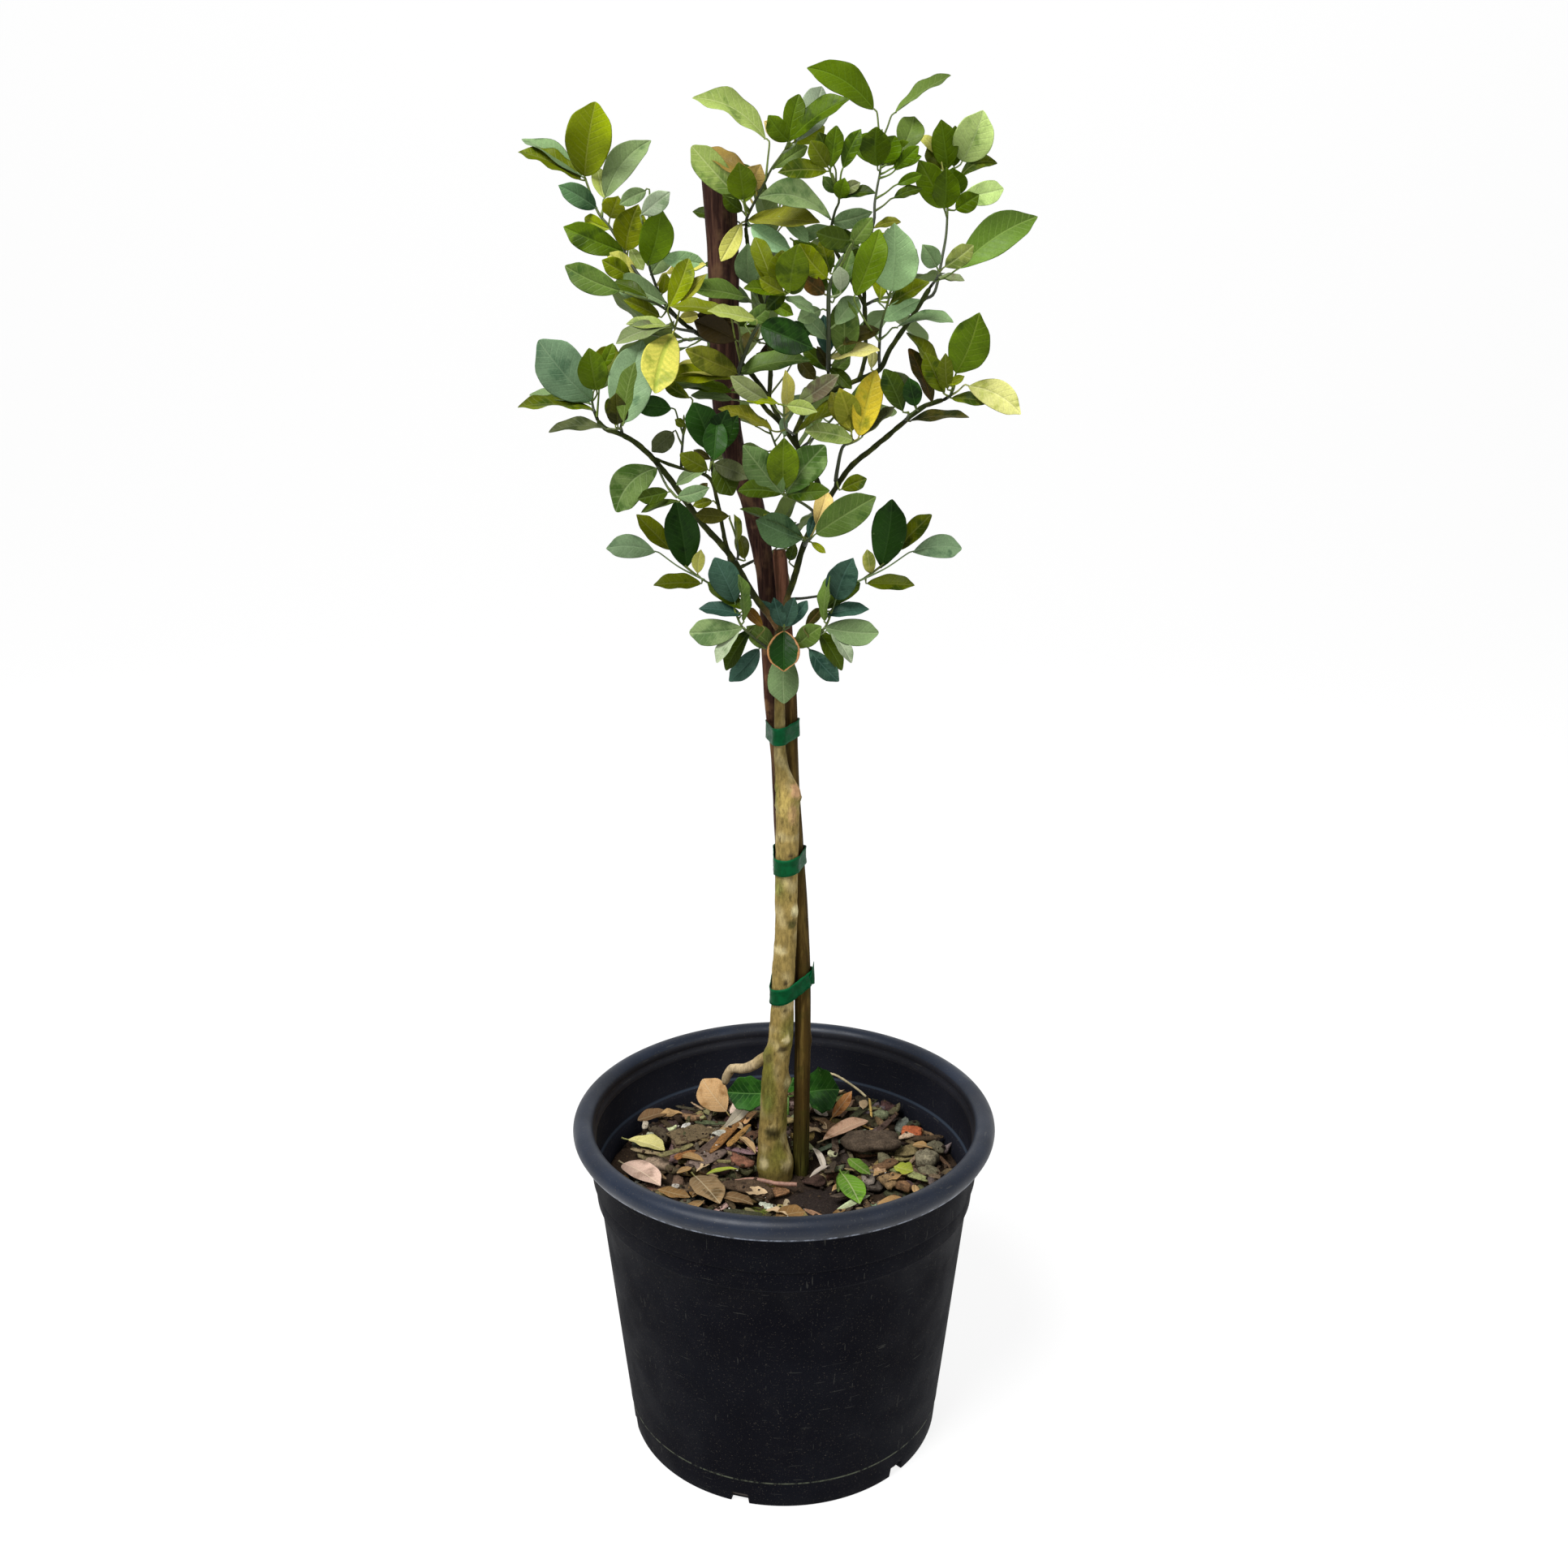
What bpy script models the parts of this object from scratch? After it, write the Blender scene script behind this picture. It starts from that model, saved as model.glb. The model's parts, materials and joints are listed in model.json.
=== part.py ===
"""A potted citrus tree: nursery pot, soil, mulch, staked and tied trunk, leafy shoots and fallen leaves.

Metres, +Z up. The origin is the middle of the pot's foot, and -Y is the front.

The tree was measured from the front. Its tables are in centimetres, as (across, up, depth): across and up
are read in the upright plane through the trunk, and seen() carries a place to its own depth along the line
of sight, so that the tree keeps its outline whatever the depth.
"""
import math
import random
from dataclasses import dataclass

import bmesh
import bpy
from mathutils import Matrix, Vector
from mathutils.bvhtree import BVHTree

CM = 0.01
GAP = 0.0003

# Where the tree was measured from
EYE = Vector((0.0, -1.0353, 0.8148))

# Pot
RIM_RADIUS = 0.160
RIM_ROLL = 0.0077
POT_HEIGHT = 0.2605
COLLAR_RADIUS = 0.1470
COLLAR_FOOT = 0.2140
LEDGE_RADIUS = 0.1437
STEP_HEIGHT = 0.196
STEP_RADIUS = 0.1411
FOOT_RADIUS = 0.1206
FOOT_BAND = 0.022
WALL = 0.0022
FLOOR = 0.004
POT_SIDES = 32
RIM_POINTS = 7
NOTCH_COUNT = 6
NOTCH_FIRST = math.radians(-15.6)
NOTCH_SIZE = (0.016, 0.012, 0.009)
NOTCH_TOP = 0.75

# Soil and mulch
SOIL_TOP = 0.1945
MULCH_TOP = 0.2035
MULCH_SWELL = 0.0022
MULCH_SIDES = 20
MULCH_RINGS = (1.0, 0.86, 0.68, 0.48, 0.26)
MULCH_SEED = 7
CHIP_COUNT = 26
CHIP_LENGTH = (0.014, 0.034)
CHIP_WIDTH = (0.007, 0.016)
CHIP_THICKNESS = (0.0035, 0.0060)
CHIP_TILT = 0.28
LITTER_LEVEL = MULCH_TOP + 0.006
HOLE_SIDES = 12
FLARE_ROOM = 0.0035
# Rings of the trunk and stakes below this height, in cm, stand in the soil and mulch
BURIED = 23.0
# Faces that lie this flat to each other, in degrees, become one: first the largest angle that works
LEAF_FLATNESS = (6.0, 4.0, 2.0)
WOOD_FLATNESS = (1.0, 0.2)

# Leaves
RIB_HALF = 0.0006
FOLD = 0.28
ARCH = 0.05
ROOT_START = 0.0015
STALK_HALF = 0.00055
SHORT_STALK = 0.006
BROAD = 0.52
SLIM = 0.42
SPUR = 0.006
LONG_LEAF = 0.056
SHORT_LEAF = 0.027
CLEAR = 0.0004
TRUNK_SIDES = 11
STAKE_SIDES = 8
LIMB_SIDES = 4
TWIG_SIDES = 4


def seen(across, up, depth=0.0):
    """The place at a depth that is seen where (across, up) lies in the trunk's plane, all in cm."""
    flat = Vector((across * CM, 0.0, up * CM))
    return EYE + (flat - EYE) * (1.0 + depth * CM / -EYE.y)


def size_at(depth):
    """How much larger a piece is at this depth than it looks in the trunk's plane."""
    return 1.0 + depth * CM / -EYE.y


# Wood: (across, up, depth, radius), in cm
TRUNK = [
    (-0.66, 12.5, 0.0, 1.05), (-0.66, 19.0, 0.0, 1.28), (-0.66, 21.0, 0.0, 1.36), (-0.80, 22.4, 0.0, 1.22),
    (-0.88, 23.8, 0.0, 1.10), (-0.81, 25.5, 0.0, 1.05), (-0.72, 27.4, 0.0, 1.02), (-0.65, 29.0, 0.0, 1.00),
    (-0.48, 30.5, 0.0, 0.95), (-0.25, 32.0, 0.0, 0.925), (-0.12, 34.5, 0.0, 0.85), (-0.03, 37.5, 0.0, 0.85),
    (0.12, 40.0, 0.0, 0.81), (0.16, 42.2, 0.0, 0.82), (0.19, 45.0, 0.0, 0.82), (0.25, 48.8, 0.0, 0.845),
    (0.22, 50.4, 0.0, 0.87), (0.18, 51.6, 0.0, 0.84), (-0.12, 52.9, 0.0, 0.52), (-0.29, 54.5, 0.1, 0.42),
    (-0.30, 57.5, 0.1, 0.37), (-0.30, 60.5, 0.0, 0.35), (-0.27, 62.4, -0.2, 0.40), (-0.22, 63.6, -0.4, 0.30),
]
# Knots and scars: height in cm, bearing in degrees from the front towards +X, rise and spread in cm
KNOTS = [
    (42.2, 38, 0.24, 0.60), (32.1, 26, 0.14, 0.50), (28.4, 80, 0.24, 0.45), (24.6, -2, 0.10, 0.60),
    (21.9, 55, 0.35, 0.80), (21.2, -60, 0.30, 0.70), (51.0, 60, 0.22, 0.60), (38.8, -30, 0.08, 0.45),
    (46.7, 15, 0.06, 0.35), (36.7, 12, 0.05, 0.35), (30.6, -72, 0.20, 0.55), (26.5, 170, 0.16, 0.60),
    (40.8, 200, 0.20, 0.60),
]
SHORT_STAKE = [
    (1.30, 11.0, 0.60, 0.60), (1.30, 21.0, 0.60, 0.62), (1.34, 25.0, 0.60, 0.62),
    (1.41, 32.0, 0.75, 0.61), (1.36, 37.3, 1.00, 0.60), (1.16, 42.0, 1.30, 0.60),
    (0.92, 45.75, 1.50, 0.59), (0.66, 50.0, 1.70, 0.56), (0.56, 52.0, 1.65, 0.53),
    (0.53, 54.5, 1.55, 0.47), (0.48, 57.5, 1.45, 0.45), (0.20, 62.0, 1.35, 0.47),
    (-0.28, 68.0, 1.30, 0.50), (-0.30, 68.5, 1.30, 0.42),
]
TALL_STAKE = [
    (-0.60, 10.5, 2.60, 0.58), (-0.60, 25.0, 2.60, 0.60), (-0.30, 32.0, 2.60, 0.60),
    (-0.05, 40.0, 2.70, 0.60), (0.00, 45.0, 2.75, 0.60), (-0.10, 48.8, 2.80, 0.60),
    (-0.22, 51.3, 2.70, 0.60), (-0.42, 54.5, 2.55, 0.58), (-0.84, 57.7, 2.40, 0.54),
    (-0.96, 60.8, 2.40, 0.56), (-1.15, 66.0, 2.50, 0.68), (-1.46, 68.2, 2.50, 0.72),
    (-1.72, 69.45, 2.40, 0.74), (-2.22, 71.9, 2.30, 0.80), (-3.25, 74.65, 2.20, 0.85),
    (-3.72, 76.6, 2.20, 0.88), (-3.90, 80.0, 2.20, 0.93), (-3.95, 86.0, 2.10, 1.00),
    (-4.05, 89.5, 2.00, 1.04), (-4.28, 92.6, 1.90, 1.06), (-4.32, 93.5, 1.90, 0.85),
]

# Limbs: start and end radius in cm, then the route
LIMBS = {
    "left": (0.21, 0.12, [(-0.25, 62.8, -0.2), (-1.05, 64.0, -0.8), (-1.97, 65.2, -1.2), (-3.76, 68.2, -2.0),
                          (-5.66, 70.4, -2.6), (-7.75, 73.3, -3.0), (-9.4, 75.2, -3.3), (-10.85, 76.2, -3.5),
                          (-12.0, 76.6, -3.6), (-12.5, 77.2, -3.7)]),
    "left_inner": (0.12, 0.09, [(-3.76, 68.2, -2.0), (-4.1, 69.4, -2.3), (-4.33, 70.9, -2.8),
                                (-4.7, 72.6, -3.6), (-4.85, 73.8, -4.2)]),
    "left_cross": (0.10, 0.08, [(-4.7, 72.6, -3.6), (-5.2, 73.5, -3.6), (-6.95, 74.0, -3.4),
                                (-8.0, 74.35, -3.1), (-8.95, 74.75, -3.2)]),
    "right": (0.20, 0.12, [(-0.22, 63.0, -0.3), (0.22, 65.1, -0.5), (0.71, 66.6, -0.7), (1.31, 68.7, -0.9),
                           (2.15, 70.5, -1.0), (3.45, 72.6, -1.1), (4.6, 74.2, -1.2), (5.9, 75.25, -1.3),
                           (7.35, 76.45, -1.6), (9.1, 77.9, -2.0), (10.0, 78.3, -2.2), (10.7, 78.5, -2.3)]),
    "leader": (0.17, 0.13, [(2.6, 71.2, -1.05), (2.5, 72.4, 0.2), (1.9, 73.8, 1.4), (1.0, 75.2, 2.4),
                            (0.75, 76.2, 2.6), (1.1, 77.1, 2.4), (1.75, 78.3, 2.0), (3.1, 79.0, 1.4),
                            (5.0, 79.8, 0.8), (6.35, 80.45, 0.4), (7.0, 81.7, 0.3), (8.2, 83.45, 0.3),
                            (9.0, 84.7, 0.4), (9.55, 85.6, 0.5)]),
    "inner_left": (0.14, 0.11, [(1.0, 75.2, 2.4), (-0.2, 76.9, 2.2), (-1.3, 78.0, 1.4), (-2.2, 79.2, 0.2),
                                (-2.7, 79.9, -0.8)]),
    "behind": (0.15, 0.11, [(-0.2, 76.9, 2.2), (-1.0, 78.6, 4.0), (-2.6, 80.6, 4.9), (-4.3, 82.0, 4.6),
                            (-5.8, 82.8, 3.2), (-6.9, 83.6, 1.8), (-8.0, 84.8, 1.2), (-8.7, 85.6, 1.0)]),
    "middle_back": (0.14, 0.10, [(-1.0, 78.6, 4.0), (-0.9, 81.0, 4.6), (-1.3, 84.0, 4.4), (-2.1, 87.0, 2.8),
                                 (-2.45, 88.9, 0.9), (-2.45, 89.3, 0.4)]),
    "right_stem": (0.12, 0.10, [(3.1, 79.0, 1.4), (2.95, 79.6, 0.2), (2.95, 80.2, -0.8)]),
    "right_back": (0.13, 0.10, [(5.0, 79.8, 0.8), (5.4, 81.5, 2.2), (5.3, 84.5, 2.8), (5.2, 87.2, 2.0),
                                (5.6, 88.7, 1.0)]),
    "top_back": (0.11, 0.09, [(5.3, 84.5, 2.8), (4.2, 86.4, 2.6), (3.3, 88.0, 1.0), (3.05, 88.8, 0.0)]),
    "back_low": (0.13, 0.11, [(1.9, 73.8, 1.4), (1.6, 73.6, 3.2), (1.0, 72.8, 5.6), (0.6, 72.0, 7.4)]),
    "back_foot": (0.12, 0.10, [(-3.76, 68.2, -2.0), (-3.7, 67.6, 1.2), (-3.2, 67.3, 4.2),
                               (-2.6, 67.5, 6.2)]),
    "dead_stub": (0.42, 0.10, [(-0.7, 30.5, 0.0), (-1.5, 30.25, 0.2), (-2.3, 29.65, 0.6), (-3.1, 29.35, 1.2),
                               (-3.9, 29.35, 1.8), (-4.35, 28.7, 2.1), (-4.5, 28.1, 2.2)]),
}

# Leafy shoots: twig radius in cm, its route from the middle of a limb, and the leaves as
# (tint, base across, base up, tip across, tip up, width seen[, depth from base to tip])
SHOOTS = {
    "shoot_left_top": (0.11, [(-8.7, 85.6, 1.0), (-9.6, 86.5, 1.4), (-10.4, 87.8, 2.0), (-11.2, 89.2, 2.5),
                              (-12.0, 90.2, 3.0), (-12.6, 91.75, 3.4), (-12.8, 92.4, 3.6)], [
        ("lime", -12.8, 92.4, -11.96, 96.8, 2.9), ("olive", -13.05, 92.2, -17.0, 93.85, 1.1),
        ("dark", -13.0, 92.4, -16.7, 94.7, 1.0, 1.5), ("sage", -11.5, 91.15, -8.5, 94.55, 1.8, 1.2),
        ("pale", -11.6, 91.1, -12.0, 93.0, 1.0, 1.0), ("deep", -12.15, 90.5, -14.5, 91.85, 1.4, -0.8),
        ("lime", -11.25, 89.9, -10.7, 91.2, 1.6), ("lime", -10.3, 87.9, -9.4, 90.7, 2.1, -1.6),
        ("olive", -10.4, 87.8, -14.3, 89.35, 1.8), ("lime", -11.3, 89.2, -12.9, 89.9, 1.0, 1.0),
        ("olive", -10.0, 86.3, -11.85, 87.3, 1.3, -0.9)]),
    "shoot_left_upper": (0.09, [(-8.0, 84.8, 1.2), (-8.45, 85.9, 0.2), (-8.8, 87.0, -0.8), (-9.0, 88.6, -1.6),
                                (-9.2, 89.9, -2.2)], [
        ("dark", -8.9, 87.0, -7.95, 90.45, 2.2), ("sage", -9.2, 90.1, -7.35, 91.45, 1.3),
        ("sage", -8.7, 86.4, -7.45, 87.85, 1.4, 1.2), ("sage", -7.7, 86.5, -5.1, 87.05, 0.9, -1.0)]),
    "shoot_hub": (0.10, [(-5.8, 82.8, 3.2), (-6.3, 82.9, 1.6), (-6.9, 83.0, -0.6), (-7.35, 83.15, -2.4),
                         (-7.5, 83.4, -3.2)], [
        ("lime", -7.55, 84.4, -6.2, 87.4, 1.5), ("yellow", -6.7, 84.4, -5.1, 86.45, 0.8),
        ("green", -7.75, 83.2, -10.4, 83.35, 0.8), ("pale", -7.65, 83.2, -11.1, 82.1, 1.1, -1.2),
        ("brown", -7.9, 83.0, -10.7, 82.2, 0.4, 0.8), ("veined", -7.35, 82.7, -8.6, 78.95, 2.5, -1.4)]),
    "shoot_hub_left": (0.09, [(-6.9, 83.6, 1.8), (-7.7, 84.2, 0.6), (-8.6, 84.7, -0.4), (-9.6, 85.0, -0.9),
                              (-10.6, 85.35, -1.0)], [
        ("olive", -10.75, 85.4, -14.3, 86.95, 1.7), ("dark", -9.0, 85.05, -11.2, 85.95, 0.8, 0.8),
        ("sage", -7.75, 84.6, -11.0, 86.1, 1.7, 1.6), ("olive", -8.2, 83.8, -10.5, 84.85, 0.9, -1.2)]),
    "shoot_left_end": (0.10, [(-12.5, 77.2, -3.7), (-12.75, 77.9, -3.0), (-12.85, 78.6, -2.2)], [
        ("sage", -12.85, 78.4, -16.2, 82.25, 3.2), ("olive", -12.75, 77.8, -17.8, 78.05, 0.9, -0.8),
        ("sage", -12.9, 78.2, -17.0, 78.8, 0.7, 1.0), ("olive", -12.65, 79.1, -11.2, 82.0, 2.1, 1.2)]),
    "shoot_left_elbow": (0.09, [(-10.85, 76.2, -3.5), (-10.95, 76.7, -4.3), (-10.85, 77.2, -5.2)], [
        ("sage", -10.7, 77.0, -9.35, 82.3, 3.0, -1.4), ("olive", -11.9, 76.6, -15.8, 76.45, 0.8, -1.0),
        ("olive", -11.3, 76.8, -11.15, 78.8, 1.4, 1.0)]),
    "shoot_left_mid": (0.09, [(-6.95, 74.0, -3.4), (-6.9, 75.0, -2.9), (-6.75, 76.4, -2.7),
                              (-6.7, 77.5, -2.9)], [
        ("deep", -7.55, 77.9, -10.0, 78.2, 1.4), ("sage", -7.45, 76.35, -8.9, 75.1, 1.3, -0.8),
        ("olive", -6.6, 76.8, -7.3, 77.2, 0.6), ("olive", -6.3, 78.6, -7.95, 79.7, 0.9, 0.6)]),
    "shoot_low_inner": (0.09, [(-4.85, 73.8, -4.2), (-4.9, 74.6, -4.6), (-4.88, 75.3, -5.0)], [
        ("deep", -4.9, 75.2, -6.05, 78.3, 2.2, -1.0), ("dark", -4.85, 75.3, -3.1, 77.45, 1.5, -0.6),
        ("olive", -5.15, 73.9, -7.0, 74.95, 1.3, -1.2), ("sage", -4.7, 74.2, -3.5, 72.2, 1.8, -0.8),
        ("sage", -4.7, 74.3, -2.3, 73.3, 1.3, -1.6)]),
    "shoot_centre_left": (0.10, [(-2.7, 79.9, -0.8), (-3.0, 80.3, -1.9), (-2.6, 81.4, -3.2),
                                 (-2.05, 82.65, -4.3), (-1.65, 83.3, -4.9)], [
        ("yellow", -3.1, 80.2, -6.5, 81.7, 1.6, -1.4), ("olive", -3.3, 79.9, -7.85, 79.85, 1.3, -1.0),
        ("deep", -3.0, 80.2, 1.75, 81.0, 1.3, -1.0), ("brown", -2.8, 80.7, -1.7, 83.2, 0.8, 1.9),
        ("brown", -3.2, 82.3, -5.9, 83.5, 1.8, -0.6), ("pale", -1.9, 83.6, -5.0, 84.2, 0.9, -1.0),
        ("lime", -3.8, 84.0, -7.4, 84.4, 0.9, 0.8), ("rimmed", -1.5, 83.2, 1.9, 81.8, 2.2, -1.2)]),
    "shoot_centre": (0.09, [(-1.3, 84.0, 4.4), (-1.2, 84.4, 2.4), (-0.8, 84.7, -0.2), (-0.35, 84.8, -2.6),
                            (0.0, 85.1, -4.6), (0.1, 85.5, -5.4)], [
        ("sage", -2.25, 85.8, -2.35, 88.3, 1.7), ("olive", 0.2, 85.6, -0.15, 87.9, 2.1, -0.9),
        ("olive", -0.8, 86.0, -1.9, 88.7, 1.3, 1.0), ("sage", 0.15, 85.2, -2.6, 85.6, 0.9, -1.4),
        ("sage", 0.0, 85.0, 2.0, 84.0, 0.7, -1.0), ("pale", -2.6, 85.0, -6.4, 85.55, 1.2, -1.0)]),
    "shoot_top_left": (0.09, [(-2.45, 89.3, 0.4), (-2.4, 89.9, -0.6), (-1.9, 90.85, -1.5),
                              (-1.25, 92.0, -2.2), (-0.8, 92.85, -2.6), (-0.1, 93.75, -3.0),
                              (0.37, 94.4, -3.2)], [
        ("pale", -1.17, 94.6, -5.8, 97.05, 1.5, -0.8), ("olive", 0.2, 94.5, -1.25, 95.65, 1.2, -0.8),
        ("olive", 0.3, 94.5, 0.96, 97.25, 1.35), ("dark", 0.35, 94.5, 4.15, 96.95, 1.3, -1.2),
        ("sage", 0.8, 94.5, 2.4, 97.7, 2.0, 1.8), ("lime", 0.6, 94.4, 2.6, 95.35, 1.3, 0.9),
        ("pale", -2.8, 91.0, -5.9, 94.2, 1.9), ("green", -2.5, 90.85, -2.4, 93.1, 1.8, 1.0),
        ("brown", -2.0, 92.3, -4.9, 94.1, 1.2, 1.8), ("dark", -2.7, 90.3, -3.95, 91.3, 1.0, -0.8),
        ("yellow", -2.75, 89.55, -4.1, 87.25, 1.2, -0.8), ("rimmed", -2.35, 89.75, 2.28, 89.7, 1.2, -2.2),
        ("rimmed", -2.1, 89.4, 0.45, 87.9, 1.4, -1.2)]),
    "shoot_top_mid": (0.09, [(3.05, 88.8, 0.0), (3.1, 89.5, -1.6), (3.3, 90.3, -2.8), (3.55, 91.05, -3.6),
                             (3.1, 92.6, -4.4)], [
        ("sage", 3.05, 89.8, -1.6, 91.15, 1.6, -1.6), ("dark", 3.8, 92.9, 4.9, 95.2, 1.1),
        ("dark", 3.0, 92.9, 3.35, 95.4, 1.2, -0.6), ("olive", 2.8, 92.95, 1.7, 94.5, 1.3, -1.0),
        ("olive", 2.75, 92.7, -0.35, 92.65, 1.2, -1.4), ("dark", 3.6, 91.05, 3.9, 92.3, 1.1, -0.8),
        ("sage", 3.15, 89.6, 5.7, 90.25, 1.2, -1.0), ("dark", 3.6, 91.1, 5.9, 91.4, 0.7, -0.8),
        ("dark", 2.9, 88.9, 4.9, 88.1, 1.5, -1.6), ("green", 3.1, 89.3, 0.9, 88.5, 0.9, 0.6)]),
    "shoot_top_right": (0.09, [(5.6, 88.7, 1.0), (5.85, 89.9, 1.6), (5.85, 90.75, 2.0), (6.0, 91.75, 2.5),
                               (6.2, 93.0, 3.1), (6.25, 95.2, 3.9)], [
        ("dark", 5.68, 96.35, 1.46, 98.8, 1.9), ("sage", 7.05, 96.15, 10.5, 98.4, 0.7),
        ("dark", 6.2, 93.2, 4.75, 94.85, 1.5, 1.0), ("dark", 6.35, 93.2, 7.1, 94.8, 1.7, -0.8),
        ("dark", 7.1, 92.75, 8.6, 94.2, 0.9, -0.8), ("dark", 7.3, 91.9, 8.85, 92.5, 0.7),
        ("dark", 7.1, 91.1, 8.9, 91.65, 0.7, 0.6), ("brown", 5.85, 89.3, 7.55, 89.65, 0.6, -0.8),
        ("green", 7.53, 93.95, 8.3, 95.95, 1.8, 1.0)]),
    "shoot_right_top": (0.10, [(9.0, 84.7, 0.4), (9.9, 85.4, 1.8), (10.35, 87.75, 3.0), (10.5, 88.7, 3.5),
                               (10.55, 89.5, 3.9), (10.55, 91.0, 4.5), (10.5, 92.8, 5.1)], [
        ("olive", 10.5, 92.85, 10.0, 95.75, 1.7), ("olive", 10.4, 92.8, 9.2, 94.2, 1.2, 0.8),
        ("sage", 10.3, 90.5, 8.65, 93.35, 1.9), ("dark", 10.9, 91.2, 10.8, 92.9, 1.8, -1.2),
        ("dark", 11.1, 90.4, 12.55, 91.3, 1.3, -0.8), ("sage", 11.4, 91.1, 14.15, 91.65, 1.5, 0.6),
        ("round", 11.4, 93.3, 12.65, 96.3, 2.5), ("rust", 11.3, 92.3, 13.65, 93.2, 0.9, -0.7),
        ("yellow", 9.9, 93.6, 8.7, 94.85, 0.7, 1.6)]),
    "shoot_right_upper": (0.09, [(9.55, 85.6, 0.5), (10.0, 86.2, -1.0), (10.1, 86.7, -2.6)], [
        ("veined_green", 11.4, 86.8, 16.4, 90.0, 2.4), ("deep", 9.95, 86.9, 9.0, 88.25, 1.3, -0.8),
        ("pale", 10.5, 86.9, 12.3, 88.2, 1.3, -1.5), ("olive", 10.05, 86.2, 11.8, 86.05, 0.5, -0.6)]),
    "shoot_right_mid": (0.10, [(6.35, 80.45, 0.4), (6.3, 81.5, -0.8), (6.4, 83.2, -1.9), (6.8, 84.6, -2.6),
                               (7.0, 85.5, -2.9)], [
        ("sage", 7.05, 85.4, 7.15, 89.5, 3.1), ("olive", 6.9, 84.5, 9.5, 85.95, 1.0, -1.2),
        ("sage", 6.5, 83.6, 8.9, 84.85, 1.2, -1.4), ("lime", 6.3, 84.85, 6.45, 89.0, 1.9, 1.2),
        ("sage", 7.4, 83.1, 11.15, 83.45, 0.7, -1.0)]),
    "shoot_right_stem": (0.10, [(2.95, 80.2, -0.8), (2.95, 81.2, -2.6), (2.95, 83.0, -4.0),
                                (2.95, 85.5, -5.0), (3.4, 86.6, -5.2), (3.9, 87.6, -5.2)], [
        ("pale", 3.0, 81.1, 6.3, 81.7, 0.9, -1.2), ("brown", 2.9, 80.6, 2.2, 81.9, 0.8, -0.6),
        ("sheen", 4.0, 81.3, 3.9, 85.0, 2.0), ("sage", 2.75, 82.4, 1.25, 83.9, 1.1, -0.8),
        ("olive", 2.65, 85.2, 1.2, 86.3, 1.2, -0.6), ("lime", 2.8, 86.2, 1.0, 88.3, 1.5, -1.0),
        ("sage", 3.7, 85.4, 3.6, 86.9, 1.1, -1.0), ("olive", 3.4, 83.3, 4.9, 85.0, 1.5, 1.2),
        ("dark", 3.05, 80.5, 4.5, 79.2, 0.9, -1.0), ("brown", 3.9, 82.0, 6.3, 83.0, 1.0, 1.0)]),
    "shoot_spear": (0.09, [(0.75, 76.2, 2.6), (0.4, 76.4, 0.4), (0.1, 76.7, -1.8), (0.0, 77.4, -3.2),
                           (0.0, 78.2, -3.9)], [
        ("lime", 0.1, 77.2, 0.1, 80.4, 0.9, -0.6), ("olive", -1.0, 78.4, -3.55, 80.0, 1.3, -1.0),
        ("olive", 1.0, 78.3, 3.65, 80.1, 1.3, -1.0), ("olive", -0.8, 76.5, -4.4, 77.9, 0.9, -1.0),
        ("olive", 0.9, 76.4, 5.0, 78.3, 0.9, -1.4), ("lime", 0.2, 78.1, 2.2, 77.7, 1.0, -1.2),
        ("lime", -0.3, 78.2, -2.5, 78.4, 0.6, -0.8)]),
    "shoot_right_fork": (0.09, [(3.45, 72.6, -1.1), (3.6, 73.9, -1.8), (3.95, 75.4, -2.6),
                                (4.7, 75.9, -3.0)], [
        ("bright", 5.05, 76.15, 6.1, 80.4, 1.9), ("lime", 4.45, 76.6, 3.15, 79.0, 1.2, 0.8),
        ("pale", 4.6, 75.85, 1.45, 76.45, 1.3, -1.2), ("olive", 5.2, 76.05, 7.4, 78.1, 0.8, 1.0),
        ("olive", 3.9, 72.6, 5.6, 73.3, 1.1, -0.8)]),
    "shoot_right_end": (0.10, [(10.7, 78.5, -2.3), (11.1, 78.75, -3.2), (11.4, 79.4, -4.0)], [
        ("lime_veined", 11.45, 80.2, 12.85, 84.0, 2.7), ("olive", 10.6, 79.0, 9.35, 81.5, 1.5, -0.8),
        ("olive", 10.7, 78.9, 8.15, 82.85, 0.9, 1.0), ("olive", 10.9, 79.2, 10.7, 81.45, 1.0, -1.4),
        ("bright", 12.3, 79.35, 15.85, 77.55, 1.9, -1.2), ("olive", 11.2, 78.6, 13.9, 78.3, 0.85, -1.0)]),
    "shoot_right_low": (0.09, [(8.0, 77.0, -1.75), (8.3, 77.4, -2.9), (8.35, 77.7, -3.8)], [
        ("dark", 7.95, 77.75, 6.65, 80.45, 1.5, -0.8), ("deep", 8.8, 78.1, 8.3, 79.9, 1.3, -0.9),
        ("sage", 8.4, 77.1, 12.4, 77.35, 0.7, -1.4)]),
    "shoot_low_left": (0.09, [(-8.6, 74.25, -3.15), (-8.45, 73.9, -4.2), (-8.0, 72.9, -4.9),
                              (-7.3, 72.0, -5.2)], [
        ("sage", -8.6, 74.0, -11.45, 71.1, 2.4), ("dark", -7.9, 72.4, -9.95, 71.95, 1.1, -0.8),
        ("dark", -7.2, 71.8, -9.75, 71.1, 0.6, 0.6), ("sage", -7.2, 72.1, -5.1, 72.7, 1.1, -0.8)]),
    "shoot_low_mid": (0.09, [(-3.4, 67.6, -1.85), (-3.15, 68.1, -2.9), (-3.3, 69.4, -3.7),
                             (-3.75, 70.7, -4.2)], [
        ("olive", -3.75, 70.8, -6.0, 70.9, 1.1, -0.8), ("olive", -3.3, 68.7, -3.4, 70.9, 0.5, -1.2),
        ("lime", -2.7, 67.9, -3.15, 69.6, 1.0, 1.0)]),
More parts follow.
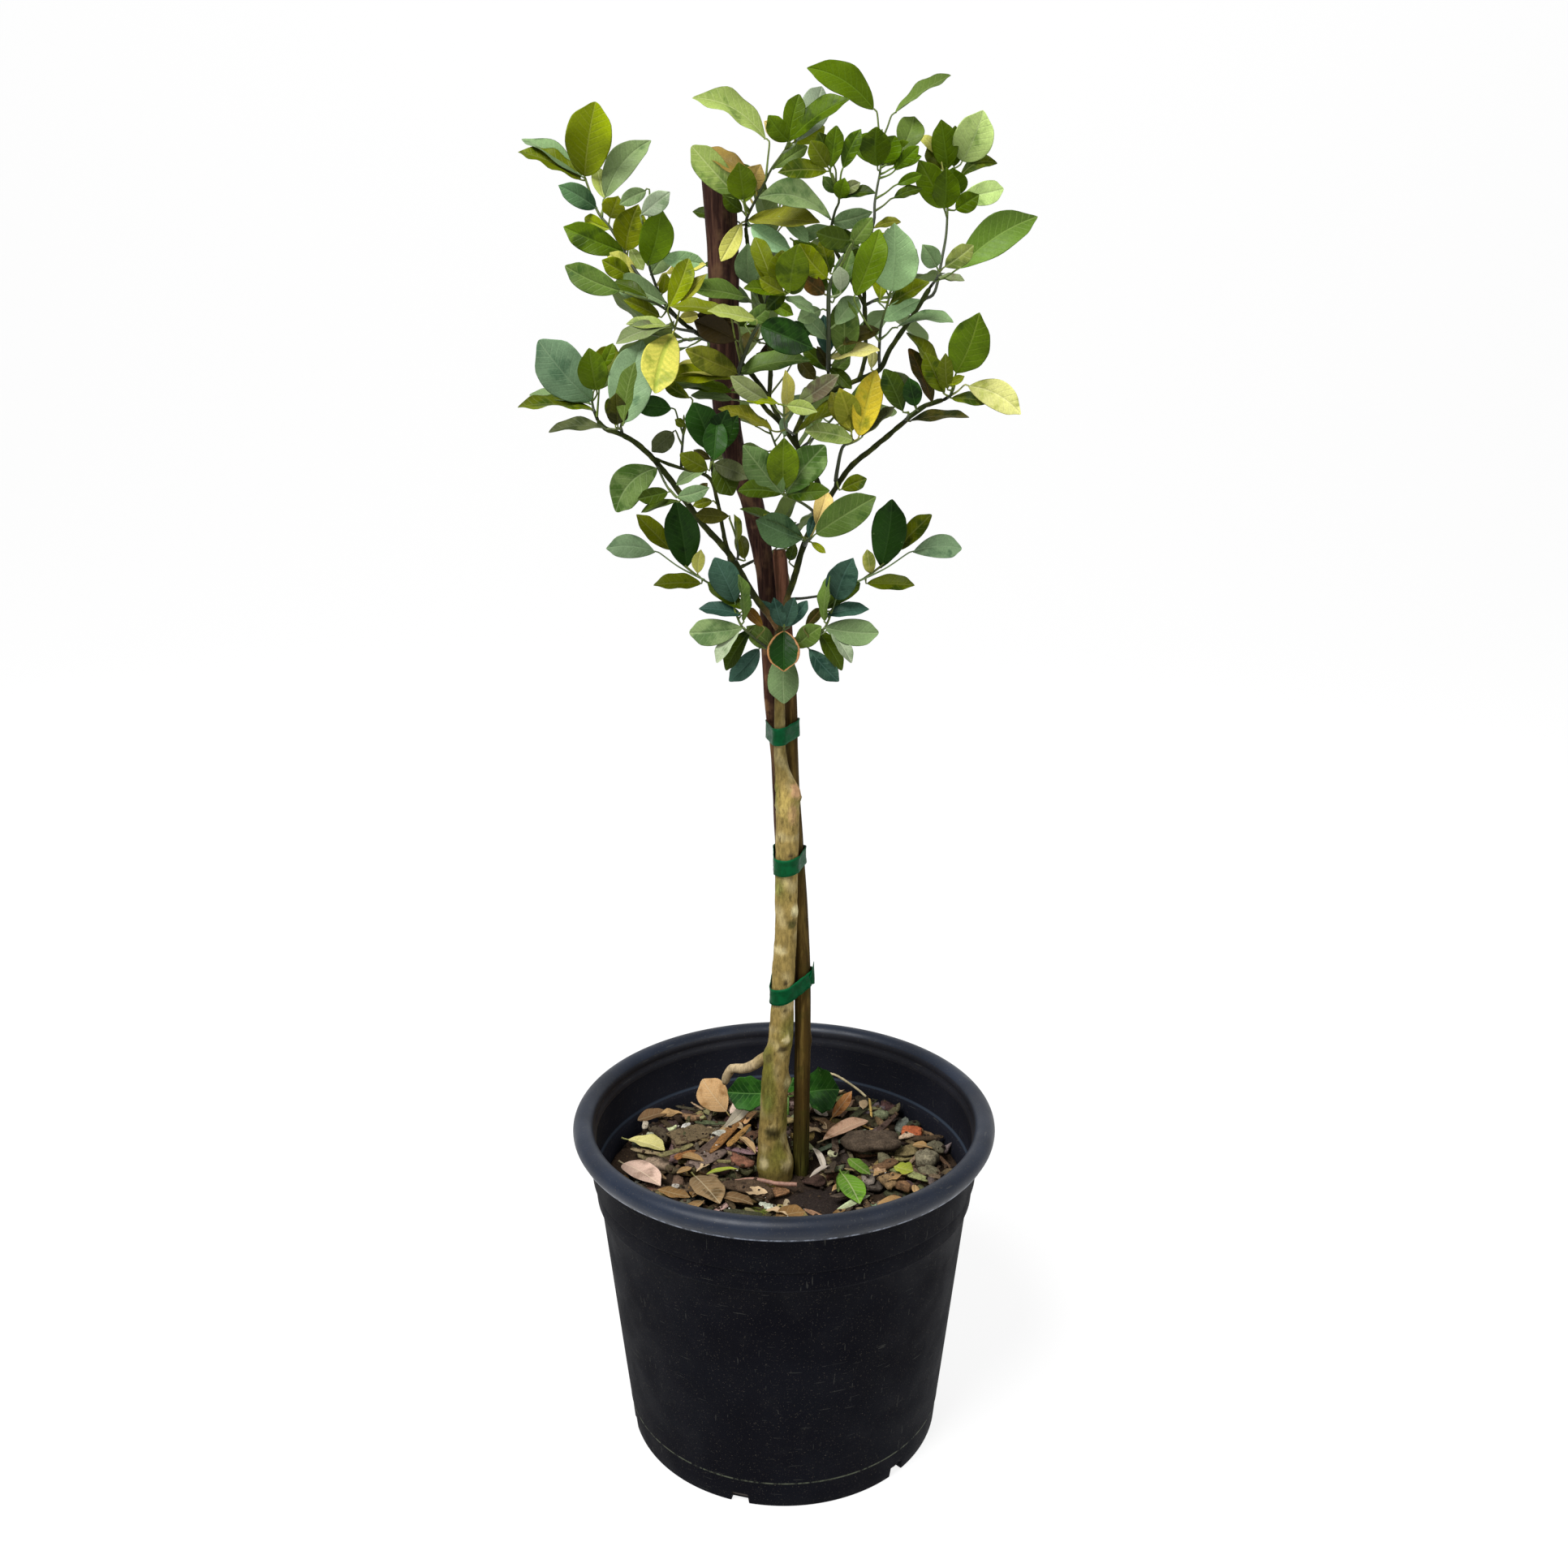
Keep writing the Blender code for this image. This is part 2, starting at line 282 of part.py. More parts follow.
    "shoot_right_inner": (0.09, [(1.31, 68.7, -0.9), (1.5, 69.0, -2.0), (1.9, 69.35, -3.0)], [
        ("sheen", 1.2, 69.2, -1.9, 70.5, 2.3, -1.0), ("dark", 1.3, 69.3, -3.0, 71.3, 0.5, 0.8),
        ("veined_green", 2.2, 69.6, 6.25, 72.1, 2.3), ("peach", 2.2, 70.2, 2.9, 72.5, 1.3, 1.2),
        ("teal", 1.7, 69.3, 2.15, 70.9, 0.7, 0.4), ("lime", 1.9, 69.0, 2.85, 68.3, 0.5, -0.4)]),
    "shoot_tulip": (0.10, [(2.15, 70.5, -1.0), (1.9, 71.2, -2.6), (1.0, 71.8, -4.2), (0.1, 72.1, -5.2),
                           (0.0, 72.5, -5.6)], [
        ("green", -0.15, 72.3, -2.75, 75.5, 2.3), ("green", 0.15, 72.3, 2.75, 75.5, 2.3),
        ("lime", 0.0, 72.6, 0.0, 76.0, 2.2, -1.4), ("olive", -0.1, 72.3, -3.1, 72.5, 1.2, -1.4),
        ("olive", 0.2, 72.2, 3.1, 72.5, 1.2, -1.4)]),
    "shoot_foot_left": (0.10, [(-0.28, 61.2, 0.0), (-1.2, 61.7, -1.6), (-2.3, 62.6, -2.9), (-3.0, 63.3, -3.4),
                               (-3.5, 64.6, -3.5)], [
        ("pale", -2.85, 63.1, -6.6, 62.75, 1.9), ("pale", -3.0, 63.0, -4.75, 60.65, 0.9, -0.8),
        ("teal", -1.75, 61.6, -3.85, 59.3, 1.4, -0.6), ("brown", -1.5, 63.2, -2.6, 64.5, 0.8, 1.0),
        ("green", -0.9, 61.8, -2.6, 63.2, 1.5, -1.4), ("teal", -3.4, 64.9, -4.75, 67.95, 2.1, -0.8),
        ("dark", -2.9, 64.4, -5.25, 66.3, 1.2, 1.0), ("green", -2.8, 63.6, -3.15, 66.8, 0.8, -0.8)]),
    "shoot_foot_left_out": (0.09, [(-1.97, 65.2, -1.2), (-3.0, 65.3, 0.2), (-4.6, 65.9, 1.8),
                                   (-6.1, 66.8, 3.0), (-7.2, 67.7, 3.8)], [
        ("sage", -8.85, 68.35, -12.2, 68.6, 1.65), ("olive", -7.75, 68.5, -10.05, 70.9, 1.3, -0.8),
        ("deep", -6.7, 67.3, -7.35, 71.9, 2.4, -1.4), ("yellow", -5.95, 66.9, -5.7, 68.5, 0.9, -0.8),
        ("olive", -5.75, 66.2, -9.0, 66.1, 1.1, -1.0)]),
    "shoot_foot_right": (0.10, [(-0.28, 61.2, 0.0), (0.9, 61.7, -1.7), (2.2, 62.5, -2.8), (2.9, 63.2, -3.1),
                                (3.4, 64.5, -3.3)], [
        ("pale", 2.85, 63.1, 6.6, 62.75, 1.9), ("pale", 3.3, 62.8, 4.75, 60.65, 0.9, -1.0),
        ("teal", 1.75, 61.6, 3.85, 59.3, 1.4, -0.6), ("brown", 1.5, 63.2, 2.6, 64.5, 0.8, 1.0),
        ("green", 0.9, 61.8, 2.6, 63.2, 1.5, -1.4), ("teal", 3.6, 65.1, 4.75, 67.95, 2.1, -1.1),
        ("dark", 2.9, 64.4, 5.25, 66.3, 1.2, 1.9), ("green", 2.8, 63.6, 3.15, 66.8, 0.8, -0.8)]),
    "shoot_foot_right_out": (0.09, [(0.22, 65.1, -0.5), (1.6, 65.2, 0.2), (3.6, 65.6, 1.6),
                                    (5.6, 66.6, 2.8), (7.0, 67.6, 3.6)], [
        ("sage", 8.85, 68.35, 12.2, 68.6, 1.65), ("olive", 7.75, 68.5, 10.05, 70.9, 1.3, -0.8),
        ("deep", 6.7, 67.3, 7.35, 71.9, 2.4, -1.4), ("yellow", 5.95, 66.9, 5.7, 68.5, 0.9, -0.8),
        ("olive", 5.75, 66.2, 9.0, 66.1, 1.1, -1.0)]),
    "shoot_foot": (0.09, [(-0.28, 61.9, -0.1), (-0.1, 62.3, -1.2), (0.0, 62.9, -2.0), (0.0, 63.6, -2.4)], [
        ("rimmed", 0.0, 62.9, 0.0, 60.0, 2.3, -1.4), ("green", 0.0, 61.6, 0.0, 57.7, 2.2, -0.6),
        ("teal", -0.1, 63.2, -0.7, 65.2, 1.1, -0.8), ("teal", 0.1, 63.2, 0.7, 65.2, 1.1, -0.8)]),
}

# Shoots at the back, which the front ones hide: the same, with a number of leaves instead of a list
BACK_SHOOTS = {
    "shoot_back_low": (0.10, [(0.6, 72.0, 7.4), (0.2, 73.8, 8.6), (-0.6, 75.6, 9.6),
                              (-1.2, 77.2, 10.6)], 8),
    "shoot_back_foot": (0.10, [(-2.6, 67.5, 6.2), (-1.8, 67.9, 7.6), (-0.8, 68.4, 9.0),
                               (0.4, 68.6, 10.0)], 7),
    "shoot_back_left": (0.10, [(-4.3, 82.0, 4.6), (-5.6, 82.4, 6.2), (-7.0, 82.2, 7.8),
                               (-8.4, 81.6, 9.0)], 8),
    "shoot_back_mid": (0.10, [(-0.9, 81.0, 4.6), (-1.0, 82.2, 6.6), (-1.6, 83.6, 8.8),
                              (-2.0, 84.6, 10.8)], 8),
    "shoot_back_top": (0.10, [(-1.3, 84.0, 4.4), (-0.8, 86.4, 5.6), (-0.6, 88.8, 6.4), (-0.2, 91.0, 6.6)], 8),
    "shoot_back_right": (0.10, [(5.3, 84.5, 2.8), (6.2, 84.9, 4.8), (7.2, 85.0, 6.8), (8.0, 84.6, 8.6)], 8),
    "shoot_back_centre": (0.10, [(1.0, 75.2, 2.4), (2.0, 76.0, 4.4), (3.2, 77.2, 6.6), (4.4, 78.6, 8.6)], 8),
}
BACK_LEAF = (3.4, 4.6)
BACK_SEED = 41
BACK_TRIES = 40
BACK_HIDDEN = 0.75
GOLDEN_ANGLE = math.radians(137.5)

# Colour, as linear RGB, of each kind of leaf
TINTS = {
    "lime": (0.200, 0.270, 0.012), "dark": (0.030, 0.085, 0.012), "sage": (0.190, 0.300, 0.170),
    "pale": (0.380, 0.500, 0.190), "yellow": (0.600, 0.560, 0.100), "olive": (0.120, 0.150, 0.015),
    "teal": (0.035, 0.115, 0.090), "green": (0.085, 0.200, 0.045), "deep": (0.012, 0.045, 0.014),
    "brown": (0.180, 0.110, 0.030), "rust": (0.300, 0.130, 0.030), "peach": (0.620, 0.430, 0.130),
    "bright": (0.620, 0.600, 0.040), "veined": (0.560, 0.580, 0.110), "veined_green": (0.100, 0.260, 0.030),
    "lime_veined": (0.260, 0.360, 0.050), "round": (0.420, 0.520, 0.180), "rimmed": (0.060, 0.120, 0.030),
    "sheen": (0.070, 0.180, 0.110),
}
BARK = (0.270, 0.210, 0.090)

# Ties: height and rise from left to right, in cm
TIES = {"tie_low": (35.7, 1.1), "tie_middle": (45.8, 0.35), "tie_top": (55.4, 0.35)}
TAPE_WIDTH = 0.0125
TAPE_THICKNESS = 0.0009
TAPE_OFF = 0.0008
TAPE_POINTS = 18
TAPE_CURVE = 1.6
TAPE_TAIL = (0.00126, 0.007, 0.022)
TAIL_LIFT = 0.005

# Fallen leaves: kind, colour, the two ends in cm as (across, up), width in cm, rise of the middle in cm
FALLEN = {
    "leaf_yellow": ((0.620, 0.520, 0.110), (-12.0, 23.2), (-9.2, 22.3), 1.7, 0.5),
    "leaf_pink": ((0.560, 0.380, 0.280), (-12.4, 21.3), (-9.6, 19.4), 2.3, 0.4),
    "leaf_brown": ((0.260, 0.180, 0.090), (-6.9, 19.8), (-5.0, 17.4), 2.4, 0.6),
    "leaf_rose": ((0.540, 0.350, 0.230), (3.0, 22.9), (6.4, 24.6), 1.7, 0.5),
    "leaf_green": ((0.130, 0.260, 0.020), (4.5, 20.2), (5.9, 17.6), 2.0, 0.4),
}
# Leaves that lean or stand: colour, foot and tip in cm as (across, up, depth), width in cm
STANDING = {
    "leaf_tan": ((0.600, 0.400, 0.200), (-4.4, 25.7, 8.6), (-6.2, 28.4, 9.3), 2.4),
    "leaf_orange": ((0.600, 0.290, 0.090), (3.7, 25.2, 7.6), (5.15, 27.4, 8.4), 0.9),
}
WEED = ((0.070, 0.220, 0.020), (0.3, 27.0, 7.8), [
    ((-1.2, 27.3, 7.4), (-4.3, 27.4, 6.8), 2.9), ((1.8, 27.4, 7.2), (4.2, 27.6, 6.6), 3.8),
    ((0.2, 27.4, 7.6), (0.7, 28.6, 7.6), 1.1)])
TWIG = ((0.300, 0.190, 0.150), [(-4.0, 20.2), (-2.4, 20.45), (-0.6, 20.1), (1.0, 20.0)], 0.17)
STRAW = ((0.560, 0.480, 0.330), [(3.0, 31.0, 11.6), (4.0, 30.75, 11.7), (5.6, 29.6, 11.6),
                                 (6.8, 28.4, 11.0)], 0.10)
# Lumps that lie on the mulch: colour, place in cm as (across, up), length, width, thickness in cm, heading
LUMPS = {
    "bark_plate": ((0.070, 0.045, 0.028), (6.6, 22.6), 5.0, 2.6, 1.0, 8),
    "chip_terracotta": ((0.420, 0.130, 0.060), (9.8, 24.2), 1.7, 1.2, 0.6, 30),
    "stone_grey": ((0.260, 0.250, 0.220), (11.1, 21.5), 2.1, 1.6, 1.3, -50),
}
# Length of a lump's top as a share of its foot's, and width of its bevel as a share of its thickness
LUMP_TOP = 0.7
LUMP_BEVEL = 0.28
# Fold, arch and stalk of the leaves that lie or stand on the mulch
FALLEN_FOLD = 0.12
FALLEN_STALK = 0.006
STANDING_FOLD = 0.2
STANDING_STALK = 0.005
STANDING_ARCH = 0.06
WEED_FOLD = 0.1
WEED_ARCH = 0.05
WEED_STALK = 0.0016
TWIG_LEVEL = MULCH_TOP + 0.012


def material(name, colour, roughness):
    mat = bpy.data.materials.new(name)
    mat.use_nodes = True
    shader = mat.node_tree.nodes["Principled BSDF"]
    shader.inputs["Base Color"].default_value = (*colour, 1.0)
    shader.inputs["Roughness"].default_value = roughness
    shader.inputs["Metallic"].default_value = 0.0
    return mat


def mesh_of(name, verts, faces):
    mesh = bpy.data.meshes.new(name)
    mesh.from_pydata([tuple(v) for v in verts], [], faces)
    bm = bmesh.new()
    bm.from_mesh(mesh)
    bmesh.ops.recalc_face_normals(bm, faces=bm.faces)
    bm.to_mesh(mesh)
    bm.free()
    return mesh


def piece(name, verts, faces, colour=None, roughness=0.6, smooth=False):
    """One object; without a colour it is a scrap that a union or a cut will use."""
    obj = bpy.data.objects.new(name, mesh_of(name, verts, faces))
    bpy.context.scene.collection.objects.link(obj)
    if colour is not None:
        obj.data.materials.append(material(name, colour, roughness))
    if smooth:
        obj.data.shade_smooth()
        obj.data.set_sharp_from_angle(angle=math.radians(35))
    return obj


def closed_and_whole(mesh):
    """Whether every edge has two faces and all faces hold together."""
    bm = bmesh.new()
    bm.from_mesh(mesh)
    closed = bool(bm.faces) and all(edge.is_manifold for edge in bm.edges)
    bm.verts.ensure_lookup_table()
    reached = set()
    queue = bm.verts[:1]
    while queue:
        vert = queue.pop()
        if vert.index in reached:
            continue
        reached.add(vert.index)
        queue.extend(edge.other_vert(vert) for edge in vert.link_edges)
    whole = len(reached) == len(bm.verts)
    bm.free()
    return closed and whole


def simpler(mesh, angle):
    """The mesh with the needless edges taken out of its faces that are flat to within the angle."""
    bm = bmesh.new()
    bm.from_mesh(mesh)
    bmesh.ops.dissolve_limit(bm, angle_limit=angle, verts=bm.verts, edges=bm.edges)
    bmesh.ops.triangulate(bm, faces=bm.faces)
    made = bpy.data.meshes.new(mesh.name)
    bm.to_mesh(made)
    bm.free()
    return made


def combine(obj, scraps, operation, flatness=LEAF_FLATNESS):
    """Joins the scraps to the object, or cuts them from it, and removes them."""
    if not scraps:
        return
    group = bpy.data.collections.new("scraps")
    bpy.context.scene.collection.children.link(group)
    for scrap in scraps:
        bpy.context.scene.collection.objects.unlink(scrap)
        group.objects.link(scrap)
    for solver in ("EXACT", "MANIFOLD"):
        boolean = obj.modifiers.new("combine", "BOOLEAN")
        boolean.operation = operation
        boolean.operand_type = "COLLECTION"
        boolean.collection = group
        boolean.solver = solver
        if solver == "EXACT":
            boolean.use_self = True
        graph = bpy.context.evaluated_depsgraph_get()
        made = bpy.data.meshes.new_from_object(obj.evaluated_get(graph))
        obj.modifiers.remove(boolean)
        if closed_and_whole(made):
            break
    for angle in flatness:
        flatter = simpler(made, math.radians(angle))
        if closed_and_whole(flatter):
            made = flatter
            break
    slots = list(obj.data.materials)
    obj.data = made
    obj.data.materials.clear()
    for mat in slots:
        obj.data.materials.append(mat)
    for scrap in scraps:
        bpy.data.objects.remove(scrap)
    bpy.data.collections.remove(group)


def lathe(profile, sides):
    """A turned solid; the profile runs from the axis round to the axis as (radius, height)."""
    verts = [(0.0, 0.0, profile[0][1])]
    for radius, height in profile[1:-1]:
        for k in range(sides):
            turn = math.tau * k / sides
            verts.append((radius * math.sin(turn), -radius * math.cos(turn), height))
    verts.append((0.0, 0.0, profile[-1][1]))
    last = len(verts) - 1
    faces = []
    for k in range(sides):
        after = (k + 1) % sides
        faces.append((0, 1 + k, 1 + after))
        for ring in range(len(profile) - 3):
            low = 1 + ring * sides
            faces.append((low + k, low + sides + k, low + sides + after, low + after))
        faces.append((last - sides + k, last, last - sides + after))
    return verts, faces


def tube(points, radii, sides, turn=0.0):
    """A solid tube with flat ends through the points."""
    verts = []
    ahead = (points[1] - points[0]).normalized()
    side = ahead.orthogonal().normalized()
    for k, point in enumerate(points):
        before = points[max(k - 1, 0)]
        after = points[min(k + 1, len(points) - 1)]
        ahead = (after - before).normalized()
        side = (side - ahead * side.dot(ahead)).normalized()
        over = ahead.cross(side)
        for j in range(sides):
            angle = turn + math.tau * j / sides
            verts.append(point + (side * math.cos(angle) + over * math.sin(angle)) * radii[k])
    faces = [tuple(range(sides)), tuple(range(len(verts) - sides, len(verts)))]
    for k in range(len(points) - 1):
        low = k * sides
        for j in range(sides):
            after = (j + 1) % sides
            faces.append((low + j, low + after, low + sides + after, low + sides + j))
    return verts, faces


def upright(rings, sides, rise=None):
    """A wooden stem of level rings; rise(height, bearing) adds to the radius, in metres."""
    verts = []
    for across, up, depth, radius in rings:
        centre = seen(across, up, depth)
        for k in range(sides):
            bearing = math.tau * k / sides
            reach = radius * CM * size_at(depth)
            if rise:
                reach += rise(up, math.degrees(bearing))
            verts.append(centre + Vector((math.sin(bearing), -math.cos(bearing), 0.0)) * reach)
    faces = [tuple(range(sides)), tuple(range(len(verts) - sides, len(verts)))]
    for ring in range(len(rings) - 1):
        low = ring * sides
        for k in range(sides):
            after = (k + 1) % sides
            faces.append((low + k, low + after, low + sides + after, low + sides + k))
    return verts, faces


def knot_rise(up, bearing):
    """How far the knots and scars lift the bark at this height (cm) and bearing (degrees)."""
    total = 0.0
    for height, facing, rise, spread in KNOTS:
        turn = (bearing - facing + 180.0) % 360.0 - 180.0
        off = math.hypot(up - height, math.radians(turn) * 0.9) / spread
        total += rise * math.exp(-off * off)
    return total * CM


def outline(u):
    """Half the width of a citrus blade along its length, as a share of the widest."""
    return max(math.sin(math.pi * u ** 0.85), 0.0) ** 0.7


@dataclass
class Leaf:
    """A blade from base to tip, with its stalk from root to base."""
    root: Vector
    base: Vector
    tip: Vector
    normal: Vector
    width: float
    fold: float
    arch: float

    def stations(self):
        length = (self.tip - self.base).length
        if length > LONG_LEAF:
            return (0.18, 0.50, 0.80)
        if length > SHORT_LEAF:
            return (0.28, 0.70)
        return (0.46,)

    def rings(self, grow):
        """Centre, half width, lift of the edges and heading of each section after the root."""
        along = self.tip - self.base
        heading = along.normalized()
        rings = []
        stalk = self.base - self.root
        if stalk.length > SHORT_STALK:
            rings.append((self.base, STALK_HALF + grow, 0.0, (stalk.normalized() + heading).normalized()))
        for u in self.stations():
            rise = 4.0 * u * (1.0 - u) * self.arch * along.length
            half = self.width / 2.0 * outline(u) + grow
            rings.append((self.base + along * u + self.normal * rise, half, half * self.fold, heading))
        return rings

    def solid(self, grow=0.0):
        """The vertices and faces: a rhombus section, folded along the rib, split alike on both sides."""
        heading = (self.tip - self.base).normalized()
        level = heading.cross(self.normal).normalized()
        rings = self.rings(grow)
        pointed = len(rings) == 1
        start = (rings[0][0] - self.root).normalized()
        if not pointed:
            rings.insert(0, (self.root, STALK_HALF + grow, 0.0, start))
        verts = []
        for centre, half, lift, ahead in rings:
            side = (level - ahead * level.dot(ahead)).normalized()
            up = side.cross(ahead)
            edge = centre + up * lift
            rib = up * (RIB_HALF + grow)
            verts += [edge - side * half, centre + rib, edge + side * half, centre - rib]
        last = len(verts) - 4
        verts.append(self.tip + heading * grow)
        faces = [(last + k, last + (k + 1) % 4, last + 4) for k in range(4)]
        if pointed:
            verts.append(self.root - start * STALK_HALF)
            return verts, faces + [(k, (k + 1) % 4, 5) for k in range(4)]
        faces += [(0, 1, 2, 3)] + [(k, (k + 1) % 4, 4 + (k + 1) % 4, 4 + k) for k in range(4)]
        for low in range(4, last, 4):
            for k in (0, 2):
                for j in (1, 3):
                    faces.append((low + k, low + j, low + 4 + j))
                    faces.append((low + k, low + 4 + j, low + 4 + k))
        return verts, faces


def length_of(points):
    return sum((b - a).length for a, b in zip(points, points[1:]))


def cut_route(points, distance):
    """Splits a route at a distance from its start."""
    for k in range(len(points) - 1):
        step = (points[k + 1] - points[k]).length
        if distance < step:
            at = points[k].lerp(points[k + 1], distance / step)
            return points[:k + 1] + [at], [at] + points[k + 1:]
        distance -= step
    return points, points[-1:]


def smooth_route(points):
    """One more point in the middle of each stretch, on a smooth curve through the given ones."""
    route = [points[0]]
    for k in range(len(points) - 1):
        before = points[max(k - 1, 0)]
        after = points[min(k + 2, len(points) - 1)]
        route.append((points[k] + points[k + 1]) * 0.5625 - (before + after) * 0.0625)
        route.append(points[k + 1])
    return route


def nearest_on(points, place):
    """The point of a twig nearest to a place in the front view, clear of its two ends."""
    best = None
    steps = 60
    total = length_of(points)
    for k in range(steps + 1):
        distance = ROOT_START + (total - 0.0012 - ROOT_START) * k / steps
        point = cut_route(points, distance)[0][-1]
        off = math.hypot(point.x - place.x, point.z - place.z)
        if best is None or off < best[0]:
            best = (off, point)
    return best[1]


def turned_to_front(base, tip):
    """The way a blade from base to tip faces when its full width shows from the front."""
    along = (tip - base).normalized()
    look = (EYE - base).normalized()
    return (look - along * look.dot(along)).normalized()


def placed_leaf(row, twig, shift, roll_turn, lean_add, shrink):
    """The leaf of one table row on a twig, with the turns that keep it clear of its neighbours."""
    base_x, base_z, tip_x, tip_z, width = row[1:6]
    span = math.hypot(tip_x - base_x, tip_z - base_z)
    ratio = width / span
    broad = BROAD + 0.5 * max(ratio - BROAD, 0.0)
    length = max(span, width / broad)
    lean = row[6] if len(row) > 6 else -math.sqrt(max(length ** 2 - span ** 2, 0.0))
    true_width = max(width, SLIM * span) * shrink
    # The root is the twig's nearest point in the front view, and the base lies near its depth
    flat = seen(base_x, base_z)
    depth = 0.0
    for _ in range(3):
        root = nearest_on(twig, seen(base_x, base_z, depth))
        depth = root.y / CM
    away = math.hypot(flat.x - root.x, flat.z - root.z) / CM
    depth += shift - 0.15 * away
    base = seen(base_x, base_z, depth)
    tip = seen(tip_x, tip_z, depth + lean + lean_add)
    along = (tip - base).normalized()
    facing = turned_to_front(base, tip)
    roll = math.acos(min(width / max(width, SLIM * span), 1.0))
    turns = [Matrix.Rotation(sign * roll + roll_turn, 3, along) @ facing for sign in (1, -1)]
    normal = max(turns, key=lambda turn: turn.z)
    scale = size_at(depth)
    return Leaf(root, base, tip, normal, true_width * CM * scale, FOLD, ARCH)


def tree_of(verts, faces):
    return BVHTree.FromPolygons([tuple(v) for v in verts], faces)


class Crowd:
    """The solids placed so far, to keep a new leaf clear of them."""

    def __init__(self):
        self.solids = []

    def add(self, owner, verts, faces):
        centre = sum((Vector(v) for v in verts), Vector()) / len(verts)
        radius = max((Vector(v) - centre).length for v in verts)
        self.solids.append((owner, centre, radius, tree_of(verts, faces)))

    def blocked(self, owner, verts, faces):
        centre = sum((Vector(v) for v in verts), Vector()) / len(verts)
        radius = max((Vector(v) - centre).length for v in verts)
        tree = None
        for other, place, reach, solid in self.solids:
            if other == owner or (place - centre).length > reach + radius:
                continue
            tree = tree or tree_of(verts, faces)
            if tree.overlap(solid):
                return True
        return False


# Turns to try for a leaf that meets another: depth of the base, roll, depth of the tip, size
TRIES = [(0.0, 0.0, 0.0, 1.0), (-0.3, 0.0, -0.3, 1.0), (0.3, 0.0, 0.3, 1.0), (0.0, 0.25, 0.0, 1.0),
         (0.0, -0.25, 0.0, 1.0), (0.0, 0.0, -0.7, 1.0), (0.0, 0.0, 0.7, 1.0), (-0.6, 0.0, -0.8, 1.0),
         (0.6, 0.0, 0.8, 1.0), (0.0, 0.2, -1.2, 1.0), (0.0, -0.2, 1.2, 1.0), (-1.0, 0.0, -1.2, 1.0),
         (1.0, 0.0, 1.2, 1.0), (0.0, 0.0, -1.8, 1.0), (0.0, 0.0, 1.8, 1.0), (-1.4, 0.0, -1.6, 0.9),
         (1.4, 0.0, 1.6, 0.9), (0.0, 0.4, -0.8, 0.8), (0.0, -0.4, 0.8, 0.8), (-1.8, 0.0, -2.2, 0.8),
         (0.4, 0.3, 2.6, 0.75), (-0.4, -0.3, -2.6, 0.75)]


def front_leaves(name, rows, twig, crowd):
    leaves = []
    for row in rows:
        for shift, roll, lean, shrink in TRIES:
            leaf = placed_leaf(row, twig, shift, roll, lean, shrink)
            if not crowd.blocked(name, *leaf.solid(CLEAR)):
                leaves.append((row[0], leaf))
                crowd.add(name, *leaf.solid())
                break
    return leaves


def hidden_share(leaf, crowd):
    """How much of a leaf is behind other leaves for one who looks from the front."""
    along = leaf.tip - leaf.base
    side = along.cross(leaf.normal).normalized()
    spots = [leaf.base + along * u + side * (v * leaf.width * 0.5 * outline(u))
             for u in (0.15, 0.4, 0.65, 0.97) for v in (-0.9, 0.0, 0.9)]
    hidden = 0
    for spot in spots:
        away = EYE - spot
        ray = away.normalized()
        for _, centre, radius, solid in crowd.solids:
            off = (centre - spot) - ray * (centre - spot).dot(ray)
            if off.length < radius and solid.ray_cast(spot + ray * 0.004, ray, away.length)[0]:
                hidden += 1
                break
    return hidden / len(spots)


def back_leaves(name, count, twig, crowd, draw):
    """Leaves set spirally along a twig, kept only where the front of the crown hides them."""
    leaves = []
    total = length_of(twig)
    for k in range(count):
        distance = ROOT_START + 0.002 + (total - 0.004 - ROOT_START) * (k + 0.5) / count
        root = cut_route(twig, distance)[0][-1]
        ahead = (cut_route(twig, min(distance + 0.002, total - 0.001))[0][-1] - root).normalized()
        for _ in range(BACK_TRIES):
            turn = GOLDEN_ANGLE * k + draw.uniform(-1.2, 1.2)
            out = Matrix.Rotation(turn, 3, ahead) @ ahead.orthogonal().normalized()
            way = out + ahead * draw.uniform(0.2, 1.0) + Vector((0, 0, draw.uniform(-0.4, 0.3)))
            way = way.normalized()
            length = draw.uniform(*BACK_LEAF) * CM
            base = root + way * draw.uniform(0.006, 0.014)
            up = Vector((draw.uniform(-0.4, 0.4), draw.uniform(-0.2, 0.8), 1.0))
            normal = (up - way * up.dot(way)).normalized()
            leaf = Leaf(root, base, base + way * length, normal, length * BROAD, FOLD, ARCH)
            if crowd.blocked(name, *leaf.solid(CLEAR)) or hidden_share(leaf, crowd) < BACK_HIDDEN:
                continue
            leaves.append((draw.choice(("dark", "green", "olive", "sage", "deep")), leaf))
            crowd.add(name, *leaf.solid())
            break
    return leaves


def tapered(count, start, end):
    return [start + (end - start) * k / (count - 1) for k in range(count)]


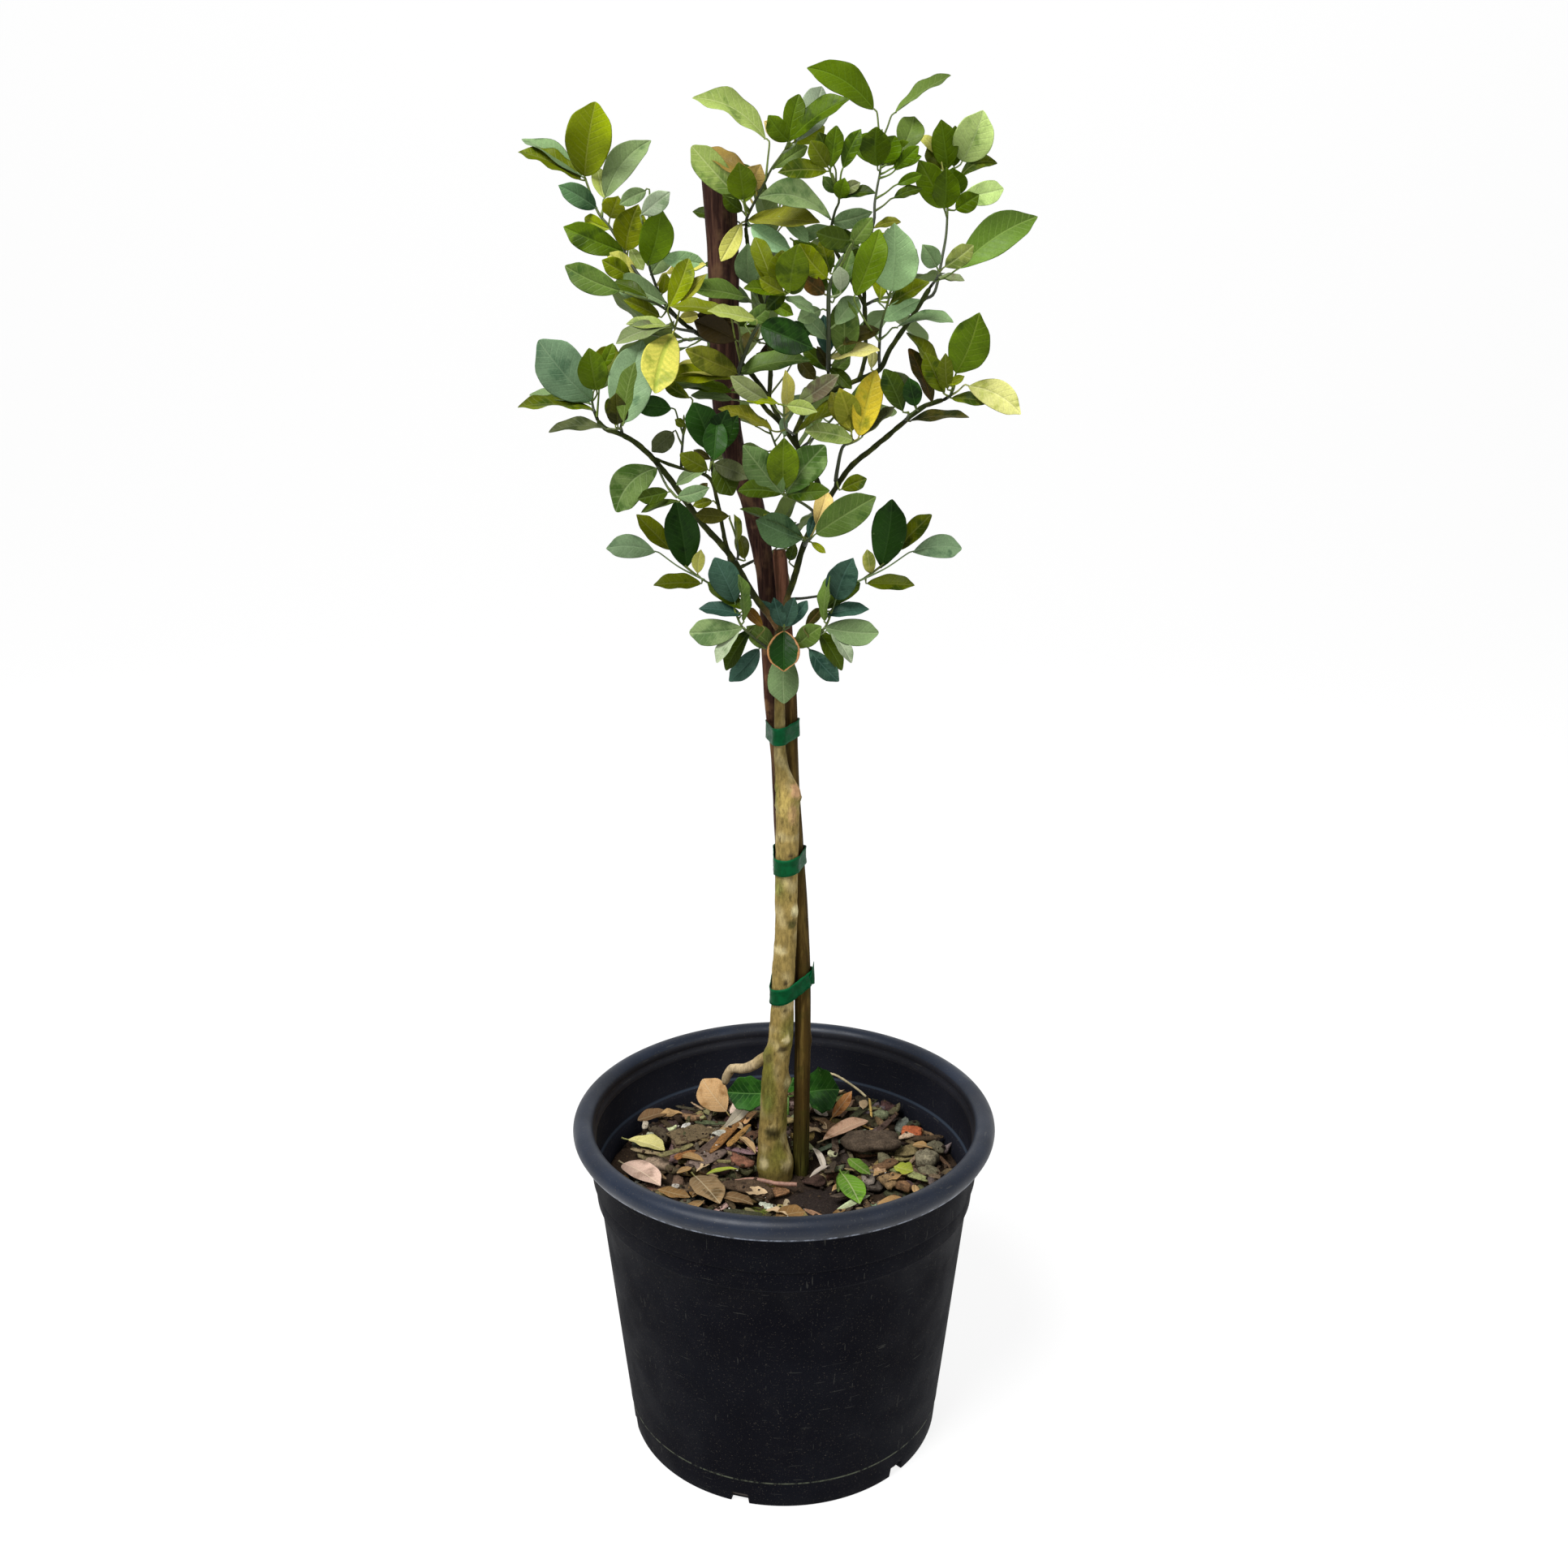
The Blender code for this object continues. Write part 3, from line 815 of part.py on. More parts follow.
def grow_tree():
    """The trunk's scraps, and each shoot's twig and leaves, all clear of one another."""
    crowd = Crowd()
    crowd.add("tall_stake", *upright(TALL_STAKE, 10))
    crowd.add("short_stake", *upright(SHORT_STAKE, 10))
    trunk = [upright(TRUNK, TRUNK_SIDES, knot_rise)]
    for start, end, route in LIMBS.values():
        points = [seen(*place) for place in route]
        trunk.append(tube(points, [r * CM for r in tapered(len(points), start, end)], LIMB_SIDES))
    shoots = {}
    for name, (radius, route, content) in {**SHOOTS, **BACK_SHOOTS}.items():
        spur, twig = cut_route([seen(*place) for place in route], SPUR)
        trunk.append(tube(spur, [radius * CM * 1.1] * len(spur), TWIG_SIDES))
        twig[0] = twig[0] + (twig[1] - twig[0]).normalized() * GAP
        radii = [r * CM for r in tapered(len(twig), radius, radius * 0.7)]
        shoots[name] = (twig, radii, content)
        crowd.add(name, *tube(twig, radii, TWIG_SIDES))
    for verts, faces in trunk:
        crowd.add("trunk", verts, faces)
    draw = random.Random(BACK_SEED)
    grown = {}
    for name, (twig, radii, content) in shoots.items():
        if name in SHOOTS:
            leaves = front_leaves(name, content, twig, crowd)
        else:
            leaves = back_leaves(name, content, twig, crowd, draw)
        grown[name] = (twig, radii, leaves)
    return trunk, grown


def make_tree():
    trunk, grown = grow_tree()
    body = piece("trunk", *trunk[0], BARK, 0.75)
    combine(body, [piece("limb", *solid) for solid in trunk[1:]], "UNION", WOOD_FLATNESS)
    for name, (twig, radii, leaves) in grown.items():
        colour = [sum(TINTS[tint][c] for tint, _ in leaves) / max(len(leaves), 1) for c in range(3)]
        shoot = piece(name, *tube(twig, radii, TWIG_SIDES), colour, 0.45)
        combine(shoot, [piece("leaf", *leaf.solid()) for _, leaf in leaves], "UNION")


def taper_radius(height):
    """Outer radius of the pot's plain taper."""
    return FOOT_RADIUS + (STEP_RADIUS - FOOT_RADIUS) * height / STEP_HEIGHT


def wall_inside(height):
    """Inner radius of the pot under its ledge."""
    return taper_radius(height) - WALL


def rim_arc(start, end, count):
    """Points on the rolled rim, angles in degrees from straight out."""
    middle = RIM_RADIUS - RIM_ROLL
    centre = POT_HEIGHT - RIM_ROLL
    points = []
    for k in range(count):
        angle = math.radians(start + (end - start) * k / (count - 1))
        points.append((middle + RIM_ROLL * math.cos(angle), centre + RIM_ROLL * math.sin(angle)))
    return points


def make_pot():
    band = taper_radius(FOOT_BAND)
    rim_foot = POT_HEIGHT - 2.1 * RIM_ROLL
    outside = [(0.0, 0.0), (FOOT_RADIUS - 0.001, 0.0), (FOOT_RADIUS, 0.0012),
               (band - 0.0008, FOOT_BAND - 0.002), (band, FOOT_BAND), (STEP_RADIUS, STEP_HEIGHT),
               (LEDGE_RADIUS, STEP_HEIGHT + 0.002), (LEDGE_RADIUS + 0.0012, COLLAR_FOOT - 0.002),
               (COLLAR_RADIUS - 0.0006, COLLAR_FOOT), (COLLAR_RADIUS, rim_foot)]
    inside = [(COLLAR_RADIUS - WALL - 0.0018, rim_foot), (LEDGE_RADIUS - 0.0005, COLLAR_FOOT),
              (wall_inside(STEP_HEIGHT) + 0.0012, COLLAR_FOOT - 0.002),
              (wall_inside(STEP_HEIGHT), STEP_HEIGHT), (wall_inside(FLOOR), FLOOR), (0.0, FLOOR)]
    verts, faces = lathe(outside + rim_arc(-60, 200, RIM_POINTS) + inside, POT_SIDES)
    pot = piece("pot", verts, faces, (0.012, 0.013, 0.018), 0.5, True)
    notches = []
    for k in range(NOTCH_COUNT):
        bearing = NOTCH_FIRST + math.tau * k / NOTCH_COUNT
        verts, faces = block(NOTCH_SIZE[0], NOTCH_SIZE[1], 2 * NOTCH_SIZE[2], NOTCH_TOP)
        place = Matrix.Rotation(bearing, 4, "Z") @ Matrix.Translation((0.0, -FOOT_RADIUS, 0.0))
        notches.append(piece("notch", [place @ v for v in verts], faces))
    combine(pot, notches, "DIFFERENCE")
    return pot


def block(length, width, height, top):
    """A block about the origin, whose upper face is a share of the lower one's length."""
    verts = [Vector((sx * length / 2 * share, sy * width / 2, sz * height / 2))
             for sz, share in ((-1, 1.0), (1, top)) for sx, sy in ((-1, -1), (1, -1), (1, 1), (-1, 1))]
    faces = [(3, 2, 1, 0), (4, 5, 6, 7), (0, 1, 5, 4), (1, 2, 6, 5), (2, 3, 7, 6), (3, 0, 4, 7)]
    return verts, faces


def stem_holes(high):
    """Plain upright holes for the trunk and the two stakes, from their feet up."""
    holes = []
    for rings in (TRUNK, SHORT_STAKE, TALL_STAKE):
        buried = [ring for ring in rings if ring[1] < BURIED]
        places = [seen(across, up, depth) for across, up, depth, _ in buried]
        radii = [radius * CM * size_at(depth) for _, _, depth, radius in buried]
        middle = sum(places, Vector()) / len(places)
        reach = max((place.xy - middle.xy).length + radius for place, radius in zip(places, radii))
        if rings is TRUNK:
            reach += FLARE_ROOM
        radius = (reach + GAP) / math.cos(math.pi / HOLE_SIDES)
        foot = min(place.z for place in places) - GAP
        ends = [Vector((middle.x, middle.y, foot)), Vector((middle.x, middle.y, high))]
        holes.append((middle, radius, tube(ends, [radius] * 2, HOLE_SIDES)))
    return holes


def make_soil():
    bottom = FLOOR + GAP
    profile = [(0.0, bottom), (wall_inside(bottom) - 2 * GAP, bottom),
               (wall_inside(SOIL_TOP) - 2 * GAP, SOIL_TOP), (0.0, SOIL_TOP)]
    soil = piece("soil", *lathe(profile, POT_SIDES), (0.030, 0.020, 0.012), 0.95)
    combine(soil, [piece("hole", *solid) for _, _, solid in stem_holes(SOIL_TOP + 0.01)], "DIFFERENCE")


def bed_height(x, y):
    """The mulch's rough upper surface."""
    long_wave = math.sin(83 * x + 1.3) * math.cos(71 * y)
    short_wave = 0.6 * math.sin(151 * x - 97 * y) + 0.4 * math.cos(211 * y)
    return MULCH_TOP + MULCH_SWELL * 0.5 * (long_wave + short_wave)


def mulch_bed(edge, bottom):
    """The layer itself: a flat underside and a rough, gently uneven top."""
    verts = []
    for k in range(MULCH_SIDES):
        turn = math.tau * k / MULCH_SIDES
        verts.append((edge * math.sin(turn), -edge * math.cos(turn), bottom))
    for share in MULCH_RINGS:
        for k in range(MULCH_SIDES):
            turn = math.tau * k / MULCH_SIDES
            x, y = edge * share * math.sin(turn), -edge * share * math.cos(turn)
            verts.append((x, y, bed_height(x, y)))
    verts.append((0.0, 0.0, bed_height(0.0, 0.0)))
    faces = [tuple(range(MULCH_SIDES))]
    for ring in range(len(MULCH_RINGS)):
        low = ring * MULCH_SIDES
        for k in range(MULCH_SIDES):
            after = (k + 1) % MULCH_SIDES
            faces.append((low + k, low + after, low + MULCH_SIDES + after, low + MULCH_SIDES + k))
    low = len(MULCH_RINGS) * MULCH_SIDES
    faces += [(low + k, low + (k + 1) % MULCH_SIDES, len(verts) - 1) for k in range(MULCH_SIDES)]
    return verts, faces


def mulch_chips(edge, bottom, holes):
    """Bark chips, half sunk into the layer, clear of the stems."""
    draw = random.Random(MULCH_SEED)
    chips = []
    while len(chips) < CHIP_COUNT:
        turn, reach = draw.uniform(0.0, math.tau), edge * math.sqrt(draw.uniform(0.03, 0.90))
        length, width = draw.uniform(*CHIP_LENGTH), draw.uniform(*CHIP_WIDTH)
        centre = Vector((reach * math.sin(turn), -reach * math.cos(turn), 0.0))
        if any((centre.xy - hole.xy).length < radius + length / 2 + 0.0015 for hole, radius, _ in holes):
            continue
        verts, faces = block(length, width, draw.uniform(*CHIP_THICKNESS), draw.uniform(0.6, 0.9))
        tilt = [Matrix.Rotation(draw.uniform(-CHIP_TILT, CHIP_TILT), 4, axis) for axis in "YX"]
        place = Matrix.Rotation(draw.uniform(0.0, math.tau), 4, "Z") @ tilt[0] @ tilt[1]
        centre.z = bed_height(centre.x, centre.y) + draw.uniform(0.0005, 0.0022)
        verts = [centre + place @ v for v in verts]
        if max(v.xy.length for v in verts) > edge - 0.001 or min(v.z for v in verts) < bottom + 0.001:
            continue
        chips.append(piece("chip", verts, faces))
    return chips


def make_mulch():
    bottom = SOIL_TOP + GAP
    edge = wall_inside(SOIL_TOP) * math.cos(math.pi / POT_SIDES) - 2 * GAP
    holes = stem_holes(MULCH_TOP + 0.03)
    mulch = piece("mulch", *mulch_bed(edge, bottom), (0.110, 0.070, 0.045), 0.9)
    combine(mulch, mulch_chips(edge, bottom, holes), "UNION")
    combine(mulch, [piece("hole", *solid) for _, _, solid in holes], "DIFFERENCE")
    return mulch


def at_height(rings, height):
    """Where a stem is at a height, and its radius."""
    places = [(seen(*ring[:3]), ring[3] * CM * size_at(ring[2])) for ring in rings]
    for (low, low_radius), (high, high_radius) in zip(places, places[1:]):
        if low.z <= height <= high.z:
            share = (height - low.z) / (high.z - low.z)
            return low.lerp(high, share), low_radius + (high_radius - low_radius) * share
    return places[-1]


def tape_corners(height):
    """Where the tape bends round the trunk and the stakes: centre of the stem, way out and radius there."""
    spots = []
    for rings in (TRUNK, SHORT_STAKE, TALL_STAKE):
        centre, radius = at_height(rings, height)
        for k in range(TAPE_POINTS):
            way = Vector((math.sin(math.tau * k / TAPE_POINTS), -math.cos(math.tau * k / TAPE_POINTS), 0.0))
            spots.append((centre + way * radius, centre, way, radius))
    spots.sort(key=lambda spot: (spot[0].x, spot[0].y))
    halves = []
    for row in (spots, spots[::-1]):
        hull = []
        for spot in row:
            while len(hull) > 1 and turns_right(hull[-2][0], hull[-1][0], spot[0]):
                hull.pop()
            hull.append(spot)
        halves += hull[:-1]
    return [spot[1:] for spot in halves]


def turns_right(a, b, c):
    return (b.x - a.x) * (c.y - a.y) - (b.y - a.y) * (c.x - a.x) <= 1e-12


def make_ties():
    for name, (up, rise) in TIES.items():
        height = seen(0.0, up, 0.5).z
        corners = tape_corners(height)
        inner, outer = ([centre + way * (radius + off) for centre, way, radius in corners]
                        for off in (TAPE_OFF, TAPE_OFF + TAPE_THICKNESS))
        left = min(p.x for p in outer)
        span = max(p.x for p in outer) - left
        verts = []
        for near, far in zip(inner, outer):
            lift = ((far.x - left) / span) ** TAPE_CURVE * rise * CM
            for point, half in ((near, -1), (near, 1), (far, 1), (far, -1)):
                verts.append(Vector((point.x, point.y, height + lift + half * TAPE_WIDTH / 2)))
        faces = []
        for k in range(len(corners)):
            low, high = 4 * k, 4 * ((k + 1) % len(corners))
            for j in range(4):
                after = (j + 1) % 4
                faces.append((low + j, low + after, high + after, high + j))
        tie = piece(name, verts, faces, (0.004, 0.130, 0.060), 0.4)
        if name == "tie_low":
            end = max(outer, key=lambda p: p.x - 0.3 * p.y)
            verts, faces = block(*TAPE_TAIL, 1.0)
            place = Vector((end.x + TAPE_THICKNESS * 0.2, end.y, height + rise * CM + TAIL_LIFT))
            combine(tie, [piece("tail", [place + v for v in verts], faces)], "UNION")


def on_bed(across, up, level):
    """The place on the mulch, at this height, that is seen at (across, up)."""
    place = Vector((across * CM, 0.0, up * CM))
    return EYE + (place - EYE) * ((EYE.z - level) / (EYE.z - place.z))


def object_tree(obj):
    return tree_of([v.co for v in obj.data.vertices], [tuple(p.vertices) for p in obj.data.polygons])


def drop(obj, ground):
    """Lowers or lifts an object until it lies just clear of the ground's pieces, and adds it to them."""
    up = Vector((0.0, 0.0, 1.0))
    own = object_tree(obj)
    trees = [object_tree(other) for other in ground]
    room = math.inf
    for other, tree in zip(ground, trees):
        for vert in obj.data.vertices:
            hit = tree.ray_cast(vert.co + up * 0.1, -up)[0]
            if hit:
                room = min(room, vert.co.z - hit.z)
        for vert in other.data.vertices:
            hit = own.ray_cast(vert.co - up * 0.1, up)[0]
            if hit:
                room = min(room, hit.z - vert.co.z)
    obj.data.transform(Matrix.Translation(-up * room))
    while any(tree.overlap(object_tree(obj)) for tree in trees):
        obj.data.transform(Matrix.Translation(up * GAP / 2))
    obj.data.transform(Matrix.Translation(up * GAP))
    ground.append(obj)


def make_litter(mulch):
    ground = [mulch]
    for name, (colour, spot, length, width, height, heading) in LUMPS.items():
        verts, faces = block(length * CM, width * CM, height * CM, LUMP_TOP)
        spot = on_bed(*spot, LITTER_LEVEL)
        place = Matrix.Translation(spot) @ Matrix.Rotation(math.radians(heading), 4, "Z")
        lump = piece(name, [place @ v for v in verts], faces, colour, 0.85)
        bm = bmesh.new()
        bm.from_mesh(lump.data)
        bmesh.ops.bevel(bm, geom=bm.edges[:], offset=height * CM * LUMP_BEVEL, segments=1, affect="EDGES")
        bm.to_mesh(lump.data)
        bm.free()
        drop(lump, ground)
    for name, (colour, start, end, width, rise) in FALLEN.items():
        base, tip = (on_bed(*spot, LITTER_LEVEL) for spot in (start, end))
        along = (tip - base).normalized()
        leaf = Leaf(base - along * FALLEN_STALK, base, tip, Vector((0.0, 0.0, 1.0)), width * CM,
                    FALLEN_FOLD, rise * CM / (tip - base).length)
        drop(piece(name, *leaf.solid(), colour, 0.6), ground)
    for name, (colour, start, end, width) in STANDING.items():
        base, tip = seen(*start), seen(*end)
        along = (tip - base).normalized()
        leaf = Leaf(base - along * STANDING_STALK, base, tip, turned_to_front(base, tip),
                    width * CM * size_at(start[2]), STANDING_FOLD, STANDING_ARCH)
        drop(piece(name, *leaf.solid(), colour, 0.6), ground)
    colour, start, leaves = WEED
    crown = seen(*start)
    foot = Vector((crown.x, crown.y, MULCH_TOP))
    weed = piece("weed", *tube([foot, crown], [0.0010, 0.0010], 5), colour, 0.5)
    blades = []
    for base, tip, width in leaves:
        base, tip = seen(*base), seen(*tip)
        root = crown - Vector((0.0, 0.0, WEED_STALK))
        blades.append(Leaf(root, base, tip, turned_to_front(base, tip), width * CM, WEED_FOLD, WEED_ARCH))
    combine(weed, [piece("blade", *blade.solid()) for blade in blades], "UNION")
    drop(weed, ground)
    colour, route, radius = TWIG
    points = [on_bed(*spot, TWIG_LEVEL) for spot in route]
    drop(piece("twig_fallen", *tube(points, [radius * CM] * len(points), 6), colour, 0.8), ground)
    colour, route, radius = STRAW
    points = smooth_route([seen(*spot) for spot in route])
    drop(piece("straw", *tube(points, [radius * CM] * len(points), 5), colour, 0.6), ground)


def main():
    for obj in list(bpy.data.objects):
        bpy.data.objects.remove(obj)
    make_pot()
    make_soil()
    mulch = make_mulch()
    piece("stake_short", *upright(SHORT_STAKE, STAKE_SIDES), (0.100, 0.060, 0.022), 0.8)
    piece("stake_tall", *upright(TALL_STAKE, STAKE_SIDES), (0.060, 0.028, 0.015), 0.85)
    make_ties()
    make_tree()
    make_litter(mulch)


main()
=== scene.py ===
"""The looks of a potted citrus tree: nursery pot, mulch, bark, stakes, ties and leaves in a plain studio.

Metres, +Z up, -Y towards the camera. The tree's tables are in centimetres, as (across, up, depth): across and
up are read in the upright plane through the trunk, and seen() carries a place to its own depth.
"""

import json
import math
import random

import bpy
from mathutils import Matrix, Vector, noise
from mathutils.bvhtree import BVHTree
from mathutils.kdtree import KDTree

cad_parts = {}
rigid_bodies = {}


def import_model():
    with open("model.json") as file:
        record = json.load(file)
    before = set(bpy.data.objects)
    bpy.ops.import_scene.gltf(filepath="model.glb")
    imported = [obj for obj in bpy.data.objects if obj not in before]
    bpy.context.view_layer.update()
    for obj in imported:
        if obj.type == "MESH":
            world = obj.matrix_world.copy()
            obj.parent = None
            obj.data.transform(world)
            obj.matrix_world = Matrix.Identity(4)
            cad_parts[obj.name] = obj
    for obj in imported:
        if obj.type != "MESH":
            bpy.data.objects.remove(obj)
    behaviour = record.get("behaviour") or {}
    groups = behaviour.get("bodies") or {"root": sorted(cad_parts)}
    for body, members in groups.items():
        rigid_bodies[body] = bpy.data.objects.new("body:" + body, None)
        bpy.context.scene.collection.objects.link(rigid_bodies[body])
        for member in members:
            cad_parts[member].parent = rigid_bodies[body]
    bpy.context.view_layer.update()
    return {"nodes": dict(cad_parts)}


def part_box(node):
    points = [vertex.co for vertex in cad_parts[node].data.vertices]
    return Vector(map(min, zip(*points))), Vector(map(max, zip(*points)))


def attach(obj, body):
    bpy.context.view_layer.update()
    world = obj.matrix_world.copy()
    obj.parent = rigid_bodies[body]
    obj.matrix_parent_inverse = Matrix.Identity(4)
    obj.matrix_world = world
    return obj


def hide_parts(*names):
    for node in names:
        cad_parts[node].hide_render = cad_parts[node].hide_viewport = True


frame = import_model()

CM = 0.01
MM = 0.001
UP = Vector((0.0, 0.0, 1.0))

# Camera
EYE = Vector((0.0, -1.0353, 0.8148))
PITCH_DOWN = math.radians(16.0)
LENS = 34.5
SENSOR = 36.0

# Leaves as the solids have them: fold and arch of the blade, and its widest and narrowest share of its length
FOLD = 0.28
ARCH = 0.05
BROAD = 0.52
SLIM = 0.42
# Twigs as the solids have them, in metres: the stub on the limb, the gap after it, and where leaves may start
SPUR = 0.006
GAP = 0.0003
ROOT_START = 0.0015


def size_at(depth):
    """How much larger a piece is at this depth than it looks in the trunk's plane."""
    return 1.0 + depth * CM / -EYE.y


def seen(across, up, depth=0.0):
    """The place at a depth that is seen where (across, up) lies in the trunk's plane, all in cm."""
    flat = Vector((across * CM, 0.0, up * CM))
    return EYE + (flat - EYE) * size_at(depth)


def around(radius, angle, height=0.0):
    """A place on a level circle, with the angle in radians from the front towards +X."""
    return radius * math.sin(angle), -radius * math.cos(angle), height


# Upright stems: (across, up, depth, radius), in cm
TRUNK = [
    (-0.66, 12.5, 0.0, 1.05), (-0.66, 19.0, 0.0, 1.28), (-0.66, 21.0, 0.0, 1.36), (-0.80, 22.4, 0.0, 1.22),
    (-0.88, 23.8, 0.0, 1.10), (-0.81, 25.5, 0.0, 1.05), (-0.72, 27.4, 0.0, 1.02), (-0.65, 29.0, 0.0, 1.00),
    (-0.48, 30.5, 0.0, 0.95), (-0.25, 32.0, 0.0, 0.925), (-0.12, 34.5, 0.0, 0.85), (-0.03, 37.5, 0.0, 0.85),
    (0.12, 40.0, 0.0, 0.81), (0.16, 42.2, 0.0, 0.82), (0.19, 45.0, 0.0, 0.82), (0.25, 48.8, 0.0, 0.845),
    (0.22, 50.4, 0.0, 0.87), (0.18, 51.6, 0.0, 0.84), (-0.12, 52.9, 0.0, 0.52), (-0.29, 54.5, 0.1, 0.42),
    (-0.30, 57.5, 0.1, 0.37), (-0.30, 60.5, 0.0, 0.35), (-0.27, 62.4, -0.2, 0.40),
    (-0.22, 63.6, -0.4, 0.30),
]
# Knots and scars: height in cm, bearing in degrees from the front towards +X, rise and spread in cm
KNOTS = [
    (42.2, 38, 0.24, 0.60), (32.1, 26, 0.14, 0.50), (28.4, 80, 0.24, 0.45), (24.6, -2, 0.10, 0.60),
    (21.9, 55, 0.26, 0.70), (21.2, -60, 0.18, 0.60), (51.0, 60, 0.22, 0.60), (38.8, -30, 0.08, 0.45),
    (46.7, 15, 0.06, 0.35), (36.7, 12, 0.05, 0.35), (30.6, -72, 0.20, 0.55), (26.5, 170, 0.16, 0.60),
    (40.8, 200, 0.20, 0.60),
]
SHORT_STAKE = [
    (1.30, 11.0, 0.60, 0.60), (1.30, 21.0, 0.60, 0.62), (1.34, 25.0, 0.60, 0.62), (1.41, 32.0, 0.75, 0.61),
    (1.36, 37.3, 1.00, 0.60), (1.16, 42.0, 1.30, 0.60), (0.92, 45.75, 1.50, 0.59), (0.66, 50.0, 1.70, 0.56),
    (0.56, 52.0, 1.65, 0.53), (0.53, 54.5, 1.55, 0.47), (0.48, 57.5, 1.45, 0.45), (0.20, 62.0, 1.35, 0.47),
    (-0.28, 68.0, 1.30, 0.50), (-0.30, 68.5, 1.30, 0.42),
]
TALL_STAKE = [
    (-0.60, 10.5, 2.60, 0.58), (-0.60, 25.0, 2.60, 0.60), (-0.30, 32.0, 2.60, 0.60),
    (-0.05, 40.0, 2.70, 0.60), (0.00, 45.0, 2.75, 0.60), (-0.10, 48.8, 2.80, 0.60),
    (-0.22, 51.3, 2.70, 0.60), (-0.42, 54.5, 2.55, 0.58), (-0.84, 57.7, 2.40, 0.54),
    (-0.96, 60.8, 2.40, 0.56), (-1.15, 66.0, 2.50, 0.68), (-1.46, 68.2, 2.50, 0.72),
    (-1.72, 69.45, 2.40, 0.74), (-2.22, 71.9, 2.30, 0.80), (-3.25, 74.65, 2.20, 0.85),
    (-3.72, 76.6, 2.20, 0.88), (-3.90, 80.0, 2.20, 0.93), (-3.95, 86.0, 2.10, 1.00),
    (-4.05, 89.5, 2.00, 1.04), (-4.28, 92.6, 1.90, 1.06), (-4.32, 93.5, 1.90, 0.85),
]

# Limbs: start and end radius in cm, then the route
LIMBS = {
    "left": (0.21, 0.12, [
        (-0.25, 62.8, -0.2), (-1.05, 64.0, -0.8), (-1.97, 65.2, -1.2), (-3.76, 68.2, -2.0),
        (-5.66, 70.4, -2.6), (-7.75, 73.3, -3.0), (-9.4, 75.2, -3.3), (-10.85, 76.2, -3.5),
        (-12.0, 76.6, -3.6), (-12.5, 77.2, -3.7)]),
    "left_inner": (0.12, 0.09, [
        (-3.76, 68.2, -2.0), (-4.1, 69.4, -2.3), (-4.33, 70.9, -2.8), (-4.7, 72.6, -3.6),
        (-4.85, 73.8, -4.2)]),
    "left_cross": (0.10, 0.08, [
        (-4.7, 72.6, -3.6), (-5.2, 73.5, -3.6), (-6.95, 74.0, -3.4), (-8.0, 74.35, -3.1),
        (-8.95, 74.75, -3.2)]),
    "right": (0.20, 0.12, [
        (-0.22, 63.0, -0.3), (0.22, 65.1, -0.5), (0.71, 66.6, -0.7), (1.31, 68.7, -0.9), (2.15, 70.5, -1.0),
        (3.45, 72.6, -1.1), (4.6, 74.2, -1.2), (5.9, 75.25, -1.3), (7.35, 76.45, -1.6), (9.1, 77.9, -2.0),
        (10.0, 78.3, -2.2), (10.7, 78.5, -2.3)]),
    "leader": (0.17, 0.13, [
        (2.6, 71.2, -1.05), (2.5, 72.4, 0.2), (1.9, 73.8, 1.4), (1.0, 75.2, 2.4), (0.75, 76.2, 2.6),
        (1.1, 77.1, 2.4), (1.75, 78.3, 2.0), (3.1, 79.0, 1.4), (5.0, 79.8, 0.8), (6.35, 80.45, 0.4),
        (7.0, 81.7, 0.3), (8.2, 83.45, 0.3), (9.0, 84.7, 0.4), (9.55, 85.6, 0.5)]),
    "inner_left": (0.14, 0.11, [
        (1.0, 75.2, 2.4), (-0.2, 76.9, 2.2), (-1.3, 78.0, 1.4), (-2.2, 79.2, 0.2), (-2.7, 79.9, -0.8)]),
    "behind": (0.15, 0.11, [
        (-0.2, 76.9, 2.2), (-1.0, 78.6, 4.0), (-2.6, 80.6, 4.9), (-4.3, 82.0, 4.6), (-5.8, 82.8, 3.2),
        (-6.9, 83.6, 1.8), (-8.0, 84.8, 1.2), (-8.7, 85.6, 1.0)]),
    "middle_back": (0.14, 0.10, [
        (-1.0, 78.6, 4.0), (-0.9, 81.0, 4.6), (-1.3, 84.0, 4.4), (-2.1, 87.0, 2.8), (-2.45, 88.9, 0.9),
        (-2.45, 89.3, 0.4)]),
    "right_stem": (0.12, 0.10, [
        (3.1, 79.0, 1.4), (2.95, 79.6, 0.2), (2.95, 80.2, -0.8)]),
    "right_back": (0.13, 0.10, [
        (5.0, 79.8, 0.8), (5.4, 81.5, 2.2), (5.3, 84.5, 2.8), (5.2, 87.2, 2.0), (5.6, 88.7, 1.0)]),
    "top_back": (0.11, 0.09, [
        (5.3, 84.5, 2.8), (4.2, 86.4, 2.6), (3.3, 88.0, 1.0), (3.05, 88.8, 0.0)]),
    "back_low": (0.13, 0.11, [
        (1.9, 73.8, 1.4), (1.6, 73.6, 3.2), (1.0, 72.8, 5.6), (0.6, 72.0, 7.4)]),
    "back_foot": (0.12, 0.10, [
        (-3.76, 68.2, -2.0), (-3.7, 67.6, 1.2), (-3.2, 67.3, 4.2), (-2.6, 67.5, 6.2)]),
    "dead_stub": (0.44, 0.32, [
        (-0.7, 30.5, 0.0), (-1.5, 30.25, 0.2), (-2.3, 29.65, 0.6), (-3.1, 29.35, 1.2), (-3.9, 29.35, 1.8),
        (-4.35, 28.7, 2.1), (-4.5, 28.1, 2.2)]),
}

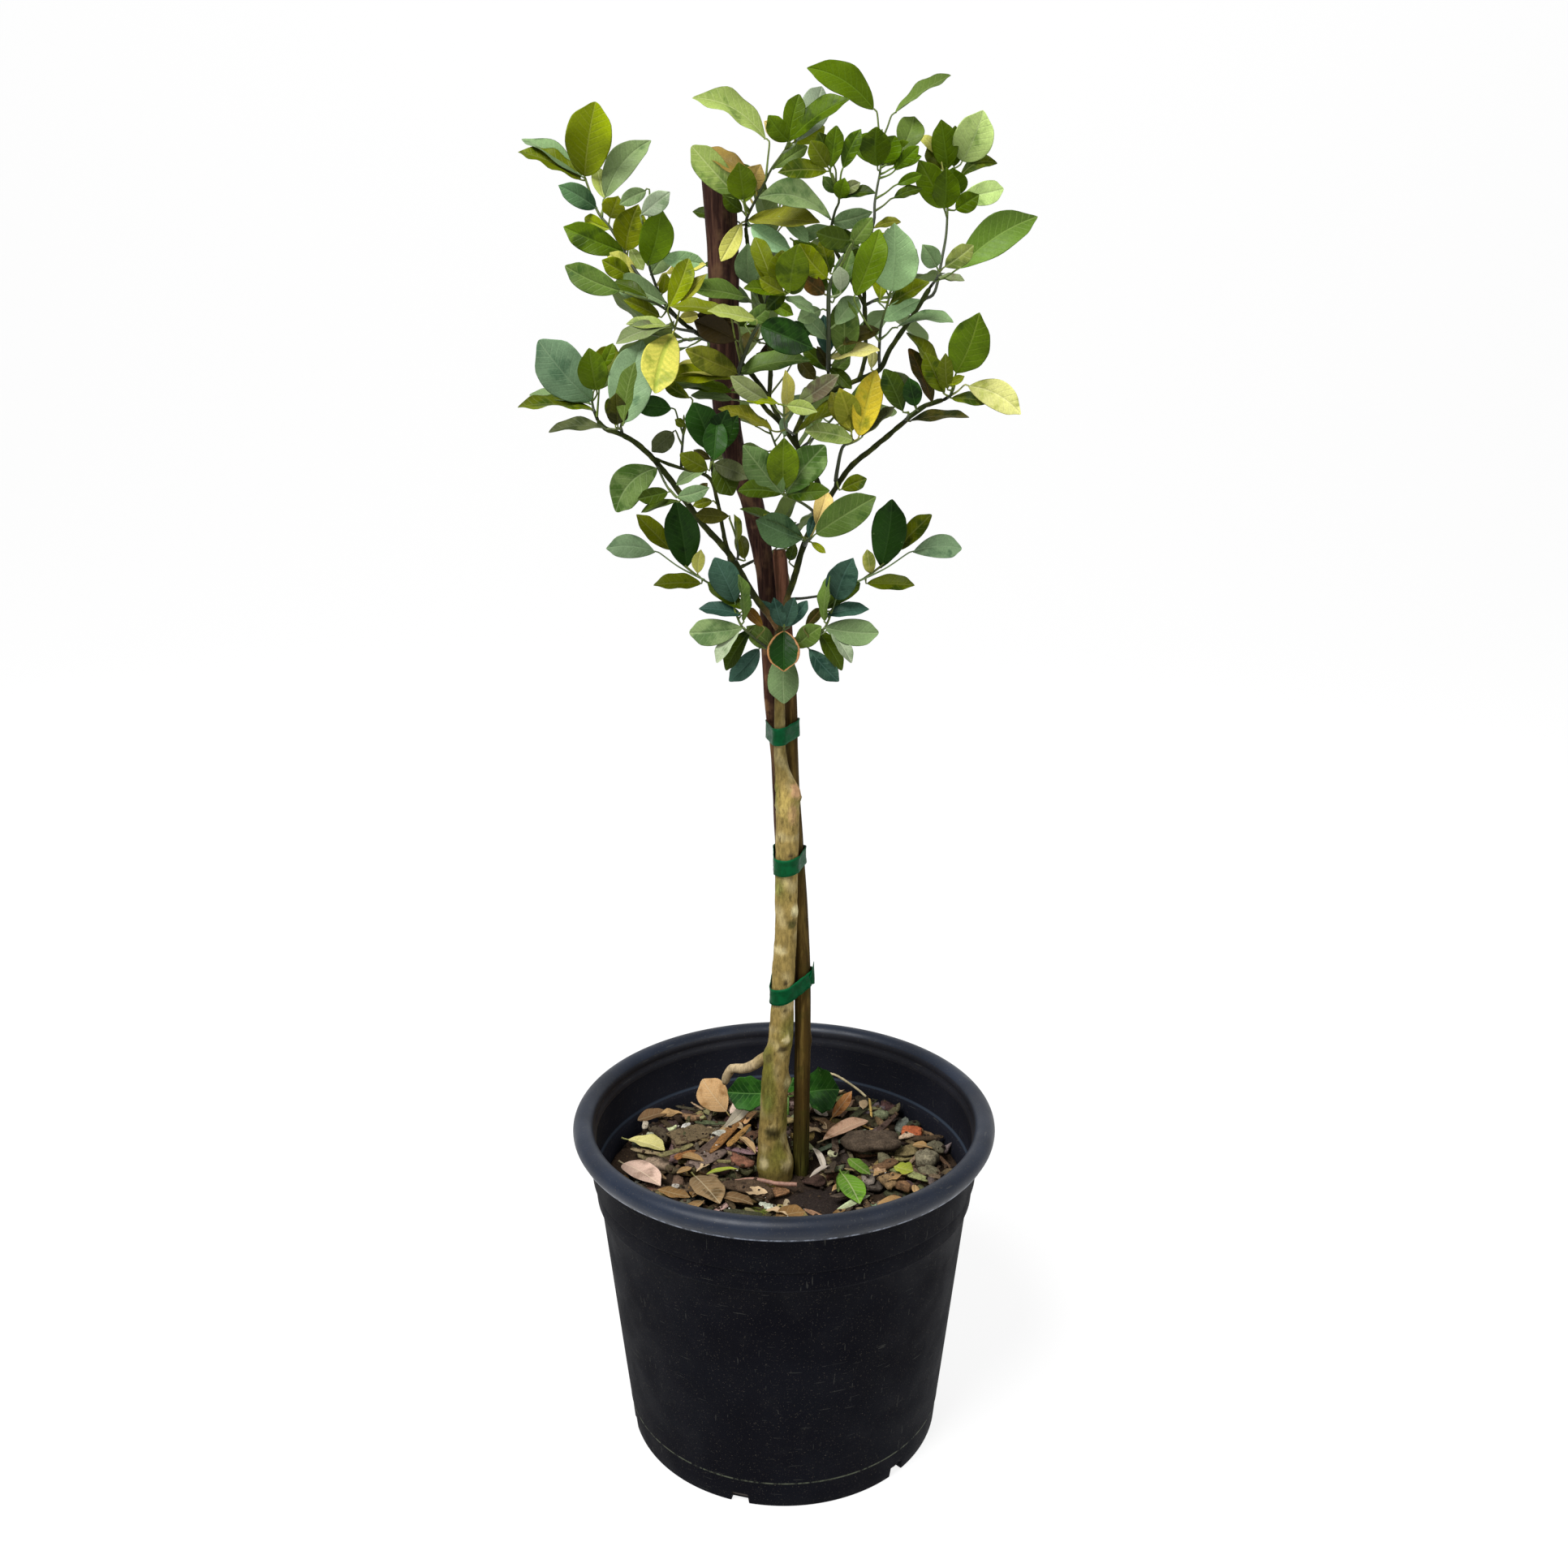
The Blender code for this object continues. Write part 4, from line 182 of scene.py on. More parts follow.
# The leaves of the left shoot that reaches out at the foot; the right one's mirror them
OUT_LEAVES = [
    ("jade", -8.85, 68.35, -12.2, 68.6, 1.65), ("olive", -7.75, 68.5, -10.05, 70.9, 1.3, -0.8),
    ("deep", -6.7, 67.3, -7.35, 71.9, 2.4, -1.4), ("yellow", -5.95, 66.9, -5.7, 68.5, 0.9, -0.8),
    ("olive", -5.75, 66.2, -9.0, 66.1, 1.1, -1.0),
]


def mirrored(rows):
    """The same leaves on the other side."""
    return [(look, -base, up, -tip, *rest) for look, base, up, tip, *rest in rows]


# Leafy shoots: twig radius in cm, its route from the middle of a limb, and the leaves as
# (look, base across, base up, tip across, tip up, width seen[, depth from base to tip]), in cm
SHOOTS = {
    "shoot_left_top": (0.11, [
        (-8.7, 85.6, 1.0), (-9.6, 86.5, 1.4), (-10.4, 87.8, 2.0), (-11.2, 89.2, 2.5), (-12.0, 90.2, 3.0),
        (-12.6, 91.75, 3.4), (-12.8, 92.4, 3.6)], [
        ("lime", -12.8, 92.4, -11.96, 96.8, 2.9), ("olive", -13.05, 92.2, -17.0, 93.85, 1.1),
        ("sage", -13.0, 92.4, -16.7, 94.7, 1.0, 1.5), ("sage", -11.5, 91.15, -8.5, 94.55, 1.8, 1.2),
        ("pale", -11.6, 91.1, -12.0, 93.0, 1.0, 1.0), ("sheen", -12.15, 90.5, -14.5, 91.85, 1.4, -0.8),
        ("lime", -11.25, 89.9, -10.7, 91.2, 1.6), ("lime", -10.3, 87.9, -9.4, 90.7, 2.1, -1.6),
        ("fresh", -10.4, 87.8, -14.3, 89.35, 1.8), ("lime", -11.3, 89.2, -12.9, 89.9, 1.0, 1.0),
        ("lime", -10.0, 86.3, -11.85, 87.3, 1.3, -0.9)]),
    "shoot_left_upper": (0.09, [
        (-8.0, 84.8, 1.2), (-8.45, 85.9, 0.2), (-8.8, 87.0, -0.8), (-9.0, 88.6, -1.6),
        (-9.2, 89.9, -2.2)], [
        ("fresh", -8.9, 87.0, -7.95, 90.45, 2.2), ("silver", -9.2, 90.1, -7.35, 91.45, 1.3),
        ("sage", -8.7, 86.4, -7.45, 87.85, 1.4, 1.2), ("yellow", -7.7, 86.5, -5.1, 87.05, 0.9, -1.0)]),
    "shoot_hub": (0.10, [
        (-5.8, 82.8, 3.2), (-6.3, 82.9, 1.6), (-6.9, 83.0, -0.6), (-7.35, 83.15, -2.4),
        (-7.5, 83.4, -3.2)], [
        ("lime", -7.55, 84.4, -6.2, 87.4, 1.5), ("gold", -6.7, 84.4, -5.1, 86.45, 0.8),
        ("pale", -7.75, 83.2, -10.4, 83.35, 0.8), ("dusk", -7.65, 83.2, -11.1, 82.1, 1.1, -1.2),
        ("olive", -7.9, 83.0, -10.7, 82.2, 0.4, 0.8), ("veined", -7.35, 82.7, -8.6, 78.95, 2.5, -1.4)]),
    "shoot_hub_left": (0.09, [
        (-6.9, 83.6, 1.8), (-7.7, 84.2, 0.6), (-8.6, 84.7, -0.4), (-9.6, 85.0, -0.9),
        (-10.6, 85.35, -1.0)], [
        ("green", -10.75, 85.4, -14.3, 86.95, 1.7), ("dark", -9.0, 85.05, -11.2, 85.95, 0.8, 0.8),
        ("sage", -7.75, 84.6, -11.0, 86.1, 1.7, 1.6), ("olive", -8.2, 83.8, -10.5, 84.85, 0.9, -1.2)]),
    "shoot_left_end": (0.10, [
        (-12.5, 77.2, -3.7), (-12.75, 77.9, -3.0), (-12.85, 78.6, -2.2)], [
        ("jade", -12.85, 78.4, -16.2, 82.25, 3.2), ("olive", -12.75, 77.8, -17.8, 78.05, 0.9, -0.8),
        ("sage", -12.9, 78.2, -17.0, 78.8, 0.7, 1.0), ("olive", -12.65, 79.1, -11.2, 82.0, 2.1, 1.2)]),
    "shoot_left_elbow": (0.09, [
        (-10.85, 76.2, -3.5), (-10.95, 76.7, -4.3), (-10.85, 77.2, -5.2)], [
        ("jade", -10.7, 77.0, -9.35, 82.3, 3.0, -1.4), ("shadow", -11.9, 76.6, -15.8, 76.45, 0.8, -1.0),
        ("olive", -11.3, 76.8, -11.15, 78.8, 1.4, 1.0)]),
    "shoot_left_mid": (0.09, [
        (-6.95, 74.0, -3.4), (-6.9, 75.0, -2.9), (-6.75, 76.4, -2.7), (-6.7, 77.5, -2.9)], [
        ("deep", -7.55, 77.9, -10.0, 78.2, 1.4), ("shadow", -7.45, 76.35, -8.9, 75.1, 1.3, -0.8),
        ("olive", -6.6, 76.8, -7.3, 77.2, 0.6), ("olive", -6.3, 78.6, -7.95, 79.7, 0.9, 0.6)]),
    "shoot_low_inner": (0.09, [
        (-4.85, 73.8, -4.2), (-4.9, 74.6, -4.6), (-4.88, 75.3, -5.0)], [
        ("deep", -4.9, 75.2, -6.05, 78.3, 2.2, -1.0), ("deep", -4.85, 75.3, -3.1, 77.45, 1.5, -0.6),
        ("olive", -5.15, 73.9, -7.0, 74.95, 1.3, -1.2), ("dark", -4.7, 74.2, -3.5, 72.2, 1.8, -0.8),
        ("shadow", -4.7, 74.3, -2.3, 73.3, 1.3, -1.6)]),
    "shoot_centre_left": (0.10, [
        (-2.7, 79.9, -0.8), (-3.0, 80.3, -1.9), (-2.6, 81.4, -3.2), (-2.05, 82.65, -4.3),
        (-1.65, 83.3, -4.9)], [
        ("gold", -3.1, 80.2, -6.5, 81.7, 1.6, -1.4), ("lime", -3.3, 79.9, -7.85, 79.85, 1.3, -1.0),
        ("green", -3.0, 80.2, 1.75, 81.0, 1.3, -1.0), ("brown", -2.8, 80.7, -1.7, 83.2, 0.8, 1.9),
        ("soot", -3.2, 82.3, -5.9, 83.5, 1.8, -0.6), ("pale", -1.9, 83.6, -5.0, 84.2, 0.9, -1.0),
        ("olive", -3.8, 84.0, -7.4, 84.4, 0.9, 0.8), ("deep", -1.5, 83.2, 1.9, 81.8, 2.2, -1.2)]),
    "shoot_centre": (0.09, [
        (-1.3, 84.0, 4.4), (-1.2, 84.4, 2.4), (-0.8, 84.7, -0.2), (-0.35, 84.8, -2.6), (0.0, 85.1, -4.6),
        (0.1, 85.5, -5.4)], [
        ("sage", -2.25, 85.8, -2.35, 88.3, 1.7), ("olive", 0.2, 85.6, -0.15, 87.9, 2.1, -0.9),
        ("olive", -0.8, 86.0, -1.9, 88.7, 1.3, 1.0), ("moss", 0.15, 85.2, -2.6, 85.6, 0.9, -1.4),
        ("sage", 0.0, 85.0, 2.0, 84.0, 0.7, -1.0), ("green", -2.6, 85.0, -6.4, 85.55, 1.2, -1.0)]),
    "shoot_top_left": (0.09, [
        (-2.45, 89.3, 0.4), (-2.4, 89.9, -0.6), (-1.9, 90.85, -1.5), (-1.25, 92.0, -2.2),
        (-0.8, 92.85, -2.6), (-0.1, 93.75, -3.0), (0.37, 94.4, -3.2)], [
        ("pale", -1.17, 94.6, -5.8, 97.05, 1.5, -0.8), ("peach", 0.2, 94.5, -1.25, 95.65, 1.2, -0.8),
        ("fresh", 0.3, 94.5, 0.96, 97.25, 1.35), ("fresh", 0.35, 94.5, 4.15, 96.95, 1.3, -1.2),
        ("silver", 0.8, 94.5, 2.4, 97.7, 2.0, 1.8), ("lime", 0.6, 94.4, 2.6, 95.35, 1.3, 0.9),
        ("pale", -2.8, 91.0, -5.9, 94.2, 1.9), ("moss", -2.5, 90.85, -2.4, 93.1, 1.8, 1.0),
        ("rust", -2.0, 92.3, -4.9, 94.1, 1.2, 1.8), ("dark", -2.7, 90.3, -3.95, 91.3, 1.0, -0.8),
        ("yellow", -2.75, 89.55, -4.1, 87.25, 1.2, -0.8), ("gold", -2.35, 89.75, 2.28, 89.7, 1.2, -2.2),
        ("mint", -2.1, 89.4, 0.45, 87.9, 1.4, -1.2)]),
    "shoot_top_mid": (0.09, [
        (3.05, 88.8, 0.0), (3.1, 89.5, -1.6), (3.3, 90.3, -2.8), (3.55, 91.05, -3.6), (3.1, 92.6, -4.4)], [
        ("sage", 3.05, 89.8, -1.6, 91.15, 1.6, -1.6), ("fresh", 3.8, 92.9, 4.9, 95.2, 1.1),
        ("fresh", 3.0, 92.9, 3.35, 95.4, 1.2, -0.6), ("olive", 2.8, 92.95, 1.7, 94.5, 1.3, -1.0),
        ("olive", 2.75, 92.7, -0.35, 92.65, 1.2, -1.4), ("fresh", 3.6, 91.05, 3.9, 92.3, 1.1, -0.8),
        ("sage", 3.15, 89.6, 5.7, 90.25, 1.2, -1.0), ("dark", 3.6, 91.1, 5.9, 91.4, 0.7, -0.8),
        ("dark", 2.9, 88.9, 4.9, 88.1, 1.5, -1.6), ("sage", 3.1, 89.3, 0.9, 88.5, 0.9, 0.6)]),
    "shoot_top_right": (0.09, [
        (5.6, 88.7, 1.0), (5.85, 89.9, 1.6), (5.85, 90.75, 2.0), (6.0, 91.75, 2.5), (6.2, 93.0, 3.1),
        (6.25, 95.2, 3.9)], [
        ("fresh", 5.68, 96.35, 1.46, 98.8, 1.9), ("green", 7.05, 96.15, 10.5, 98.4, 0.7),
        ("fresh", 6.2, 93.2, 4.75, 94.85, 1.5, 1.0), ("fresh", 6.35, 93.2, 7.1, 94.8, 1.7, -0.8),
        ("fresh", 7.1, 92.75, 8.6, 94.2, 0.9, -0.8), ("fresh", 7.3, 91.9, 8.85, 92.5, 0.7),
        ("dark", 7.1, 91.1, 8.9, 91.65, 0.7, 0.6), ("gold", 5.85, 89.3, 7.55, 89.65, 0.6, -0.8),
        ("green", 7.53, 93.95, 8.3, 95.95, 1.8, 1.0)]),
    "shoot_right_top": (0.10, [
        (9.0, 84.7, 0.4), (9.9, 85.4, 1.8), (10.35, 87.75, 3.0), (10.5, 88.7, 3.5), (10.55, 89.5, 3.9),
        (10.55, 91.0, 4.5), (10.5, 92.8, 5.1)], [
        ("fresh", 10.5, 92.85, 10.0, 95.75, 1.7), ("olive", 10.4, 92.8, 9.2, 94.2, 1.2, 0.8),
        ("moss", 10.3, 90.5, 8.65, 93.35, 1.9), ("fresh", 10.9, 91.2, 10.8, 92.9, 1.8, -1.2),
        ("fresh", 11.1, 90.4, 12.55, 91.3, 1.3, -0.8), ("round", 11.4, 91.1, 14.15, 91.65, 1.5, 0.6),
        ("round", 11.4, 93.3, 12.65, 96.3, 2.5), ("olive", 11.3, 92.3, 13.65, 93.2, 0.9, -0.7),
        ("yellow", 9.9, 93.6, 8.7, 94.85, 0.7, 1.6)]),
    "shoot_right_upper": (0.09, [
        (9.55, 85.6, 0.5), (10.0, 86.2, -1.0), (10.1, 86.7, -2.6)], [
        ("veined_green", 11.4, 86.8, 16.4, 90.0, 2.4), ("sage", 9.95, 86.9, 9.0, 88.25, 1.3, -0.8),
        ("pale", 10.5, 86.9, 12.3, 88.2, 1.3, -1.5), ("dusk", 10.05, 86.2, 11.8, 86.05, 0.5, -0.6)]),
    "shoot_right_mid": (0.10, [
        (6.35, 80.45, 0.4), (6.3, 81.5, -0.8), (6.4, 83.2, -1.9), (6.8, 84.6, -2.6), (7.0, 85.5, -2.9)], [
        ("mint", 7.05, 85.4, 7.15, 89.5, 3.1), ("olive", 6.9, 84.5, 9.5, 85.95, 1.0, -1.2),
        ("mint", 6.5, 83.6, 8.9, 84.85, 1.2, -1.4), ("lime", 6.3, 84.85, 6.45, 89.0, 1.9, 1.2),
        ("sage", 7.4, 83.1, 11.15, 83.45, 0.7, -1.0)]),
    "shoot_right_stem": (0.10, [
        (2.95, 80.2, -0.8), (2.95, 81.2, -2.6), (2.95, 83.0, -4.0), (2.95, 85.5, -5.0), (3.4, 86.6, -5.2),
        (3.9, 87.6, -5.2)], [
        ("cream", 3.0, 81.1, 6.3, 81.7, 0.9, -1.2), ("brown", 2.9, 80.6, 2.2, 81.9, 0.8, -0.6),
        ("green", 4.0, 81.3, 3.9, 85.0, 2.0), ("sage", 2.75, 82.4, 1.25, 83.9, 1.1, -0.8),
        ("umber", 2.65, 85.2, 1.2, 86.3, 1.2, -0.6), ("lime", 2.8, 86.2, 1.0, 88.3, 1.5, -1.0),
        ("silver", 3.7, 85.4, 3.6, 86.9, 1.1, -1.0), ("sage", 3.4, 83.3, 4.9, 85.0, 1.5, 1.2),
        ("dark", 3.05, 80.5, 4.5, 79.2, 0.9, -1.0), ("brown", 3.9, 82.0, 6.3, 83.0, 1.0, 1.0)]),
    "shoot_spear": (0.09, [
        (0.75, 76.2, 2.6), (0.4, 76.4, 0.4), (0.1, 76.7, -1.8), (0.0, 77.4, -3.2), (0.0, 78.2, -3.9)], [
        ("yellow", 0.1, 77.2, 0.1, 80.4, 0.9, -0.6), ("dusk", -1.0, 78.4, -3.55, 80.0, 1.3, -1.0),
        ("dusk", 1.0, 78.3, 3.65, 80.1, 1.3, -1.0), ("gold", -0.8, 76.5, -4.4, 77.9, 0.9, -1.0),
        ("olive", 0.9, 76.4, 5.0, 78.3, 0.9, -1.4), ("pale", 0.2, 78.1, 2.2, 77.7, 1.0, -1.2),
        ("lime", -0.3, 78.2, -2.5, 78.4, 0.6, -0.8)]),
    "shoot_right_fork": (0.09, [
        (3.45, 72.6, -1.1), (3.6, 73.9, -1.8), (3.95, 75.4, -2.6), (4.7, 75.9, -3.0)], [
        ("bright", 5.05, 76.15, 6.1, 80.4, 1.9), ("gold", 4.45, 76.6, 3.15, 79.0, 1.2, 0.8),
        ("pale", 4.6, 75.85, 1.45, 76.45, 1.3, -1.2), ("shadow", 5.2, 76.05, 7.4, 78.1, 0.8, 1.0),
        ("olive", 3.9, 72.6, 5.6, 73.3, 1.1, -0.8)]),
    "shoot_right_end": (0.10, [
        (10.7, 78.5, -2.3), (11.1, 78.75, -3.2), (11.4, 79.4, -4.0)], [
        ("lime_veined", 11.45, 80.2, 12.85, 84.0, 2.7), ("olive", 10.6, 79.0, 9.35, 81.5, 1.5, -0.8),
        ("olive", 10.7, 78.9, 8.15, 82.85, 0.9, 1.0), ("olive", 10.9, 79.2, 10.7, 81.45, 1.0, -1.4),
        ("cream", 12.3, 79.35, 15.85, 77.55, 1.9, -1.2), ("olive", 11.2, 78.6, 13.9, 78.3, 0.85, -1.0)]),
    "shoot_right_low": (0.09, [
        (8.0, 77.0, -1.75), (8.3, 77.4, -2.9), (8.35, 77.7, -3.8)], [
        ("dark", 7.95, 77.75, 6.65, 80.45, 1.5, -0.8), ("deep", 8.8, 78.1, 8.3, 79.9, 1.3, -0.9),
        ("brown", 8.4, 77.1, 12.4, 77.35, 0.7, -1.4)]),
    "shoot_low_left": (0.09, [
        (-8.6, 74.25, -3.15), (-8.45, 73.9, -4.2), (-8.0, 72.9, -4.9), (-7.3, 72.0, -5.2)], [
        ("tulip", -8.6, 74.0, -11.45, 71.1, 2.4), ("dark", -7.9, 72.4, -9.95, 71.95, 1.1, -0.8),
        ("dark", -7.2, 71.8, -9.75, 71.1, 0.6, 0.6), ("sage", -7.2, 72.1, -5.1, 72.7, 1.1, -0.8)]),
    "shoot_low_mid": (0.09, [
        (-3.4, 67.6, -1.85), (-3.15, 68.1, -2.9), (-3.3, 69.4, -3.7), (-3.75, 70.7, -4.2)], [
        ("bronze", -3.75, 70.8, -6.0, 70.9, 1.1, -0.8), ("olive", -3.3, 68.7, -3.4, 70.9, 0.5, -1.2),
        ("bronze", -2.7, 67.9, -3.15, 69.6, 1.0, 1.0)]),
    "shoot_right_inner": (0.09, [
        (1.31, 68.7, -0.9), (1.5, 69.0, -2.0), (1.9, 69.35, -3.0)], [
        ("sheen", 1.2, 69.2, -1.9, 70.5, 2.3, -1.0), ("dark", 1.3, 69.3, -3.0, 71.3, 0.5, 0.8),
        ("green", 2.2, 69.6, 6.25, 72.1, 2.3), ("peach", 2.2, 70.2, 2.9, 72.5, 1.3, 1.2),
        ("teal", 1.7, 69.3, 2.15, 70.9, 0.7, 0.4), ("lime", 1.9, 69.0, 2.85, 68.3, 0.5, -0.4)]),
    "shoot_tulip": (0.10, [
        (2.15, 70.5, -1.0), (1.9, 71.2, -2.6), (1.0, 71.8, -4.2), (0.1, 72.1, -5.2), (0.0, 72.5, -5.6)], [
        ("tulip", -0.15, 72.3, -2.75, 75.5, 2.3), ("tulip", 0.15, 72.3, 2.75, 75.5, 2.3),
        ("moss", 0.0, 72.6, 0.0, 76.0, 2.2, -1.4), ("dark", -0.1, 72.3, -3.1, 72.5, 1.2, -1.4),
        ("dark", 0.2, 72.2, 3.1, 72.5, 1.2, -1.4)]),
    "shoot_foot_left": (0.10, [
        (-0.28, 61.2, 0.0), (-1.2, 61.7, -1.6), (-2.3, 62.6, -2.9), (-3.0, 63.3, -3.4),
        (-3.5, 64.6, -3.5)], [
        ("sage", -2.85, 63.1, -6.6, 62.75, 1.9), ("silver", -3.0, 63.0, -4.75, 60.65, 0.9, -0.8),
        ("teal", -1.75, 61.6, -3.85, 59.3, 1.4, -0.6), ("umber", -1.5, 63.2, -2.6, 64.5, 0.8, 1.0),
        ("green", -0.9, 61.8, -2.6, 63.2, 1.5, -1.4), ("teal", -3.4, 64.9, -4.75, 67.95, 2.1, -0.8),
        ("dark", -2.9, 64.4, -5.25, 66.3, 1.2, 1.0), ("green", -2.8, 63.6, -3.15, 66.8, 0.8, -0.8)]),
    "shoot_foot_left_out": (0.09, [
        (-1.97, 65.2, -1.2), (-3.0, 65.3, 0.2), (-4.6, 65.9, 1.8), (-6.1, 66.8, 3.0), (-7.2, 67.7, 3.8)
    ], OUT_LEAVES),
    "shoot_foot_right": (0.10, [
        (-0.28, 61.2, 0.0), (0.9, 61.7, -1.7), (2.2, 62.5, -2.8), (2.9, 63.2, -3.1), (3.4, 64.5, -3.3)], [
        ("sage", 2.85, 63.1, 6.6, 62.75, 1.9), ("silver", 3.3, 62.8, 4.75, 60.65, 0.9, -1.0),
        ("teal", 1.75, 61.6, 3.85, 59.3, 1.4, -0.6), ("umber", 1.5, 63.2, 2.6, 64.5, 0.8, 1.0),
        ("green", 0.9, 61.8, 2.6, 63.2, 1.5, -1.4), ("teal", 3.6, 65.1, 4.75, 67.95, 2.1, -1.1),
        ("dark", 2.9, 64.4, 5.25, 66.3, 1.2, 1.9), ("green", 2.8, 63.6, 3.15, 66.8, 0.8, -0.8)]),
    "shoot_foot_right_out": (0.09, [
        (0.22, 65.1, -0.5), (1.6, 65.2, 0.2), (3.6, 65.6, 1.6), (5.6, 66.6, 2.8), (7.0, 67.6, 3.6)
    ], mirrored(OUT_LEAVES)),
    "shoot_foot": (0.09, [
        (-0.28, 61.9, -0.1), (-0.1, 62.3, -1.2), (0.0, 62.9, -2.0), (0.0, 63.6, -2.4)], [
        ("heart", 0.0, 62.9, 0.0, 60.0, 2.3, -1.4), ("sage", 0.0, 61.6, 0.0, 57.7, 2.2, -0.6),
        ("teal", -0.1, 63.2, -0.7, 65.2, 1.1, -0.8), ("teal", 0.1, 63.2, 0.7, 65.2, 1.1, -0.8)]),
}

# Shoots at the back, which the front ones hide: the same, with a number of leaves instead of a list
BACK_SHOOTS = {
    "shoot_back_low": (0.10, [
        (0.6, 72.0, 7.4), (0.2, 73.8, 8.6), (-0.6, 75.6, 9.6), (-1.2, 77.2, 10.6)], 8),
    "shoot_back_foot": (0.10, [
        (-2.6, 67.5, 6.2), (-1.8, 67.9, 7.6), (-0.8, 68.4, 9.0), (0.4, 68.6, 10.0)], 7),
    "shoot_back_left": (0.10, [
        (-4.3, 82.0, 4.6), (-5.6, 82.4, 6.2), (-7.0, 82.2, 7.8), (-8.4, 81.6, 9.0)], 8),
    "shoot_back_mid": (0.10, [
        (-0.9, 81.0, 4.6), (-1.0, 82.2, 6.6), (-1.6, 83.6, 8.8), (-2.0, 84.6, 10.8)], 8),
    "shoot_back_top": (0.10, [
        (-1.3, 84.0, 4.4), (-0.8, 86.4, 5.6), (-0.6, 88.8, 6.4), (-0.2, 91.0, 6.6)], 8),
    "shoot_back_right": (0.10, [
        (5.3, 84.5, 2.8), (6.2, 84.9, 4.8), (7.2, 85.0, 6.8), (8.0, 84.6, 8.6)], 8),
    "shoot_back_centre": (0.10, [
        (1.0, 75.2, 2.4), (2.0, 76.0, 4.4), (3.2, 77.2, 6.6), (4.4, 78.6, 8.6)], 8),
}
# Their leaves: lengths in cm, first draw, tries for each, metres kept from the twig's ends, and looks
BACK_LEAF = (3.4, 4.6)
BACK_SEED = 41
BACK_TRIES = 40
BACK_CLEAR = 0.002
BACK_KINDS = ("dark", "green", "olive", "sage", "moss")
GOLDEN_ANGLE = math.radians(137.5)
# Ties: height and rise from left to right, in cm
TIES = {"tie_low": (35.7, 1.1), "tie_middle": (45.8, 0.35), "tie_top": (55.4, 0.35)}


def smoothstep(low, high, value):
    """From 0 at low to 1 at high, level at both ends."""
    share = min(max((value - low) / (high - low), 0.0), 1.0)
    return share * share * (3.0 - 2.0 * share)


def rgb(hex_colour):
    """Linear red, green and blue of a colour written as rrggbb."""
    parts = [int(hex_colour[k:k + 2], 16) / 255.0 for k in (0, 2, 4)]
    return tuple(c / 12.92 if c <= 0.04045 else ((c + 0.055) / 1.055) ** 2.4 for c in parts)


def blend(a, b, share):
    """A colour between two, this share of the way."""
    return tuple(x + (y - x) * share for x, y in zip(a, b))


def in_scene(name, data):
    """A new object in the scene."""
    obj = bpy.data.objects.new(name, data)
    bpy.context.scene.collection.objects.link(obj)
    return obj


def plain_object(name, verts, faces):
    """A mesh as an object in the scene."""
    mesh = bpy.data.meshes.new(name)
    mesh.from_pydata([tuple(v) for v in verts], [], faces)
    return in_scene(name, mesh)


